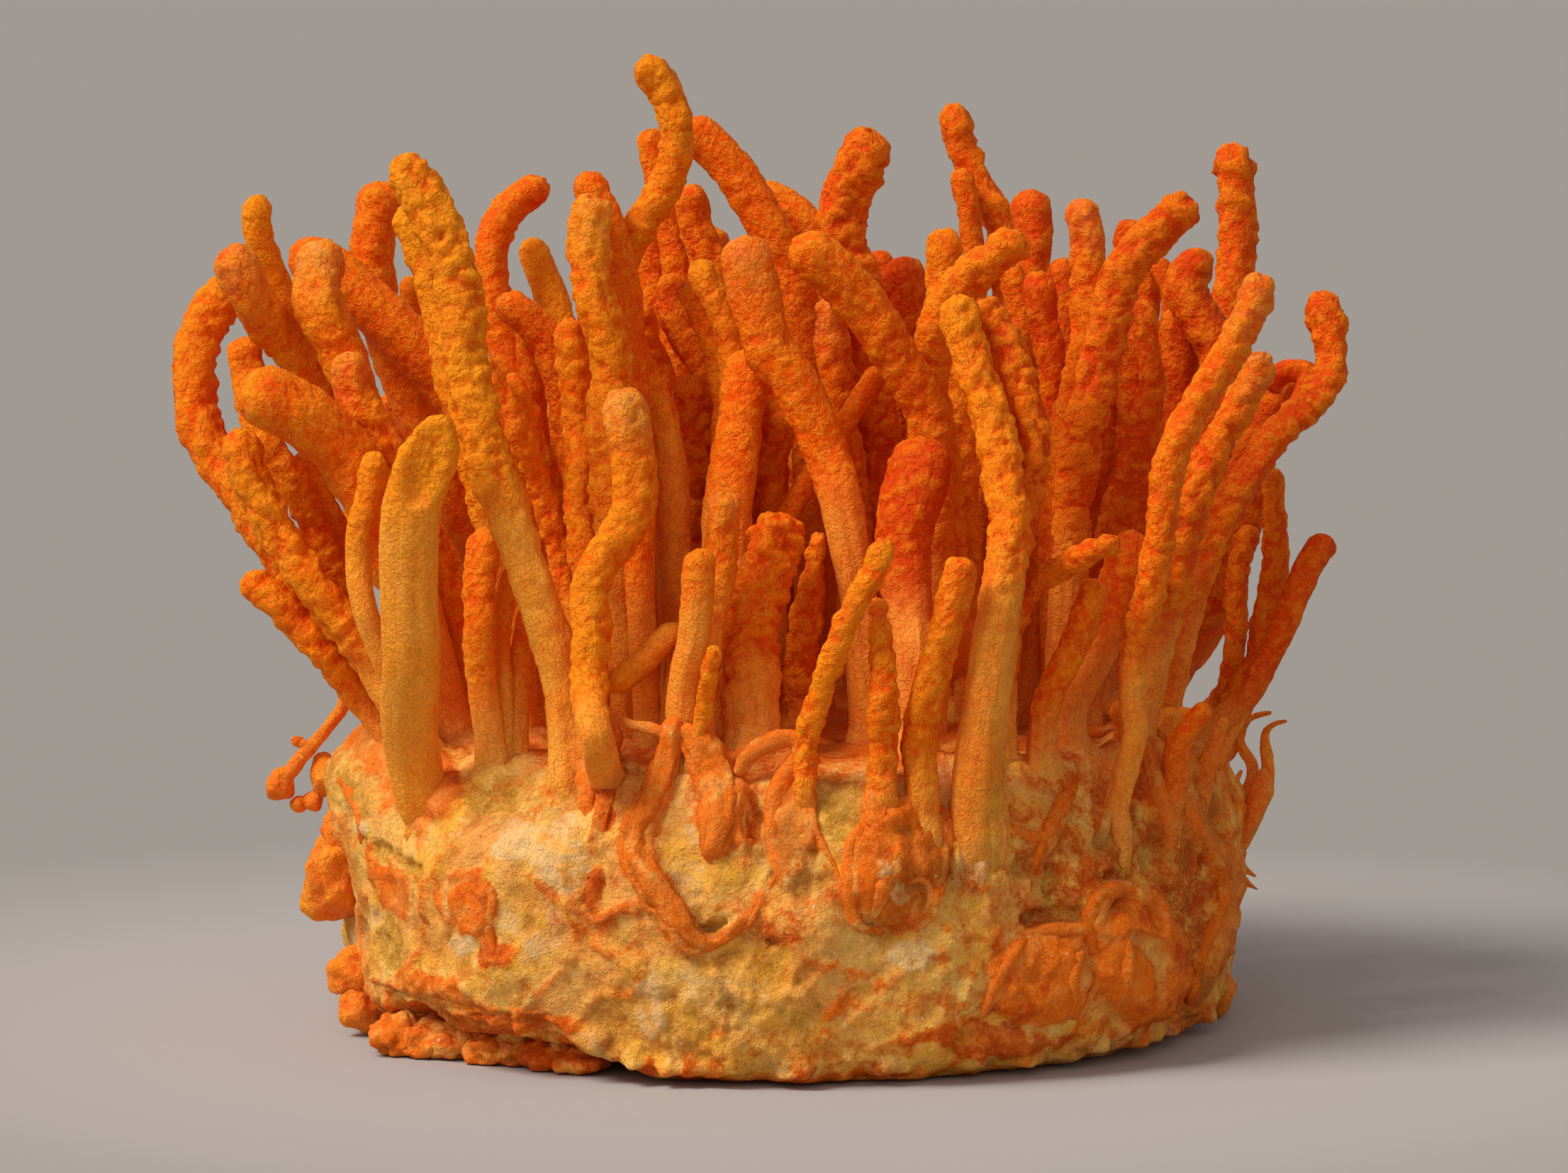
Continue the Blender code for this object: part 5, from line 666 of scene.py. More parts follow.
def scrambled(cell, seed):
    """Three scrambled numbers from 0 to 1023 for each lattice point, by multiplying and folding its bits."""
    cell = cell.astype(np.uint32)
    bits = (cell[..., 0] * np.uint32(0x9E3779B1)) ^ (cell[..., 1] * np.uint32(0x85EBCA77))
    bits ^= (cell[..., 2] * np.uint32(0xC2B2AE3D)) ^ np.uint32((seed * 0x27D4EB2F) & 0xFFFFFFFF)
    for shift, factor in ((15, 0x2C1B3C6D), (12, 0x297A2D39)):
        bits ^= bits >> np.uint32(shift)
        bits *= np.uint32(factor)
    bits ^= bits >> np.uint32(15)
    return np.stack([(bits >> shift) & 1023 for shift in (0, 10, 20)], axis=-1)


def pebbles(points, size, seed=0):
    """Rounded pebbles from 0 between them to 1 at their tops.

    Each lattice cell holds one scrambled centre. The height is 1 less the squared distance to the nearest
    centre, counted in lattice cells.
    """
    spot = np.asarray(points) / size
    low = np.floor(spot).astype(np.int64)
    nearest = np.full(spot.shape[:-1], 9.0)
    for step in np.ndindex(3, 3, 3):
        cell = low + (np.array(step) - 1)
        centre = cell + scrambled(cell, seed) / 1023
        np.minimum(nearest, ((spot - centre) ** 2).sum(axis=-1), out=nearest)
    return np.clip(1 - nearest, 0, 1)


def eased(value, low, high):
    """A smooth step from 0 at the low value to 1 at the high one."""
    share = np.clip((value - low) / (high - low), 0, 1)
    return share * share * (3 - 2 * share)


def unit(vectors):
    """Vectors at length one."""
    return vectors / np.linalg.norm(vectors, axis=-1, keepdims=True)


def stacked(*values):
    """Arrays of one shape, or numbers, as the parts of points."""
    return np.stack(np.broadcast_arrays(*values), axis=-1)


def run_along(line):
    """How far along a line each of its points lies."""
    return np.concatenate([[0], np.cumsum(np.linalg.norm(np.diff(line, axis=0), axis=1))])


def top_height(x, y):
    """Height of the cake's surface over a point: flat in the middle, falling along the profile at the rim."""
    heights, insets = np.array([row for row in CAKE_PROFILE[::-1] if row[0] >= RIM_START]).T
    return float(np.interp(hypot(x, y), CAKE_RADIUS + insets, heights))


def carried(plane, depth):
    """Moves points (x, z) of the reading plane along their lines of sight to their depths."""
    x, z = np.moveaxis(np.asarray(plane, dtype=float), -1, 0)
    share = (EYE_DISTANCE + depth) / EYE_DISTANCE
    return stacked(x * share, depth, EYE_HEIGHT + (z - EYE_HEIGHT) * share)


def read_back(points):
    """The reading plane's (x, z) of points in space: `carried` turned round."""
    x, depth, z = np.moveaxis(points, -1, 0)
    share = EYE_DISTANCE / (EYE_DISTANCE + depth)
    return stacked(x * share, EYE_HEIGHT + (z - EYE_HEIGHT) * share)


def smoothed(points, step):
    """A line of even steps through the points, along Catmull-Rom arcs."""
    points = np.asarray(points, dtype=float)
    padded = np.vstack([2 * points[0] - points[1], points, 2 * points[-1] - points[-2]])
    pieces = []
    for k in range(1, len(padded) - 2):
        before, start, end, after = padded[k - 1:k + 3]
        count = max(2, int(np.linalg.norm(end - start) / step * 2))
        t = np.linspace(0, 1, count, endpoint=False)[:, None]
        square = 2 * before - 5 * start + 4 * end - after
        cube = 3 * start - before - 3 * end + after
        pieces.append(0.5 * (2 * start + (end - before) * t + square * t ** 2 + cube * t ** 3))
    line = np.vstack(pieces + [points[-1:]])
    along = run_along(line)
    even = np.linspace(0, along[-1], max(3, int(round(along[-1] / step)) + 1))
    return np.column_stack([np.interp(even, along, line[:, axis]) for axis in range(3)])


def back_clubs():
    """Clubs of the hidden side, each leaning outwards and a little to its own side."""
    clubs = []
    for tuft, (reach, degrees, height, lean, count) in enumerate(BACK_TUFTS):
        away = np.array([cos(radians(degrees)), sin(radians(degrees))])
        across = np.array([-away[1], away[0]])
        for member in range(count):
            turn = GOLDEN_ANGLE * (4 * tuft + member)
            foot = away * reach + BACK_SCATTER * np.array([cos(turn), sin(turn)])
            tall = height - CAKE_TOP + BACK_TALLER * sin(3.1 * turn)
            side = BACK_SPACING * (member - (count - 1) / 2) + BACK_SIDEWAYS * sin(turn)
            points = []
            for share in BACK_SHARES:
                sway = BACK_SWAY * (sin(5 * share + turn) - sin(turn))
                out = (lean + BACK_LEANING * cos(1.7 * turn)) * share ** BACK_BEND
                spot = foot + away * out + across * (side * share + sway)
                points.append((spot[0], spot[1], CAKE_TOP + tall * share))
            radius = BACK_RADIUS + BACK_THICKER * sin(2.3 * turn)
            radii = tuple(radius * part for part in BACK_TAPER)
            depth = tuple(point[1] for point in points)
            line = read_back(np.array(points))
            clubs.append(Club(f"tuft_back_{tuft + 1}", depth, tuple(foot), radii, line, back_look(turn)))
    return clubs


def spread_feet(clubs):
    """Moves the feet of different pieces apart on the cake's top until they clear each other."""
    feet = np.array([club.foot[:2] for club in clubs], dtype=float)
    radii = np.array([club.radii[2] for club in clubs])
    nodes = np.array([club.node for club in clubs])
    free = np.array([len(club.foot) == 2 for club in clubs])
    need = radii[:, None] + radii[None, :] + FOOT_ROOM
    apart = nodes[:, None] != nodes[None, :]
    for _ in range(FOOT_ROUNDS):
        gap = feet[:, None, :] - feet[None, :, :]
        distance = np.linalg.norm(gap, axis=2) + 1e-9
        lack = np.where(apart & (distance < need), need - distance, 0)
        push = (gap / distance[:, :, None] * lack[:, :, None]).sum(axis=1) * FOOT_PUSH
        for node in set(nodes):
            members = nodes == node
            push[members] = push[members].mean(axis=0)
        feet += push * free[:, None]
        reach = np.linalg.norm(feet, axis=1)
        over = free & (reach > FOOT_REACH)
        feet[over] *= (FOOT_REACH / reach[over])[:, None]
    return feet


def laid_out(clubs):
    """The smooth line and radii of every club before they are settled, each from its tip to its foot."""
    laid = []
    for club, foot in zip(clubs, spread_feet(clubs)):
        foot_z = club.foot[2] if len(club.foot) == 3 else top_height(*foot) - SUNK
        plane = np.array(club.line, dtype=float).reshape(-1, 2)
        run = run_along(plane)
        share = run / (run[-1] + LAST_STRETCH)
        if len(club.depth) == 2:
            depth = np.interp(share, (0, KNEE_PLACE, 1), (*club.depth, foot[1]))
        else:
            depth = np.array(club.depth)
        line = smoothed(np.vstack([carried(plane, depth), (*foot, foot_z)]), LINE_STEP)
        place = np.linspace(0, 1, len(line))
        laid.append((line, np.interp(place, RADIUS_PLACES, (club.radii[0], *club.radii))))
    return laid


def settled(clubs, laid):
    """Pushes crossing clubs apart along the lines of sight until their round sections clear each other.

    Each pair keeps the order in depth that it starts with. Feet stay where they are, and a push is spread
    smoothly along its club, so that the lines stay free of kinks.
    """
    line = np.vstack([points for points, _ in laid])
    radius = np.concatenate([radii for _, radii in laid])
    bounds = np.cumsum([0] + [len(points) for points, _ in laid])
    club = np.repeat(np.arange(len(laid)), np.diff(bounds))
    place = np.concatenate([np.arange(len(points))[::-1] * LINE_STEP for points, _ in laid])
    flat, start_depth = read_back(line), line[:, 1]
    depth = start_depth.copy()
    free = np.clip((place - SUNK) / FREE_LENGTH, 0, 1)

    first, second, need = crossing_pairs(flat, radius, club, place, np.array([c.node for c in clubs]))
    sign = kept_order(first, second, club, depth)
    weight = free[first] / (free[first] + free[second] + 1e-6)
    for _ in range(SETTLE_ROUNDS):
        lack = np.clip(need - sign * (depth[second] - depth[first]), 0, SETTLE_MOST) * SETTLE_PUSH
        ahead = np.zeros(len(depth))
        behind = np.zeros(len(depth))
        for rows, move in ((first, -sign * lack * weight), (second, sign * lack * (1 - weight))):
            np.maximum.at(behind, rows, np.clip(move, 0, None))
            np.maximum.at(ahead, rows, np.clip(-move, 0, None))
        move = behind - ahead
        for start, stop in zip(bounds, bounds[1:]):
            depth[start:stop] += spread_push(move[start:stop]) * free[start:stop]
        moved = (depth - start_depth) * SETTLE_KEPT
        depth = start_depth + np.clip(moved, -SETTLE_REACH, SETTLE_REACH)
    placed = carried(flat, depth)
    return [(placed[start:stop], radii) for start, stop, (_, radii) in zip(bounds, bounds[1:], laid)]


def kept_order(first, second, club, depth):
    """Which of two crossing clubs stays behind, worked out once for each place where they cross."""
    sign = np.empty(len(first))
    pair = club[first] * (club.max() + 1) + club[second]
    for one in np.unique(pair):
        rows = np.flatnonzero(pair == one)
        rows = rows[np.argsort(first[rows], kind="stable")]
        breaks = np.flatnonzero(np.diff(first[rows]) > SAME_CROSSING) + 1
        for run in np.split(rows, breaks):
            total = (depth[second[run]] - depth[first[run]]).sum()
            sign[run] = 1 if total >= 0 else -1
    return sign


def evened(values, width):
    """Each value's mean with its neighbours up to a width away, the near ones counting most."""
    kernel = np.hanning(2 * width + 3)[1:-1]
    return np.convolve(np.pad(values, width, mode="edge"), kernel / kernel.sum(), mode="valid")


def spread_push(push):
    """Spreads the pushes on one club along it: the strongest push near each point, then smoothed."""
    padded = np.pad(push, PUSH_WIDTH)
    windows = np.lib.stride_tricks.sliding_window_view(padded, 2 * PUSH_WIDTH + 1)
    high = windows.max(axis=1)
    low = windows.min(axis=1)
    strongest = np.where(high > -low, high, low)
    return evened(strongest, PUSH_WIDTH)


def crossing_pairs(flat, radius, club, place, nodes):
    """Pairs of points of different clubs that look closer than their radii, and the depth they need."""
    firsts, seconds, needs = [], [], []
    for k in range(club.max()):
        mine = np.flatnonzero(club == k)
        others = np.flatnonzero(club > k)
        gap = np.linalg.norm(flat[mine][:, None, :] - flat[others][None, :, :], axis=2)
        room = radius[mine][:, None] + radius[others][None, :] + CLUB_ROOM
        same = nodes[club[others]] == nodes[k]
        near_foot = (place[mine][:, None] < JOINED_LENGTH) & (place[others][None, :] < JOINED_LENGTH)
        close = (gap < room) & ~(same[None, :] & near_foot)
        a, b = np.nonzero(close)
        firsts.append(mine[a])
        seconds.append(others[b])
        needs.append(np.sqrt(room[a, b] ** 2 - gap[a, b] ** 2))
    return np.concatenate(firsts), np.concatenate(seconds), np.concatenate(needs)


def back_look(turn):
    """A look for a club of the hidden side, varied by its turn."""
    return (1.5 + 1.5 * sin(2.7 * turn), max(0, 2 * sin(1.9 * turn)), 0.9 * sin(3.7 * turn),
            max(0, sin(5.3 * turn)), 0.4 + 0.1 * cos(turn))


def swell(angle, height):
    """How far the cake's side stands out of its plain form: a sum of waves that lean with the height.

    The waves fade out towards the underside and the top, so both stay flat.
    """
    fade = np.clip(height / WAVE_FADE_LOW, 0, 1) * np.clip((CAKE_TOP - height) / WAVE_FADE_HIGH, 0, 1)
    return fade * sum(size * np.sin(count * angle + lean * height + start)
                      for count, lean, start, size in CAKE_WAVES)


def rooted(line, radii):
    """Carries a line that ends on the cake's side on down it, ever deeper, so its club fades into it."""
    outward = unit(line[-1] * (1, 1, 0))
    heights, insets = np.array(CAKE_PROFILE).T
    share = np.arange(ROOT_POINTS + 1)[:, None] / ROOT_POINTS
    height = line[-1, 2] - share * ROOT_POINTS * LINE_STEP
    sunk = radii[-1] * (ROOT_SUNK[0] + (ROOT_SUNK[1] - ROOT_SUNK[0]) * share ** 1.3)
    down = outward * (CAKE_RADIUS + np.interp(height, heights, insets) - sunk) + height * (0, 0, 1)
    bend = eased(np.arange(len(line)), len(line) - ROOT_BEND, len(line) - 1)[:, None]
    line = line + (down[0] - line[-1]) * bend
    tapered = radii[-1] * np.linspace(1, ROOT_TAPER, ROOT_POINTS)
    return np.vstack([line, down[1:]]), np.concatenate([radii, tapered])


@functools.cache
def grown_clubs():
    """Every club with its settled line and radii, worked out once."""
    clubs = list(CLUBS) + back_clubs()
    lines = settled(clubs, laid_out(clubs))
    for k, club in enumerate(clubs):
        if len(club.foot) == 3:
            lines[k] = rooted(*lines[k])
    return clubs, lines


def put_in_scene(name, data):
    """A new object of the data, linked to the scene."""
    thing = bpy.data.objects.new(name, data)
    bpy.context.scene.collection.objects.link(thing)
    return thing


class Surfaces:
    """Closed surfaces gathered into one mesh: grids of rings, each with a point that closes either end."""

    def __init__(self):
        self.points, self.corners, self.sizes, self.fields = [], [], [], []
        self.count = 0

    def add(self, grid, start, end, fields):
        """Adds a grid of rings, its two end points, and named values for its points, its rings or all of it.

        Rows follow each other from the start to the end, and a row's points go round. The quads and the two
        fans are turned round if the volume that they enclose comes out below 0, so they always face outwards.
        An end point has the mean values of the ring beside it.
        """
        rows, columns = grid.shape[:2]
        points = np.vstack([grid.reshape(-1, 3), start[None, :], end[None, :]])
        index = np.arange(rows * columns).reshape(rows, columns)
        beside = np.roll(index, -1, axis=1)
        quads = np.stack([index[:-1], beside[:-1], beside[1:], index[1:]], axis=-1).reshape(-1, 4)
        first, last = np.full(columns, rows * columns), np.full(columns, rows * columns + 1)
        fans = np.vstack([np.column_stack([first, beside[0], index[0]]),
                          np.column_stack([last, index[-1], beside[-1]])])
        split = np.vstack([quads[:, (0, 1, 2)], quads[:, (0, 2, 3)], fans])
        a, b, c = (points[split[:, k]] - points[0] for k in range(3))
        if (np.cross(a, b) * c).sum() < 0:
            quads, fans = quads[:, ::-1], fans[:, ::-1]
        self.corners += [(quads + self.count).ravel(), (fans + self.count).ravel()]
        self.sizes += [np.full(len(quads), 4), np.full(len(fans), 3)]
        self.points.append(points)
        self.count += len(points)
        full = {}
        for name, values in fields.items():
            values = np.broadcast_to(values, (rows, columns, *np.shape(values)[2:]))
            ends = (values[row].mean(axis=0).reshape(1, -1) for row in (0, -1))
            full[name] = np.concatenate([values.reshape(rows * columns, -1), *ends])
        self.fields.append(full)

    def piece(self, name, material, slot, node=None):
        """Makes the gathered surfaces one smooth piece that rides on the root body."""
        mesh = bpy.data.meshes.new(name)
        points = np.vstack(self.points) * MM
        corners, sizes = np.concatenate(self.corners), np.concatenate(self.sizes)
        mesh.vertices.add(len(points))
        mesh.vertices.foreach_set("co", points.astype(np.float32).ravel())
        mesh.loops.add(len(corners))
        mesh.loops.foreach_set("vertex_index", corners.astype(np.int32))
        mesh.polygons.add(len(sizes))
        mesh.polygons.foreach_set("loop_start", (np.cumsum(sizes) - sizes).astype(np.int32))
        mesh.update(calc_edges=True)
        for field in self.fields[0]:
            values = np.concatenate([fields[field] for fields in self.fields]).astype(np.float32)
            kind, key = ("FLOAT", "value") if values.shape[1] == 1 else ("FLOAT_VECTOR", "vector")
            mesh.attributes.new(field, kind, "POINT").data.foreach_set(key, values.ravel())
        mesh.shade_smooth()
        mesh.materials.append(material)
        thing = put_in_scene(name, mesh)
        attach(thing, "root")
        if node:
            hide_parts(node)


def along_line(line, radii, step, stretch=1):
    """Rings along a line that starts in a round cap: their places, centres, directions and radii.

    The cap is half a ball of the first radius, stretched along the line, with its rings evenly spread over
    the ball. Beyond it the rings are a step apart.
    """
    tip = max(radii[0], 0.1) * stretch
    ahead = unit(line[0] - line[min(3, len(line) - 1)])
    full = np.vstack([line[0] + ahead * (tip - 0.4 * radii[0]), line])
    reach = run_along(full)
    count = max(4, int(ceil(tip * pi / 2 / step)))
    arc = np.arange(1, count + 1) / count * pi / 2
    beyond = max(3, int(round((reach[-1] - tip) / step)))
    place = np.concatenate([tip * (1 - np.cos(arc)), np.linspace(tip, reach[-1], beyond + 1)[1:]])
    centre = np.column_stack([np.interp(place, reach, full[:, axis]) for axis in range(3)])
    knots = unit(np.gradient(full, axis=0))
    knots[1:-1] = unit(knots[:-2] + 2 * knots[1:-1] + knots[2:])
    ahead = unit(np.column_stack([np.interp(place, reach, knots[:, axis]) for axis in range(3)]))
    cap = np.clip(1 - place / tip, 0, 1)
    radius = np.interp(place, reach, np.concatenate([[radii[0]], radii])) * np.sqrt(1 - cap ** 2)
    return place, centre, ahead, radius, cap, full[0]


def round_grid(line, radii, step, fewest, seed, flat=1, stretch=1):
    """The plain grid of a tube with a round cap, and what its detail is worked out from.

    Each ring lies across the line. Its section is a slightly oval and wavy circle, and its depth towards the
    eye is flattened by the flat share. Given are the grid, its outward directions, the rings' places along
    the tube, each point's place for patterns that run lengthwise, the rings' radii, and the tube's two ends.
    """
    place, centre, ahead, radius, cap, tip = along_line(line, radii, step, stretch)
    sides = max(fewest, int(round(TURN * radii.max() / step)))
    angle = np.arange(sides) / sides * TURN
    across = unit(np.cross(ahead, (0, 1, 0)))
    inward = np.cross(ahead, across)
    round_about = (np.cos(angle)[None, :, None] * across[:, None, :]
                   + np.sin(angle)[None, :, None] * inward[:, None, :] * flat)
    section = 1 + 0.06 * np.cos(2 * angle + seed) + 0.03 * np.cos(3 * angle + 2 * seed)
    grid = centre[:, None, :] + round_about * (radius[:, None] * section[None, :])[:, :, None]
    out = unit(round_about * np.sqrt(1 - cap ** 2)[:, None, None] - ahead[:, None, :] * cap[:, None, None])
    turned = stacked(place[:, None], np.cos(angle), np.sin(angle))
    return grid, out, place, turned, radius, tip, centre[-1]


def club_surface(surfaces, club, line, radii, seed, sizes):
    """Adds one club: a tube with a round tip, pebbled, ringed and lumpy above, smooth and fluted below.

    Its height over the plain tube is the sum of two sizes of pebbles, rings that are noise squeezed along the
    club, fine noise, broad lumps, and long flutes on the stem. All but the flutes fade towards the stem. The
    foot flares out, and a foot on the cake's side is flattened into a fluted fan.
    """
    rough, rings, tone, frost, stem_share = club.look
    flat, stretch, hollow = HEADS.get(club.node, (1, 1, None))
    depth = line[:, 1].mean()
    step = FRONT_STEP if depth < FRONT_DEPTH else MIDDLE_STEP if depth < REAR_DEPTH else REAR_STEP
    tube = round_grid(line, radii, step, FEWEST_SIDES, seed, flat, stretch)
    grid, out, place, turned, radius, tip, foot = tube
    length = place[-1]
    stem = length * (1 - stem_share)
    stem = eased(place, stem - STEM_FADE, stem + STEM_FADE)[:, None]
    pebble = pebbles(grid, sizes.pebble / MM, seed)
    coarse = pebbles(grid + 17, 1.9 * sizes.pebble / MM, seed)
    ringed = 2.2 * np.abs(noise(turned * (0.6 * MM / sizes.ring_spacing, 0.8, 0.8), 1, seed + 1)) - 0.5
    lumps = noise(grid, 3.4, seed + 2)
    flutes = noise(turned * (0.11, 2.3, 2.3), 1, seed + 3)
    fine = noise(turned * (1.9, 2.4, 2.4), 1, seed + 4)
    height = sizes.pebble_height / MM
    grains = (height * (0.6 + 0.4 * rough) * (pebble - 0.62) + height * (0.35 + 0.35 * rough) * (coarse - 0.6)
              + (0.09 + 0.09 * rings) * ringed + 0.09 * fine) * (1 - 0.72 * stem)
    slender = np.clip(radii.max() / 1.6, 0.45, 1)
    lift = slender * (grains + (0.15 + 0.06 * rough) * lumps * (1 - 0.5 * stem) + 0.19 * stem * flutes)
    flare = FLARE * radii[-1] * eased(place, length - FLARE_LENGTH, length - 1.4)[:, None]
    if club.foot is not None and len(club.foot) == 3:
        fan = eased(place, length - FAN_LENGTH, length - 3)[:, None]
        middle = grid.mean(axis=1, keepdims=True)
        grid = middle + (grid - middle) * stacked(1, 1 - 0.35 * fan, 1)
        lift = lift + 0.20 * fan * radii[-1] * noise(turned * (0.10, 3, 3), 1, seed + 5)
        flare = 0.5 * flare
    if hollow:
        lift -= hollow_depth(grid, out, *hollow)
    moved = grid + out * (lift + flare * (1 + 0.7 * flutes))[:, :, None]
    surfaces.add(moved, tip, foot, {
        # the club's own tone, plus painted shade growing towards +X, away from the key lamp, and painted
        # light towards -X, its lit side
        "tone": tone - 1.1 * eased(grid[..., 0], -2, 30) + 0.6 * eased(-grid[..., 0], 0, 26),
        "relief": np.clip(0.5 + 2.3 * grains + 0.3 * stem * flutes, 0, 1),
        # the pale stem colour is weaker on clubs behind the front row: painted red shade deep in the bunch
        "stem": stem * (1 if depth < FRONT_DEPTH else 0.6),
        "frost": frost * eased(-place, -(0.16 * length), -0.5)[:, None],
        "root": eased(place, length - 9, length - 1.5)[:, None],
        "flow": flow_field(turned, radius, seed),
    })


def flow_field(turned, radius, seed):
    """Places for a pattern that runs lengthwise: the length much shortened, and the place round the tube."""
    across = turned[..., 1:] * (radius[:, None, None] + 0.3)
    return np.concatenate([turned[..., :1] * 0.14, across + (0, 7.3 * (seed % 61))], axis=-1) * MM


def oval_reach(gap, half_sizes, lean):
    """How far gaps on the reading plane reach in a leaning oval, squared: 0 in its middle, 1 at its rim."""
    turn = radians(lean)
    first = (gap[..., 0] * cos(turn) - gap[..., 1] * sin(turn)) / half_sizes[0]
    second = (gap[..., 0] * sin(turn) + gap[..., 1] * cos(turn)) / half_sizes[1]
    return first ** 2 + second ** 2


def hollow_depth(grid, out, centre, half_sizes, lean, depth):
    """How deep a hollow in a club's front is: even over an oval of the reading plane, and less at its rim."""
    far = oval_reach(read_back(grid) - centre, half_sizes, lean)
    return depth * eased(-far, -1, -0.45) * eased(-out[..., 1], 0.1, 0.5)


def ball_grid(rows, columns):
    """A ball of radius one, in rings from near its upper pole to near its lower one."""
    polar = (np.arange(1, rows) / rows * pi)[:, None]
    angle = np.arange(columns) / columns * TURN
    return stacked(np.sin(polar) * np.cos(angle), np.sin(polar) * np.sin(angle), np.cos(polar))


def lobe_surface(surfaces, centre, half_sizes, lean, tone, seed):
    """Adds a lobe: an egg turned about the line of sight, made lumpy by noise and pebbles."""
    rows = max(12, int(pi * max(half_sizes) / MIDDLE_STEP))
    columns = max(16, int(TURN * max(half_sizes[0], half_sizes[1]) / MIDDLE_STEP))
    pole = np.tile((0, 0, 1), (1, columns, 1))
    ball = np.concatenate([pole, ball_grid(rows, columns), -pole])
    turn = radians(lean)
    turned = np.array([[cos(turn), 0, sin(turn)], [0, 1, 0],
                       [-sin(turn), 0, cos(turn)]])
    out = unit(ball / half_sizes) @ turned.T
    grid = (ball * half_sizes) @ turned.T + centre
    lift = layered(grid, seed, (0.8, 2.8), (0.5, 1.4)) + 0.25 * (pebbles(grid, 1.1, seed) - 0.6)
    moved = grid + out * (lift * min(1, min(half_sizes) / 1.6))[:, :, None]
    moved[..., 2] = np.maximum(moved[..., 2], LOWEST)
    surfaces.add(moved[1:-1], moved[0, 0], moved[-1, 0], {
        "tone": tone, "relief": np.clip(0.5 + lift, 0, 1)[1:-1], "stem": 0.25, "frost": 0, "root": 0.35,
        "flow": grid[1:-1] * MM})


def blade_surface(surfaces, radii, flat, tone, points, seed):
    """Adds a stalk or a curled blade: a flattened tube along smooth arcs, with flutes and small lumps."""
    line = smoothed(np.reshape(points, (-1, 3)), LINE_STEP / 2)
    radii = np.interp(np.linspace(0, 1, len(line)), (0, 0.45, 1), radii)
    grid, out, place, turned, radius, tip, foot = round_grid(line, radii, MIDDLE_STEP, FEWEST_LOW, seed, flat)
    lift = 0.10 * noise(turned * (0.2, 2, 2), 1, seed) + layered(grid, seed + 1, (0.16, 1.7), (0.07, 0.8))
    lift = lift * np.clip(radii.max(), 0.4, 1)
    surfaces.add(grid + out * lift[:, :, None], tip, foot, {
        "tone": tone, "relief": np.clip(0.5 + 3 * lift, 0, 1), "stem": 0.35, "frost": 0,
        "root": 0.4 + 0.5 * eased(place, place[-1] - 5, place[-1])[:, None],
        "flow": flow_field(turned, radius, seed)})


def cake_rows():
    """The cake's profile from the middle of the underside, round the side, to the middle of the top."""
    side = smoothed([(CAKE_RADIUS + inset, 0, z) for z, inset in CAKE_PROFILE], SIDE_STEP)[:, (0, 2)]
    under = np.arange(UNDER_STEP, side[0, 0] - UNDER_STEP / 2, UNDER_STEP)
    outer = np.arange(side[-1, 0] - TOP_STEP, TOP_MIDDLE, -TOP_STEP)
    inner = np.arange(TOP_MIDDLE, TOP_STEP_MIDDLE, -TOP_STEP_MIDDLE)
    top = np.concatenate([outer, inner])
    path = np.vstack([stacked(under, 0), side, stacked(top, CAKE_TOP)])
    slope = np.gradient(path, axis=0)
    return path, unit(np.column_stack([slope[:, 1], -slope[:, 0]]))


def near_strip(spots, crest):
    """Distance of points of the reading plane from a crest, and how far along it they lie, from 0 to 1."""
    crest = np.array(crest, dtype=float).reshape(-1, 2)
    reach = run_along(crest)
    best, place = np.full(len(spots), 1e6), np.zeros(len(spots))
    for k in range(len(crest) - 1):
        run = crest[k + 1] - crest[k]
        share = np.clip(((spots - crest[k]) @ run) / (run @ run), 0, 1)
        gap = np.linalg.norm(spots - crest[k] - share[:, None] * run, axis=1)
        closer = gap < best
        best = np.where(closer, gap, best)
        place = np.where(closer, (reach[k] + share * (reach[k + 1] - reach[k])) / reach[-1], place)
    return best, place


def deepen(fields, name, values):
    """Raises a named field to the values where it is lower."""
    fields[name] = np.maximum(fields[name], values)


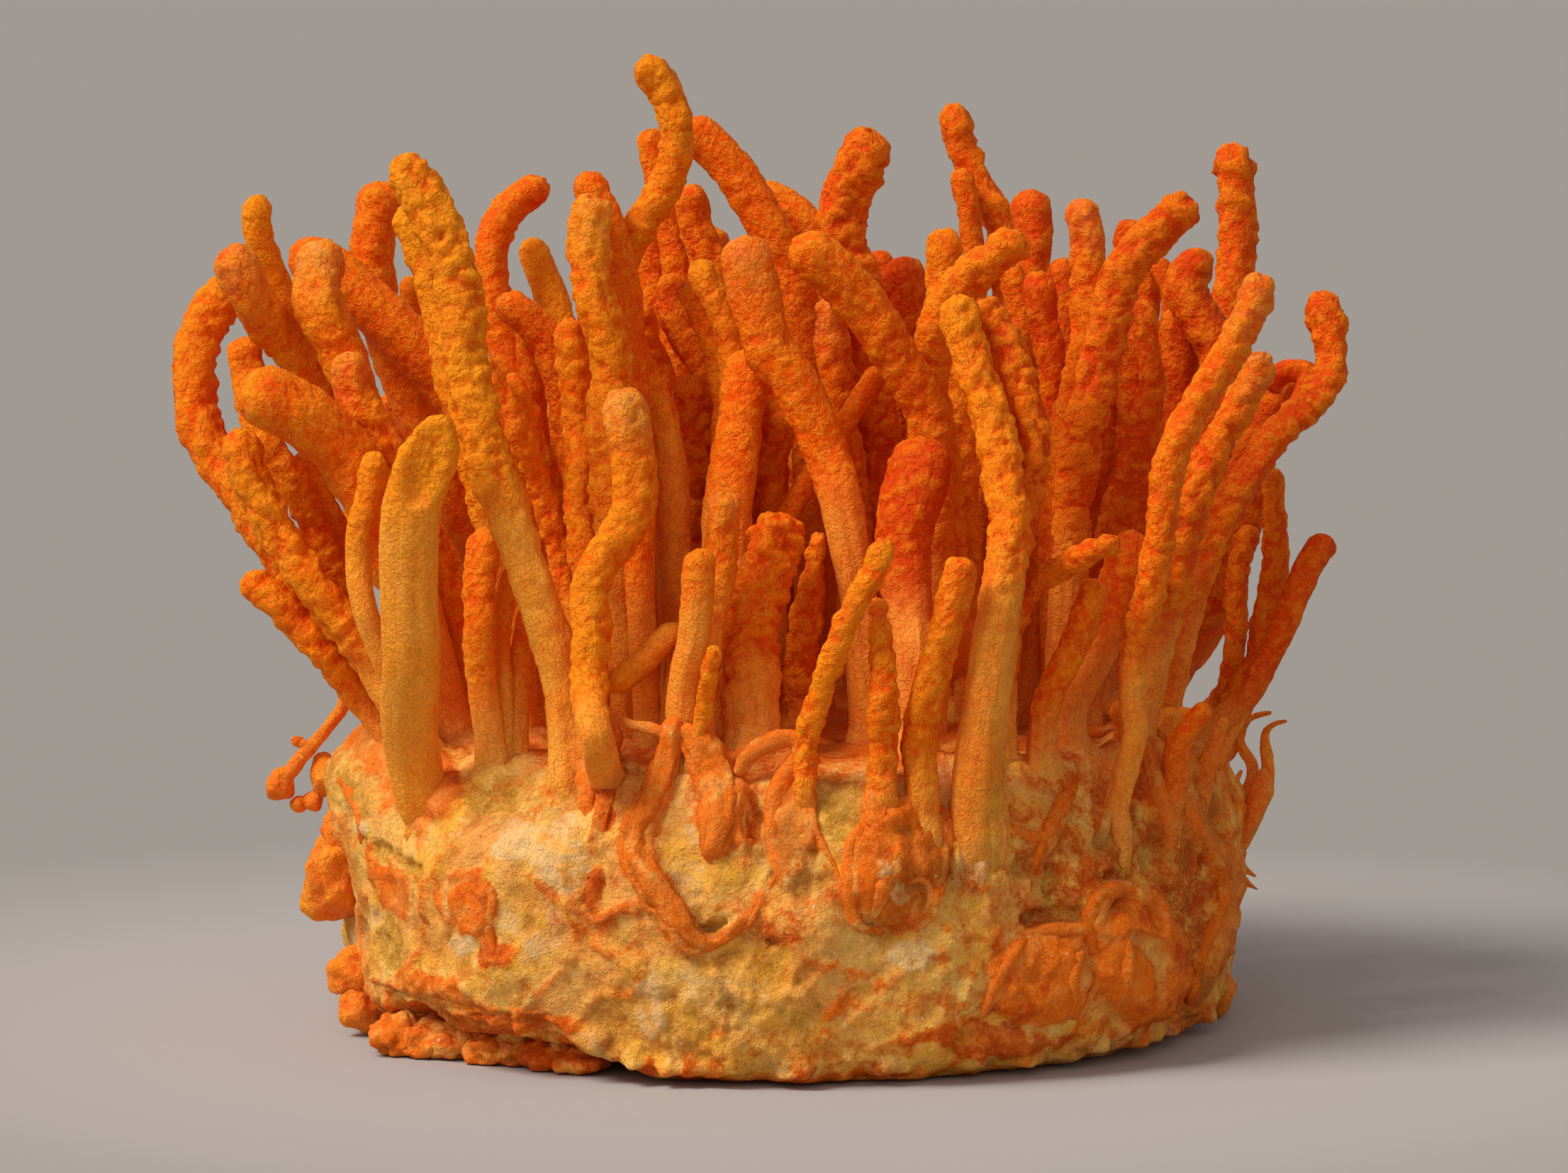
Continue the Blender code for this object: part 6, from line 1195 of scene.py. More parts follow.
def front_marks(grid, facing, fields):
    """Adds the tints of the strips and patches of the cake's front to the fields, and gives their height. The
    tints hold a painted highlight along each strip's crest, and painted shade in the darkest hollows and in
    the washes on the right.

    A point is looked up where it appears on the reading plane. A strip's height falls from its crest as the
    root of 1 less the squared share of its half width, and a patch's as the root of 1 less the squared share
    of its size.
    """
    spots = read_back(grid)
    blur = np.column_stack([noise(grid, 1.6, 71), noise(grid, 1.6, 72)]) * 0.45
    blur += np.column_stack([noise(grid, 0.7, 73), noise(grid, 0.7, 74)]) * 0.16
    lift = np.zeros(len(grid))
    for centre, half, orange, red in WASHES:
        near = np.exp(-(((spots + 2 * blur - centre) / half) ** 2).sum(axis=1)) * facing
        deepen(fields, "orange", near * orange)
        deepen(fields, "red", near * red)
    for centre, half, lean, height, *tints in PATCHES:
        far = oval_reach(spots + blur - centre, half, lean)
        inside = np.clip(1 - far, 0, 1) * facing
        lift += height * np.sqrt(inside) * facing
        mask = eased(1.25 - far, 0, 0.6) * facing
        for name, tint in zip(("orange", "red", "olive", "pale"), tints):
            fields[name] = fields[name] * (1 - mask * (1 - tint)) + mask * tint * (1 - fields[name])
    for seed, (height, half, orange, red, crest) in enumerate(STRIPS):
        gap, place = near_strip(spots + blur * min(1, 0.5 * max(half)), crest)
        wide = np.interp(place, (0, 0.5, 1), half)
        wide = wide * (0.6 + 0.4 * np.sqrt(np.sin(pi * (0.1 + 0.85 * place))))
        inside = np.sqrt(np.clip(1 - (gap / wide) ** 2, 0, 1)) * facing
        flutes = noise(stacked(gap / 0.7, 2 * place, 9.7 * seed), 1, 75)
        lift = np.maximum(lift, 0) * (1 - 0.7 * inside) + np.minimum(lift, 0) * (1 - inside)
        lift += 0.6 * height * inside * (0.92 + 0.3 * flutes)
        mask = eased(1.15 * wide - gap, 0, 0.35) * facing
        # painted highlight along the top of each strip
        crest_highlight = inside * np.clip(0.6 + 0.8 * flutes, 0, 1) * (1 - red)
        for name, kept, tint in (("crest", 1, crest_highlight), ("orange", 1, mask * orange),
                                 ("red", 1, mask * red * 0.8), ("olive", 1, 0), ("pale", 0.8, 0)):
            fields[name] = fields[name] * (1 - mask * kept) + tint
    return lift


@functools.cache
def cake_form(grain, grain_height):
    """The cake's grid and fields: its profile turned round the axis, with grains, pits, veins and strips.

    Columns crowd towards the front, where angle = u - crowding * cos(u). The height over the plain form is
    the sum of five sizes of noise, two sizes of pebbles for the grains, thin veins where a noise crosses 0,
    pits, the front's strips and patches, clods at the lower rim, the bulges, and a cone of skin round each
    foot. The lower edge is then made ragged by noise, and raised at the left over the crumbs.
    """
    path, profile_out = cake_rows()
    u = np.arange(CAKE_COLUMNS) / CAKE_COLUMNS * TURN
    angle = u - FRONT_CROWDING * np.cos(u)
    around = np.stack([np.cos(angle), np.sin(angle), np.zeros_like(angle)], axis=-1)
    reach = path[:, 0, None] + swell(angle[None, :], path[:, 1, None]) * eased(path[:, 0, None], 24, 31)
    grid = around[None, :, :] * reach[:, :, None] + path[:, 1, None, None] * UP
    out = around[None, :, :] * profile_out[:, 0, None, None] + profile_out[:, 1, None, None] * UP
    rows, columns = grid.shape[:2]
    flat, out = grid.reshape(-1, 3), out.reshape(-1, 3)
    upright = np.repeat(path[:, 1], columns)
    wide = np.linalg.norm(flat[:, :2], axis=1)
    side = np.clip(np.linalg.norm(out[:, :2], axis=1), 0, 1)
    under = eased(-out[:, 2], 0.5, 0.9)
    sight = unit(flat + (0, EYE_DISTANCE, -EYE_HEIGHT))
    facing = eased(-(out * sight).sum(axis=1), -0.04, 0.22) * (1 - under)
    hidden = 1 - facing

    def blots(size, seed, low, high):
        """Blots where noise of a size is high: 0 below the low value and 1 above the high one."""
        return eased(noise(flat, size, seed), low, high)

    veins = 1 - np.clip(np.abs(noise(flat, 7, 21)) / 0.16, 0, 1)
    fine_veins = 1 - np.clip(np.abs(noise(flat, 3.6, 22)) / 0.12, 0, 1)
    relief = layered(flat, 26, *SKIN_NOISE)
    for size, seed, amount in ((grain, 23, grain_height), (0.5 * grain, 24, 0.3 * grain_height)):
        relief += amount * (np.sqrt(pebbles(flat, size, seed)) - 0.75)
    relief += 0.35 * veins ** 2 + 0.16 * fine_veins - 0.5 * blots(3.2, 25, 0.28, 0.6)
    fields = {
        "orange": (hidden * (0.55 * blots(8, 31, 0, 0.5) + 0.3 * blots(3.4, 40, 0.1, 0.4))
                   + 0.55 * veins + 0.3 * fine_veins),
        "red": 0.5 * hidden * blots(4, 32, 0.25, 0.45) + 0.15 * veins,
        "olive": blots(6, 33, 0.22, 0.42) * (0.35 + 0.65 * hidden),
        "pale": blots(5, 34, 0.25, 0.45) * (0.4 + 0.6 * hidden),
        "crest": np.zeros(len(flat)),
    }
    lift = relief * (0.16 + 0.84 * side) + front_marks(flat, facing, fields)
    rim = eased(-upright, -4.5, -1.5) * blots(13, 45, -0.35, 0.2)
    lift += rim * (1.3 * blots(3, 41, -0.1, 0.45) + 0.7 * noise(flat, 1.5, 42))
    # the lower rim's own orange and red clods, and painted shade on the front that grows towards +X, away
    # from the key lamp
    rim_tint_and_right_shade = np.maximum(0.85 * rim, 0.75 * eased(flat[:, 0], 0, 32) * facing)
    deepen(fields, "orange", rim_tint_and_right_shade * blots(3.4, 43, -0.15, 0.3))
    deepen(fields, "red", rim_tint_and_right_shade * blots(2.4, 44, 0, 0.35))
    for centre, half, height in BULGES:
        lift += height * np.exp(-(((flat - centre) / half) ** 2).sum(axis=1)) * side

    cones, near = np.zeros(len(flat)), np.zeros(len(flat))
    for line, radii in grown_clubs()[1]:
        foot = line[-1] + (line[-2] - line[-1]) * SUNK * 0.8
        gap = np.linalg.norm(flat - foot, axis=1) / (radii[-1] + 1.2)
        cones = np.maximum(cones, np.exp(-gap ** 2))
        near = np.maximum(near, eased(-gap, -2.6, -0.8))
    inner = eased(-wide, -36, -29) * eased(upright, 22, 26)
    lift += (0.9 + 0.3 * inner) * cones * (1 - under)
    deepen(fields, "orange", near * (0.4 - 0.35 * blots(3, 35, 0, 0.3)))
    fields["pink"] = np.maximum(0.8 * blots(8, 36, -0.1, 0.3) * (1 - 0.5 * fields["olive"]), inner)
    deepen(fields, "orange", 0.75 * inner)
    deepen(fields, "red", 0.55 * inner * blots(4, 38, -0.2, 0.3))
    moved = flat + out * (lift * (1 - under))[:, None]
    edge = eased(-upright, -3, -0.6) * eased(wide, 24, 33)
    ragged = edge * (1.3 * noise(flat, 4.2, 46) + 0.8 * noise(flat, 1.7, 47) - 0.2)
    moved[:, :2] += unit(flat[:, :2]) * ragged[:, None]
    bearing = np.degrees(np.arctan2(flat[:, 1], flat[:, 0]))
    start, full, falling, end = RAISED_BEARINGS
    raised = eased(bearing, start, full) * eased(-bearing, -end, -falling) * eased(-upright, -7, -0.5)
    moved[:, 2] += (RAISED + 0.8 * noise(flat, 5, 39)) * (raised * eased(wide, 22, 30))
    lowest = 0.18 * np.clip(noise(flat, 2.4, 37) + 0.3, 0, 1) * under
    moved[:, 2] = np.maximum(moved[:, 2], lowest)
    fields = {name: np.clip(values, 0, 1).reshape(rows, columns) for name, values in fields.items()}
    fields["relief"] = np.clip(0.5 + 0.42 * (relief - 0.1), 0, 1).reshape(rows, columns)
    return moved.reshape(rows, columns, 3), fields, facing.reshape(rows, columns)


@functools.cache
def cake_front(grain, grain_height):
    """The cake's points that face the camera: their places on the reading plane, and their depths."""
    grid, _, facing = cake_form(grain, grain_height)
    points = grid[(facing > 0.1) & (grid[..., 1] < 6)]
    return read_back(points), points[:, 1]


def ribbon_surface(surfaces, flat, tone, paleness, points, seed, front):
    """Adds a ribbon: a flattened tube along smooth arcs on the cake, half sunk in it, with flutes and lumps.

    Each point is carried to the depth of the cake's surface behind it. Above the rim it keeps the rim's.
    """
    plane = smoothed(np.reshape(points, (-1, 3)), RIBBON_STEP)
    spots, depths = front
    nearest = [int(np.argmin(((spots - point[:2]) ** 2).sum(axis=1))) for point in plane]
    rim = -np.sqrt(np.clip(RIBBON_REACH ** 2 - plane[:, 0] ** 2, 1, None))
    depth = np.minimum(depths[nearest], rim)
    depth = evened(depth, 3)
    line = carried(plane[:, :2], depth)
    radii = np.maximum(plane[:, 2], 0.1)
    run = np.arange(len(line)) * RIBBON_STEP
    near_end = 1 - eased(np.minimum(run, run[-1] - run), 0, 1.6)
    line -= unit(line * (1, 1, 0)) * (radii * (RIBBON_SUNK + RIBBON_END * near_end))[:, None]
    grid, out, _, turned, radius, tip, foot = round_grid(line, radii, FRONT_STEP, FEWEST_LOW, seed, flat)
    flutes = noise(turned * (0.16, 2.6, 2.6), 1, seed)
    lift = (0.24 * flutes * np.clip(radius, 0.2, 1.4)[:, None]
            + layered(grid, seed + 1, (0.26, 1.7), (0.11, 0.8), (0.05, 0.4)))
    lift = lift * np.clip(radii.max(), 0.45, 1)
    patchy = noise(grid, 2.1, seed + 4)
    # painted highlight where the ribbon faces the front, towards the lamps
    facing_highlight = eased(-out[..., 1], 0.1, 0.9)
    surfaces.add(grid + out * lift[:, :, None], tip, foot, {
        "orange": np.clip(1 - 0.25 * paleness + 0.5 * patchy, 0, 1),
        "red": np.clip(eased(-tone, 0, 1.2) + 0.45 * noise(grid, 1.5, seed + 5) - 0.1, 0, 1),
        "olive": 0, "pale": 0, "pink": 0.9,
        "crest": np.clip(0.3 * paleness * facing_highlight * (0.45 + 0.9 * flutes + 0.3 * patchy), 0, 1),
        "relief": np.clip(0.5 + 1.3 * lift, 0, 1)})


def crumb_surface(surfaces, place, depth, half_sizes, orange, red, seed):
    """Adds a crumb of the cake's skin: an egg made uneven by three sizes of noise, flat where it rests."""
    ball = ball_grid(*CRUMB_GRID)
    half = np.array((half_sizes[0], 0.5 * sum(half_sizes) + 0.5, half_sizes[1]))
    grid = ball * half + carried(place, depth)
    uneven = layered(grid, seed, (0.34, 2), (0.26, 1.1), (0.12, 0.6))
    moved = grid + ball * (uneven * min(half_sizes) * 1.1)[:, :, None]
    moved[..., 2] = np.maximum(moved[..., 2], LOWEST)
    surfaces.add(moved, moved[0].mean(axis=0), moved[-1].mean(axis=0), {
        "orange": orange, "red": red, "olive": 0, "pale": 0, "crest": 0, "pink": 0.7,
        "relief": np.clip(0.5 + 1.4 * uneven, 0, 1)})


class Shader:
    """The nodes of one material, added and linked in short calls."""

    def __init__(self, name):
        self.material = bpy.data.materials.new(name)
        self.material.use_nodes = True
        self.tree = self.material.node_tree
        self.tree.nodes.clear()
        self.output = self.add("OutputMaterial")

    def add(self, kind, values=None, **settings):
        """Adds a node with its settings, and gives its inputs numbers, colours or links."""
        node = self.tree.nodes.new("ShaderNode" + kind)
        for name, value in settings.items():
            setattr(node, name, value)
        for name, value in (values or {}).items():
            self.give(node.inputs[name], value)
        return node

    def give(self, socket, value):
        """Links an output to an input, or sets the input's own number or colour."""
        if isinstance(value, bpy.types.NodeSocket):
            self.tree.links.new(value, socket)
        elif getattr(value, "__len__", None) and len(value) == 3 and socket.type == "RGBA":
            socket.default_value = (*value, 1)
        else:
            socket.default_value = value

    def place(self):
        """The point on the piece, in metres."""
        return self.add("TexCoord").outputs["Object"]

    def field(self, name, output="Fac"):
        """A named value of the piece's own points."""
        return self.add("Attribute", attribute_name=name, attribute_type="GEOMETRY").outputs[output]

    def noise(self, size, detail=2, roughness=0.55, place=None):
        """Noise from 0 to 1 with features of the given size in metres."""
        return self.add("TexNoise", {"Vector": place or self.place(), "Scale": 1 / size,
                                     "Detail": detail, "Roughness": roughness}).outputs["Fac"]

    def fibres(self, size, width):
        """Thin curled lines, 1 on a line and 0 off it: where noises of the size cross their middle value."""
        lines = None
        for shift in range(3):
            place = self.add("VectorMath", {0: self.place(), 1: (0.31 * shift, 0.17 * shift, 0)},
                             operation="ADD").outputs[0]
            value = self.noise(size * (1 + 0.3 * shift), 2, 0.5, place)
            off = self.math("ABSOLUTE", self.math("SUBTRACT", value, 0.5))
            line = self.span(off, 0, width, 1, 0)
            lines = self.math("MAXIMUM", lines, line) if lines else line
        return lines

    def cells(self, size):
        """Distance to the nearest of scattered points, about 0 to 1 over the given size in metres."""
        return self.add("TexVoronoi", {"Vector": self.place(), "Scale": 1 / size}).outputs["Distance"]

    def math(self, operation, *values, clamp=False):
        """One step of arithmetic."""
        node = self.add("Math", operation=operation, use_clamp=clamp)
        for socket, value in zip(node.inputs, values):
            self.give(socket, value)
        return node.outputs[0]

    def times(self, first, second):
        """The product of two values."""
        return self.math("MULTIPLY", first, second)

    def span(self, value, low, high, first=0, last=1):
        """Maps a value between low and high smoothly onto first to last."""
        return self.add("MapRange", {0: value, 1: low, 2: high, 3: first, 4: last},
                        interpolation_type="SMOOTHSTEP").outputs[0]

    def mix(self, share, first, second):
        """Blends two colours."""
        return self.add("Mix", {0: share, 6: first, 7: second}, data_type="RGBA").outputs[2]

    def toned(self, share, colour, part, tint):
        """Blends a colour by a share towards itself blended in part with a tint."""
        return self.mix(share, colour, self.mix(part, colour, tint))

    def bump(self, height, distance, strength=1, normal=None):
        """A bump of the given distance in metres."""
        values = {"Height": height, "Distance": distance, "Strength": strength}
        if normal:
            values["Normal"] = normal
        return self.add("Bump", values).outputs["Normal"]

    def finish(self, values):
        """Links the surface of the material, and gives the material."""
        surface = self.add("BsdfPrincipled", values)
        self.tree.links.new(surface.outputs[0], self.output.inputs["Surface"])
        return self.material


def flesh_material(colours):
    """The clubs' flesh: dark red to orange to yellow by tone, which holds painted side light and shade, with
    painted highlights on bumps and painted deep red shade in the gaps and creases.
    """
    made = bpy.data.materials.get("club_flesh")
    if made:
        return made
    shader = Shader("club_flesh")
    mix, span, times, toned, field = shader.mix, shader.span, shader.times, shader.toned, shader.field
    relief, stem = field("relief"), field("stem")
    patchy = shader.noise(0.0042, 3)
    tone = shader.math("ADD", field("tone"), span(patchy, 0.3, 0.7, -0.55, 0.55))
    tone = shader.math("ADD", tone, span(shader.noise(0.0014, 3, 0.6), 0.3, 0.7, -0.2, 0.2))
    colour = mix(span(tone, -2, 0.1), colours.flesh_dark, colours.flesh)
    colour = mix(span(tone, 0, 1.9), colour, colours.flesh_light_and_highlight)
    low, high = span(relief, 0.15, 0.55, 1, 0), span(relief, 0.5, 0.85)
    # painted shade: low relief, the gaps between bumps, turns deep red
    colour = toned(times(low, 0.72), colour, 0.75, colours.flesh_shade_and_dark_fibre)
    # painted highlight: high relief, the tops of bumps, turns lighter
    colour = toned(times(high, 0.6), colour, 0.7, colours.flesh_light_and_highlight)
    colour = mix(times(stem, span(patchy, 0.3, 0.7, 0.3, 0.8)), colour, colours.stem)
    dust = span(shader.noise(0.0011, 4, 0.65), 0.35, 0.62)
    frosted = shader.math("MULTIPLY", field("frost"), times(dust, 0.34), clamp=True)
    colour = mix(frosted, colour, colours.frost)
    strands = shader.noise(0.00036, 3, 0.6, field("flow", "Vector"))
    for low, high, part, tint in ((0.42, 0.66, 0.7, colours.felt), (0.48, 0.30, 0.6, colours.flesh_shade_and_dark_fibre)):
        colour = toned(times(span(strands, low, high), span(stem, 0, 1, 0.1, 0.5)), colour, part, tint)
    # painted shade in the creases between pebbles
    crease_shade = times(span(shader.cells(0.0006), 0.45, 0.85), span(stem, 0.2, 0.9, 0.4, 0))
    colour = toned(crease_shade, colour, 0.8, colours.flesh_shade_and_dark_fibre)
    root = times(field("root"), span(shader.noise(0.0022, 4), 0.3, 0.65, 0.25, 1))
    colour = mix(times(root, 0.6), colour, colours.root)
    felt = times(shader.fibres(0.0009, 0.04), 0.5)
    felt = shader.math("ADD", felt, times(shader.noise(0.00028, 3, 0.7), 0.6))
    fuzz = times(span(felt, 0.3, 0.8, 0, 0.6), span(tone, -2.4, 0.2, 0.3, 1))
    colour = toned(fuzz, colour, 0.75, colours.felt)
    specks = times(span(shader.cells(0.0009), 0.10, 0.03, 0, 0.5), span(shader.noise(0.003), 0.55, 0.65))
    colour = mix(specks, colour, colours.flesh_dark)
    normal = shader.bump(felt, 0.00014, 1)
    normal = shader.bump(times(strands, span(stem, 0.1, 0.9, 0.25, 1)), 0.00014, 0.8, normal)
    normal = shader.bump(times(shader.cells(0.00062), span(stem, 0.3, 0.9, -1, -0.2)), 0.00015, 1, normal)
    return shader.finish({
        "Base Color": colour, "Roughness": span(felt, 0.3, 0.7, 0.5, 0.78), "Normal": normal,
        "Specular IOR Level": 0.06, "Subsurface Weight": 0.25, "Subsurface Radius": (1, 0.2, 0.02),
        "Subsurface Scale": 0.0016})


def skin_material(colours):
    """The cake's skin: cream with yellow, olive, white, pink, orange and red parts, and fine fibres. Painted
    highlights lie on the crests of strips and ribbons, and painted shade in the low relief of the skin; the
    orange and red also paint shade on the right side and in the darkest hollows.
    """
    shader = Shader("cake_skin")
    mix, span, times, toned, field = shader.mix, shader.span, shader.times, shader.toned, shader.field
    broken = shader.noise(0.0021, 8, 0.68)
    colour = mix(span(shader.noise(0.0060, 5, 0.6), 0.38, 0.62), colours.cream, colours.yellow)
    for size, detail, roughness, low, high, most, tint in (
            (0.0034, 6, 0.65, 0.48, 0.62, 0.55, colours.pink),
            (0.0017, 6, 0.7, 0.52, 0.66, 0.5, colours.tan),
            (0.0011, 5, 0.7, 0.56, 0.68, 0.6, colours.pale)):
        colour = mix(span(shader.noise(size, detail, roughness), low, high, 0, most), colour, tint)
    for name, tint, most, torn in (
            ("pink", colours.pink, 0.7, 0.55), ("olive", colours.olive, 0.75, 0.55),
            ("pale", colours.pale, 0.75, 0.55), ("orange", colours.vein, 1, 0.4),
            ("red", colours.red_vein_and_shade, 0.85, 0.55)):
        share = shader.math("ADD", field(name), span(broken, 0.3, 0.7, -torn, torn))
        colour = mix(times(span(share, 0.15, 0.85, 0, most), span(field(name), 0, 0.25)), colour, tint)
    # painted highlight along the crests of strips and ribbons
    crest = times(field("crest"), span(shader.noise(0.002, 4), 0.3, 0.7, 0.1, 0.8))
    colour = mix(crest, colour, colours.crest)
    # painted shade: low relief, the hollows and pits of the skin, is darkened
    colour = mix(times(span(field("relief"), 0.12, 0.5, 1, 0), 0.6), colour, colours.crevice_shade_and_dark_grain)
    felt = shader.fibres(0.0011, 0.035)
    fuzzy = span(field("orange"), 0.1, 0.9, 1, 0.35)
    colour = toned(times(felt, times(fuzzy, 0.6)), colour, 0.5, colours.cream)
    crumb = shader.noise(0.00045, 4, 0.75)
    colour = toned(span(crumb, 0.48, 0.32, 0, 0.5), colour, 0.6, colours.crevice_shade_and_dark_grain)
    colour = toned(times(span(crumb, 0.50, 0.66, 0, 0.7), fuzzy), colour, 0.6, colours.cream)
    flecks = times(span(shader.cells(0.0016), 0.14, 0.06, 0, 0.5), span(shader.noise(0.0034), 0.55, 0.62))
    colour = mix(flecks, colour, colours.fleck)
    dots = times(span(shader.cells(0.0008), 0.12, 0.05, 0, 0.55), span(shader.noise(0.0026), 0.48, 0.6))
    colour = mix(dots, colour, colours.crevice_shade_and_dark_grain)
    normal = shader.bump(shader.noise(0.0009, 5, 0.65), 0.00024, 1)
    normal = shader.bump(felt, 0.00004, 1, normal)
    normal = shader.bump(crumb, 0.00006, 1, normal)
    return shader.finish({
        "Base Color": colour, "Roughness": span(felt, 0.3, 0.7, 0.72, 0.92), "Normal": normal,
        "Specular IOR Level": 0.06})


def size_of(name, description, default):
    """A size in metres that a user may change."""
    return FloatProperty(name=name, description=description, default=default, min=0, precision=5,
                         unit="LENGTH")


def colour_of(name, what, default):
    """A colour that a user may change."""
    return FloatVectorProperty(name=name, description="Colour of " + what, default=default, min=0, max=1,
                               subtype="COLOR")


class FungusSizes(bpy.types.PropertyGroup):
    """Sizes of the detail on the clubs and the cake."""

    pebble: size_of("Pebble size", "Distance between the small bumps of a club", 0.00092)
    pebble_height: size_of("Pebble height", "How far the small bumps of a club stand out", 0.00037)
    ring_spacing: size_of("Ring spacing", "Distance between the rings round a club", 0.00095)
    grain: size_of("Grain size", "Distance between the grains that show under the cake's skin", 0.0052)
    grain_height: size_of("Grain height", "How far a grain stands out", 0.0006)


class FungusColours(bpy.types.PropertyGroup):
    """Colours of the clubs and the cake."""

    flesh_dark: colour_of("Dark flesh", "the darkest clubs and of specks", (0.70, 0.046, 0.0014))
    flesh: colour_of("Flesh", "a middling club", (0.98, 0.116, 0.0009))
    # the lightest clubs' own colour, and the painted highlight on the tops of bumps
    flesh_light_and_highlight: colour_of("Light flesh", "the lightest clubs and of bumps", (1, 0.305, 0.006))
    # painted shade colour in the gaps and creases between bumps, and the colour of the darker fibres
    flesh_shade_and_dark_fibre: colour_of("Flesh in gaps", "the gaps between the bumps of a club", (0.84, 0.050, 0.0007))
    felt: colour_of("Felt", "the finest fibres on a club", (1, 0.35, 0.022))
    stem: colour_of("Stem", "a club's smooth foot", (1, 0.42, 0.062))
    root: colour_of("Root", "the lowest end of a club", (1, 0.44, 0.090))
    frost: colour_of("Frost", "dusted tips", (0.80, 0.36, 0.10))
    cream: colour_of("Cream", "most of the cake's skin", (0.96, 0.53, 0.120))
    yellow: colour_of("Yellow", "the yellow parts of the cake's skin", (0.97, 0.435, 0.034))
    tan: colour_of("Tan", "small patches on the cake", (0.70, 0.25, 0.030))
    # painted highlight colour for the crests of strips and ribbons
    crest: colour_of("Crest", "the crests of strips of flesh", (0.92, 0.42, 0.10))
    olive: colour_of("Olive", "the dull green-brown patches", (0.46, 0.21, 0.012))
    pale: colour_of("Pale", "the whitish patches", (0.90, 0.60, 0.28))
    fleck: colour_of("Flecks", "the small white flecks", (0.92, 0.78, 0.55))
    pink: colour_of("Pink", "the skin at the top of the cake", (0.84, 0.29, 0.060))
    # orange of strips and veins; where the orange tint grows towards +X it also paints shade on the cake's
    # right side
    vein: colour_of("Vein", "orange strips and veins", (0.90, 0.165, 0.006))
    # red of cracks and veins, and painted shade in the darkest hollows and on the cake's right side
    red_vein_and_shade: colour_of("Red vein", "red cracks", (0.62, 0.058, 0.002))
    # painted shade colour for the hollows of the cake's skin, and the colour of its dark grain and dots
    crevice_shade_and_dark_grain: colour_of("Crevice", "the depths of the cake's skin", (0.34, 0.085, 0.005))
    # the pale floor, lighter near the fungus as a painted pool of light
    floor_light_pool: colour_of("Floor", "the floor near the fungus", (0.445, 0.410, 0.392))
    floor_far: colour_of("Backdrop", "the floor far away", (0.325, 0.302, 0.283))


class FUNGUS_OT_cake(bpy.types.Operator):
    """Build the cake's skin, and its crumbs and ribbons"""

    bl_idname = "fungus.cake"
    bl_label = "Cake"

    def execute(self, context):
        skin, crumbs, ribbons = Surfaces(), Surfaces(), Surfaces()
        sizes = context.scene.fungus_sizes
        grains = (sizes.grain / MM, sizes.grain_height / MM)
        grid, fields, _ = cake_form(*grains)
        skin.add(grid, 0 * UP, CAKE_TOP * UP, fields)
        material = skin_material(context.scene.fungus_colours)
        skin.piece("cake_skin", material, "mycelium", "cake")
        for seed, crumb in enumerate(CRUMBS):
            crumb_surface(crumbs, *crumb, 700 + 5 * seed)
        crumbs.piece("cake_crumbs", material, "mycelium")
        for seed, ribbon in enumerate(RIBBONS):
            ribbon_surface(ribbons, *ribbon, 800 + 5 * seed, cake_front(*grains))
        ribbons.piece("cake_ribbons", material, "mycelium")
        return {"FINISHED"}


class FUNGUS_OT_growths(bpy.types.Operator):
    """Build the lobes, stalks and curled blades that grow on the cake"""

    bl_idname = "fungus.growths"
    bl_label = "Growths on the cake"

    def execute(self, context):
        flesh = flesh_material(context.scene.fungus_colours)
        lobes, blades = Surfaces(), Surfaces()
        for seed, lobe in enumerate(LOBES):
            lobe_surface(lobes, *lobe, 300 + 5 * seed)
        for seed, blade in enumerate(BLADES):
            blade_surface(blades, *blade, 500 + 5 * seed)
        lobes.piece("cake_lobes", flesh, "mycelium")
        blades.piece("cake_blades", flesh, "mycelium")
        return {"FINISHED"}


def build_clubs(context, wanted):
    """Builds one piece for each node of clubs that is wanted."""
    flesh = flesh_material(context.scene.fungus_colours)
    nodes = {}
    for seed, (club, (line, radii)) in enumerate(zip(*grown_clubs())):
        if wanted(club.node):
            surfaces = nodes.setdefault(club.node, Surfaces())
            club_surface(surfaces, club, line, radii, 1000 + 7 * seed, context.scene.fungus_sizes)
    for node, surfaces in nodes.items():
        surfaces.piece(node + "_flesh", flesh, "club", node)


class FUNGUS_OT_clubs(bpy.types.Operator):
    """Build the clubs and tufts of the front and the middle"""

    bl_idname = "fungus.clubs"
    bl_label = "Clubs"

    def execute(self, context):
        build_clubs(context, lambda node: not node.startswith("tuft_back"))
        inner = Surfaces()
        for seed, (depth, radius, tone, points) in enumerate(INNER_CLUBS):
            line = smoothed(carried(np.reshape(points, (-1, 2)), depth), LINE_STEP)
            radii = np.full(len(line), float(radius))
            club = Club("inner_clubs", None, None, None, None, (1, 0, tone, 0, 0.35))
            club_surface(inner, club, line, radii, 2000 + 7 * seed, context.scene.fungus_sizes)
        inner.piece("inner_clubs", flesh_material(context.scene.fungus_colours), "club")
        return {"FINISHED"}


class FUNGUS_OT_back_tufts(bpy.types.Operator):
    """Build the tufts of the hidden side"""

    bl_idname = "fungus.back_tufts"
    bl_label = "Back tufts"

    def execute(self, context):
        build_clubs(context, lambda node: node.startswith("tuft_back"))
        return {"FINISHED"}


def sun(name, azimuth, elevation, strength, softness, tint):
    """A far light that shines from an azimuth and elevation in degrees."""
    light = bpy.data.lights.new(name, "SUN")
    light.energy = strength
    light.angle = radians(softness)
    light.color = tint
    around, up = radians(azimuth), radians(elevation)
    toward = Vector((cos(around) * cos(up), sin(around) * cos(up), sin(up)))
    put_in_scene(name, light).rotation_euler = toward.to_track_quat("Z", "Y").to_euler()


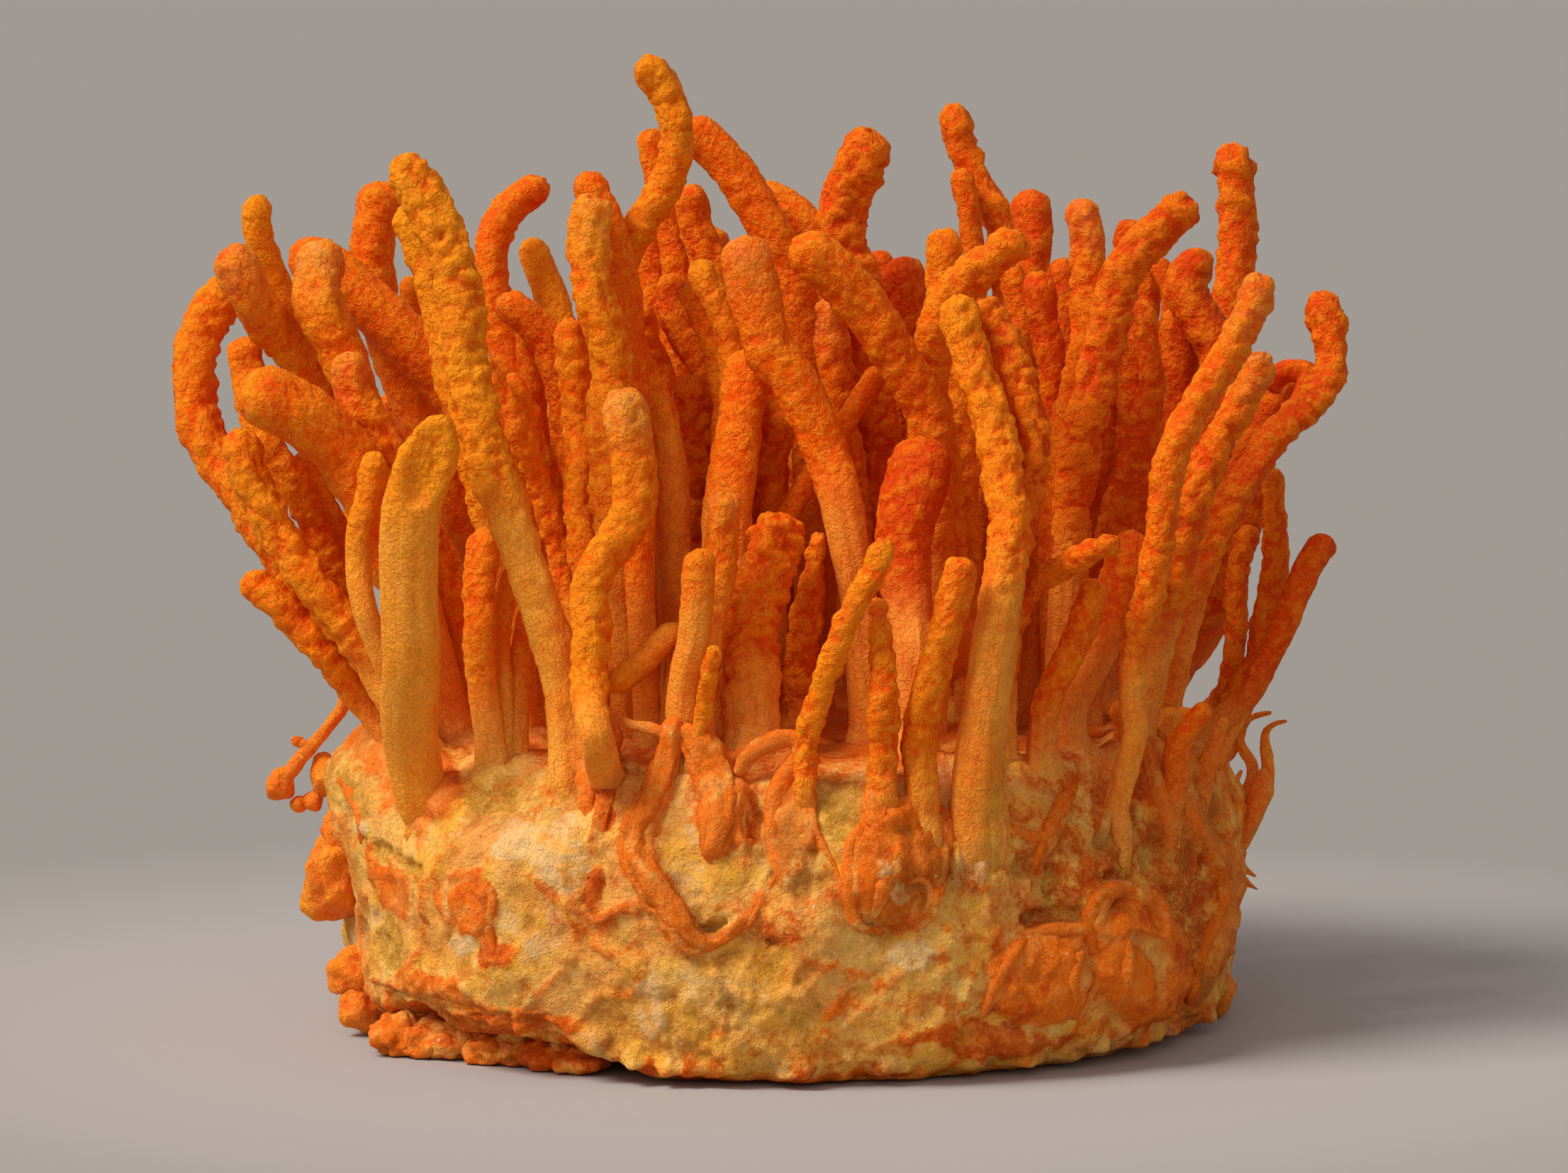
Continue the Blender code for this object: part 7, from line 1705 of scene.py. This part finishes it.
class FUNGUS_OT_stage(bpy.types.Operator):
    """Build the floor, the lights and the camera"""

    bl_idname = "fungus.stage"
    bl_label = "Stage"

    def execute(self, context):
        scene = context.scene
        colours = scene.fungus_colours
        rings = np.array(FLOOR_RINGS)[:, None]
        angle = np.arange(FLOOR_SIDES) / FLOOR_SIDES * TURN
        points = stacked(rings * np.cos(angle), rings * np.sin(angle), -FLOOR_BELOW)
        index = np.arange(rings.size * FLOOR_SIDES).reshape(rings.size, FLOOR_SIDES)
        beside = np.roll(index, -1, axis=1)
        quads = np.stack([index[:-1], index[1:], beside[1:], beside[:-1]], axis=-1).reshape(-1, 4)
        mesh = bpy.data.meshes.new("floor")
        mesh.from_pydata(points.reshape(-1, 3).tolist(), [], quads.tolist() + [index[0].tolist()])
        shader = Shader("floor")
        reach = shader.add("VectorMath", {0: shader.place()}, operation="LENGTH").outputs["Value"]
        # painted pool of light: lighter floor near the fungus, fading to the backdrop's grey farther out
        shade = shader.mix(shader.span(reach, 0.055, 0.13), colours.floor_light_pool, colours.floor_far)
        paint = {"Base Color": shade, "Roughness": 0.9, "Specular IOR Level": 0.1}
        mesh.materials.append(shader.finish(paint))
        floor = put_in_scene("floor", mesh)

        world = bpy.data.worlds.new("studio")
        world.use_nodes = True
        world.node_tree.nodes["Background"].inputs[0].default_value = (*STUDIO_LIGHT, 1)
        world.node_tree.nodes["Background"].inputs[1].default_value = 1
        scene.world = world
        for lamp in LAMPS:
            sun(*lamp)
        scene.view_settings.view_transform = "Standard"

        camera = bpy.data.cameras.new("camera")
        camera.lens = LENS
        camera.sensor_width = SENSOR
        camera.clip_start = 0.01
        holder = put_in_scene("camera", camera)
        holder.location = Vector((0, -EYE_DISTANCE, EYE_HEIGHT)) * MM
        aim = Vector((0, 0, LOOK_HEIGHT)) * MM - holder.location
        holder.rotation_euler = aim.to_track_quat("-Z", "Y").to_euler()
        scene.camera = holder
        return {"FINISHED"}


BUILDERS = (FUNGUS_OT_cake, FUNGUS_OT_growths, FUNGUS_OT_clubs, FUNGUS_OT_back_tufts, FUNGUS_OT_stage)


class FUNGUS_PT_panel(bpy.types.Panel):
    """Lists the builders, sizes and colours"""

    bl_idname = "FUNGUS_PT_panel"
    bl_label = "Fungus"
    bl_space_type = "VIEW_3D"
    bl_region_type = "UI"
    bl_category = "Fungus"

    def draw(self, context):
        for builder in BUILDERS:
            self.layout.operator(builder.bl_idname)
        for group in (context.scene.fungus_sizes, context.scene.fungus_colours):
            for name in type(group).__annotations__:
                self.layout.prop(group, name)


CLASSES = (FungusSizes, FungusColours, *BUILDERS, FUNGUS_PT_panel)


def register():
    """Makes the classes and the two groups of properties known to Blender."""
    for one in CLASSES:
        bpy.utils.register_class(one)
    bpy.types.Scene.fungus_sizes = PointerProperty(type=FungusSizes)
    bpy.types.Scene.fungus_colours = PointerProperty(type=FungusColours)


def unregister():
    """Takes back what `register` did."""
    del bpy.types.Scene.fungus_sizes
    del bpy.types.Scene.fungus_colours
    for one in reversed(CLASSES):
        bpy.utils.unregister_class(one)


def main():
    """Builds everything in order."""
    register()
    for builder in BUILDERS:
        area, action = builder.bl_idname.split(".")
        getattr(getattr(bpy.ops, area), action)()


if __name__ == "__main__":
    main()
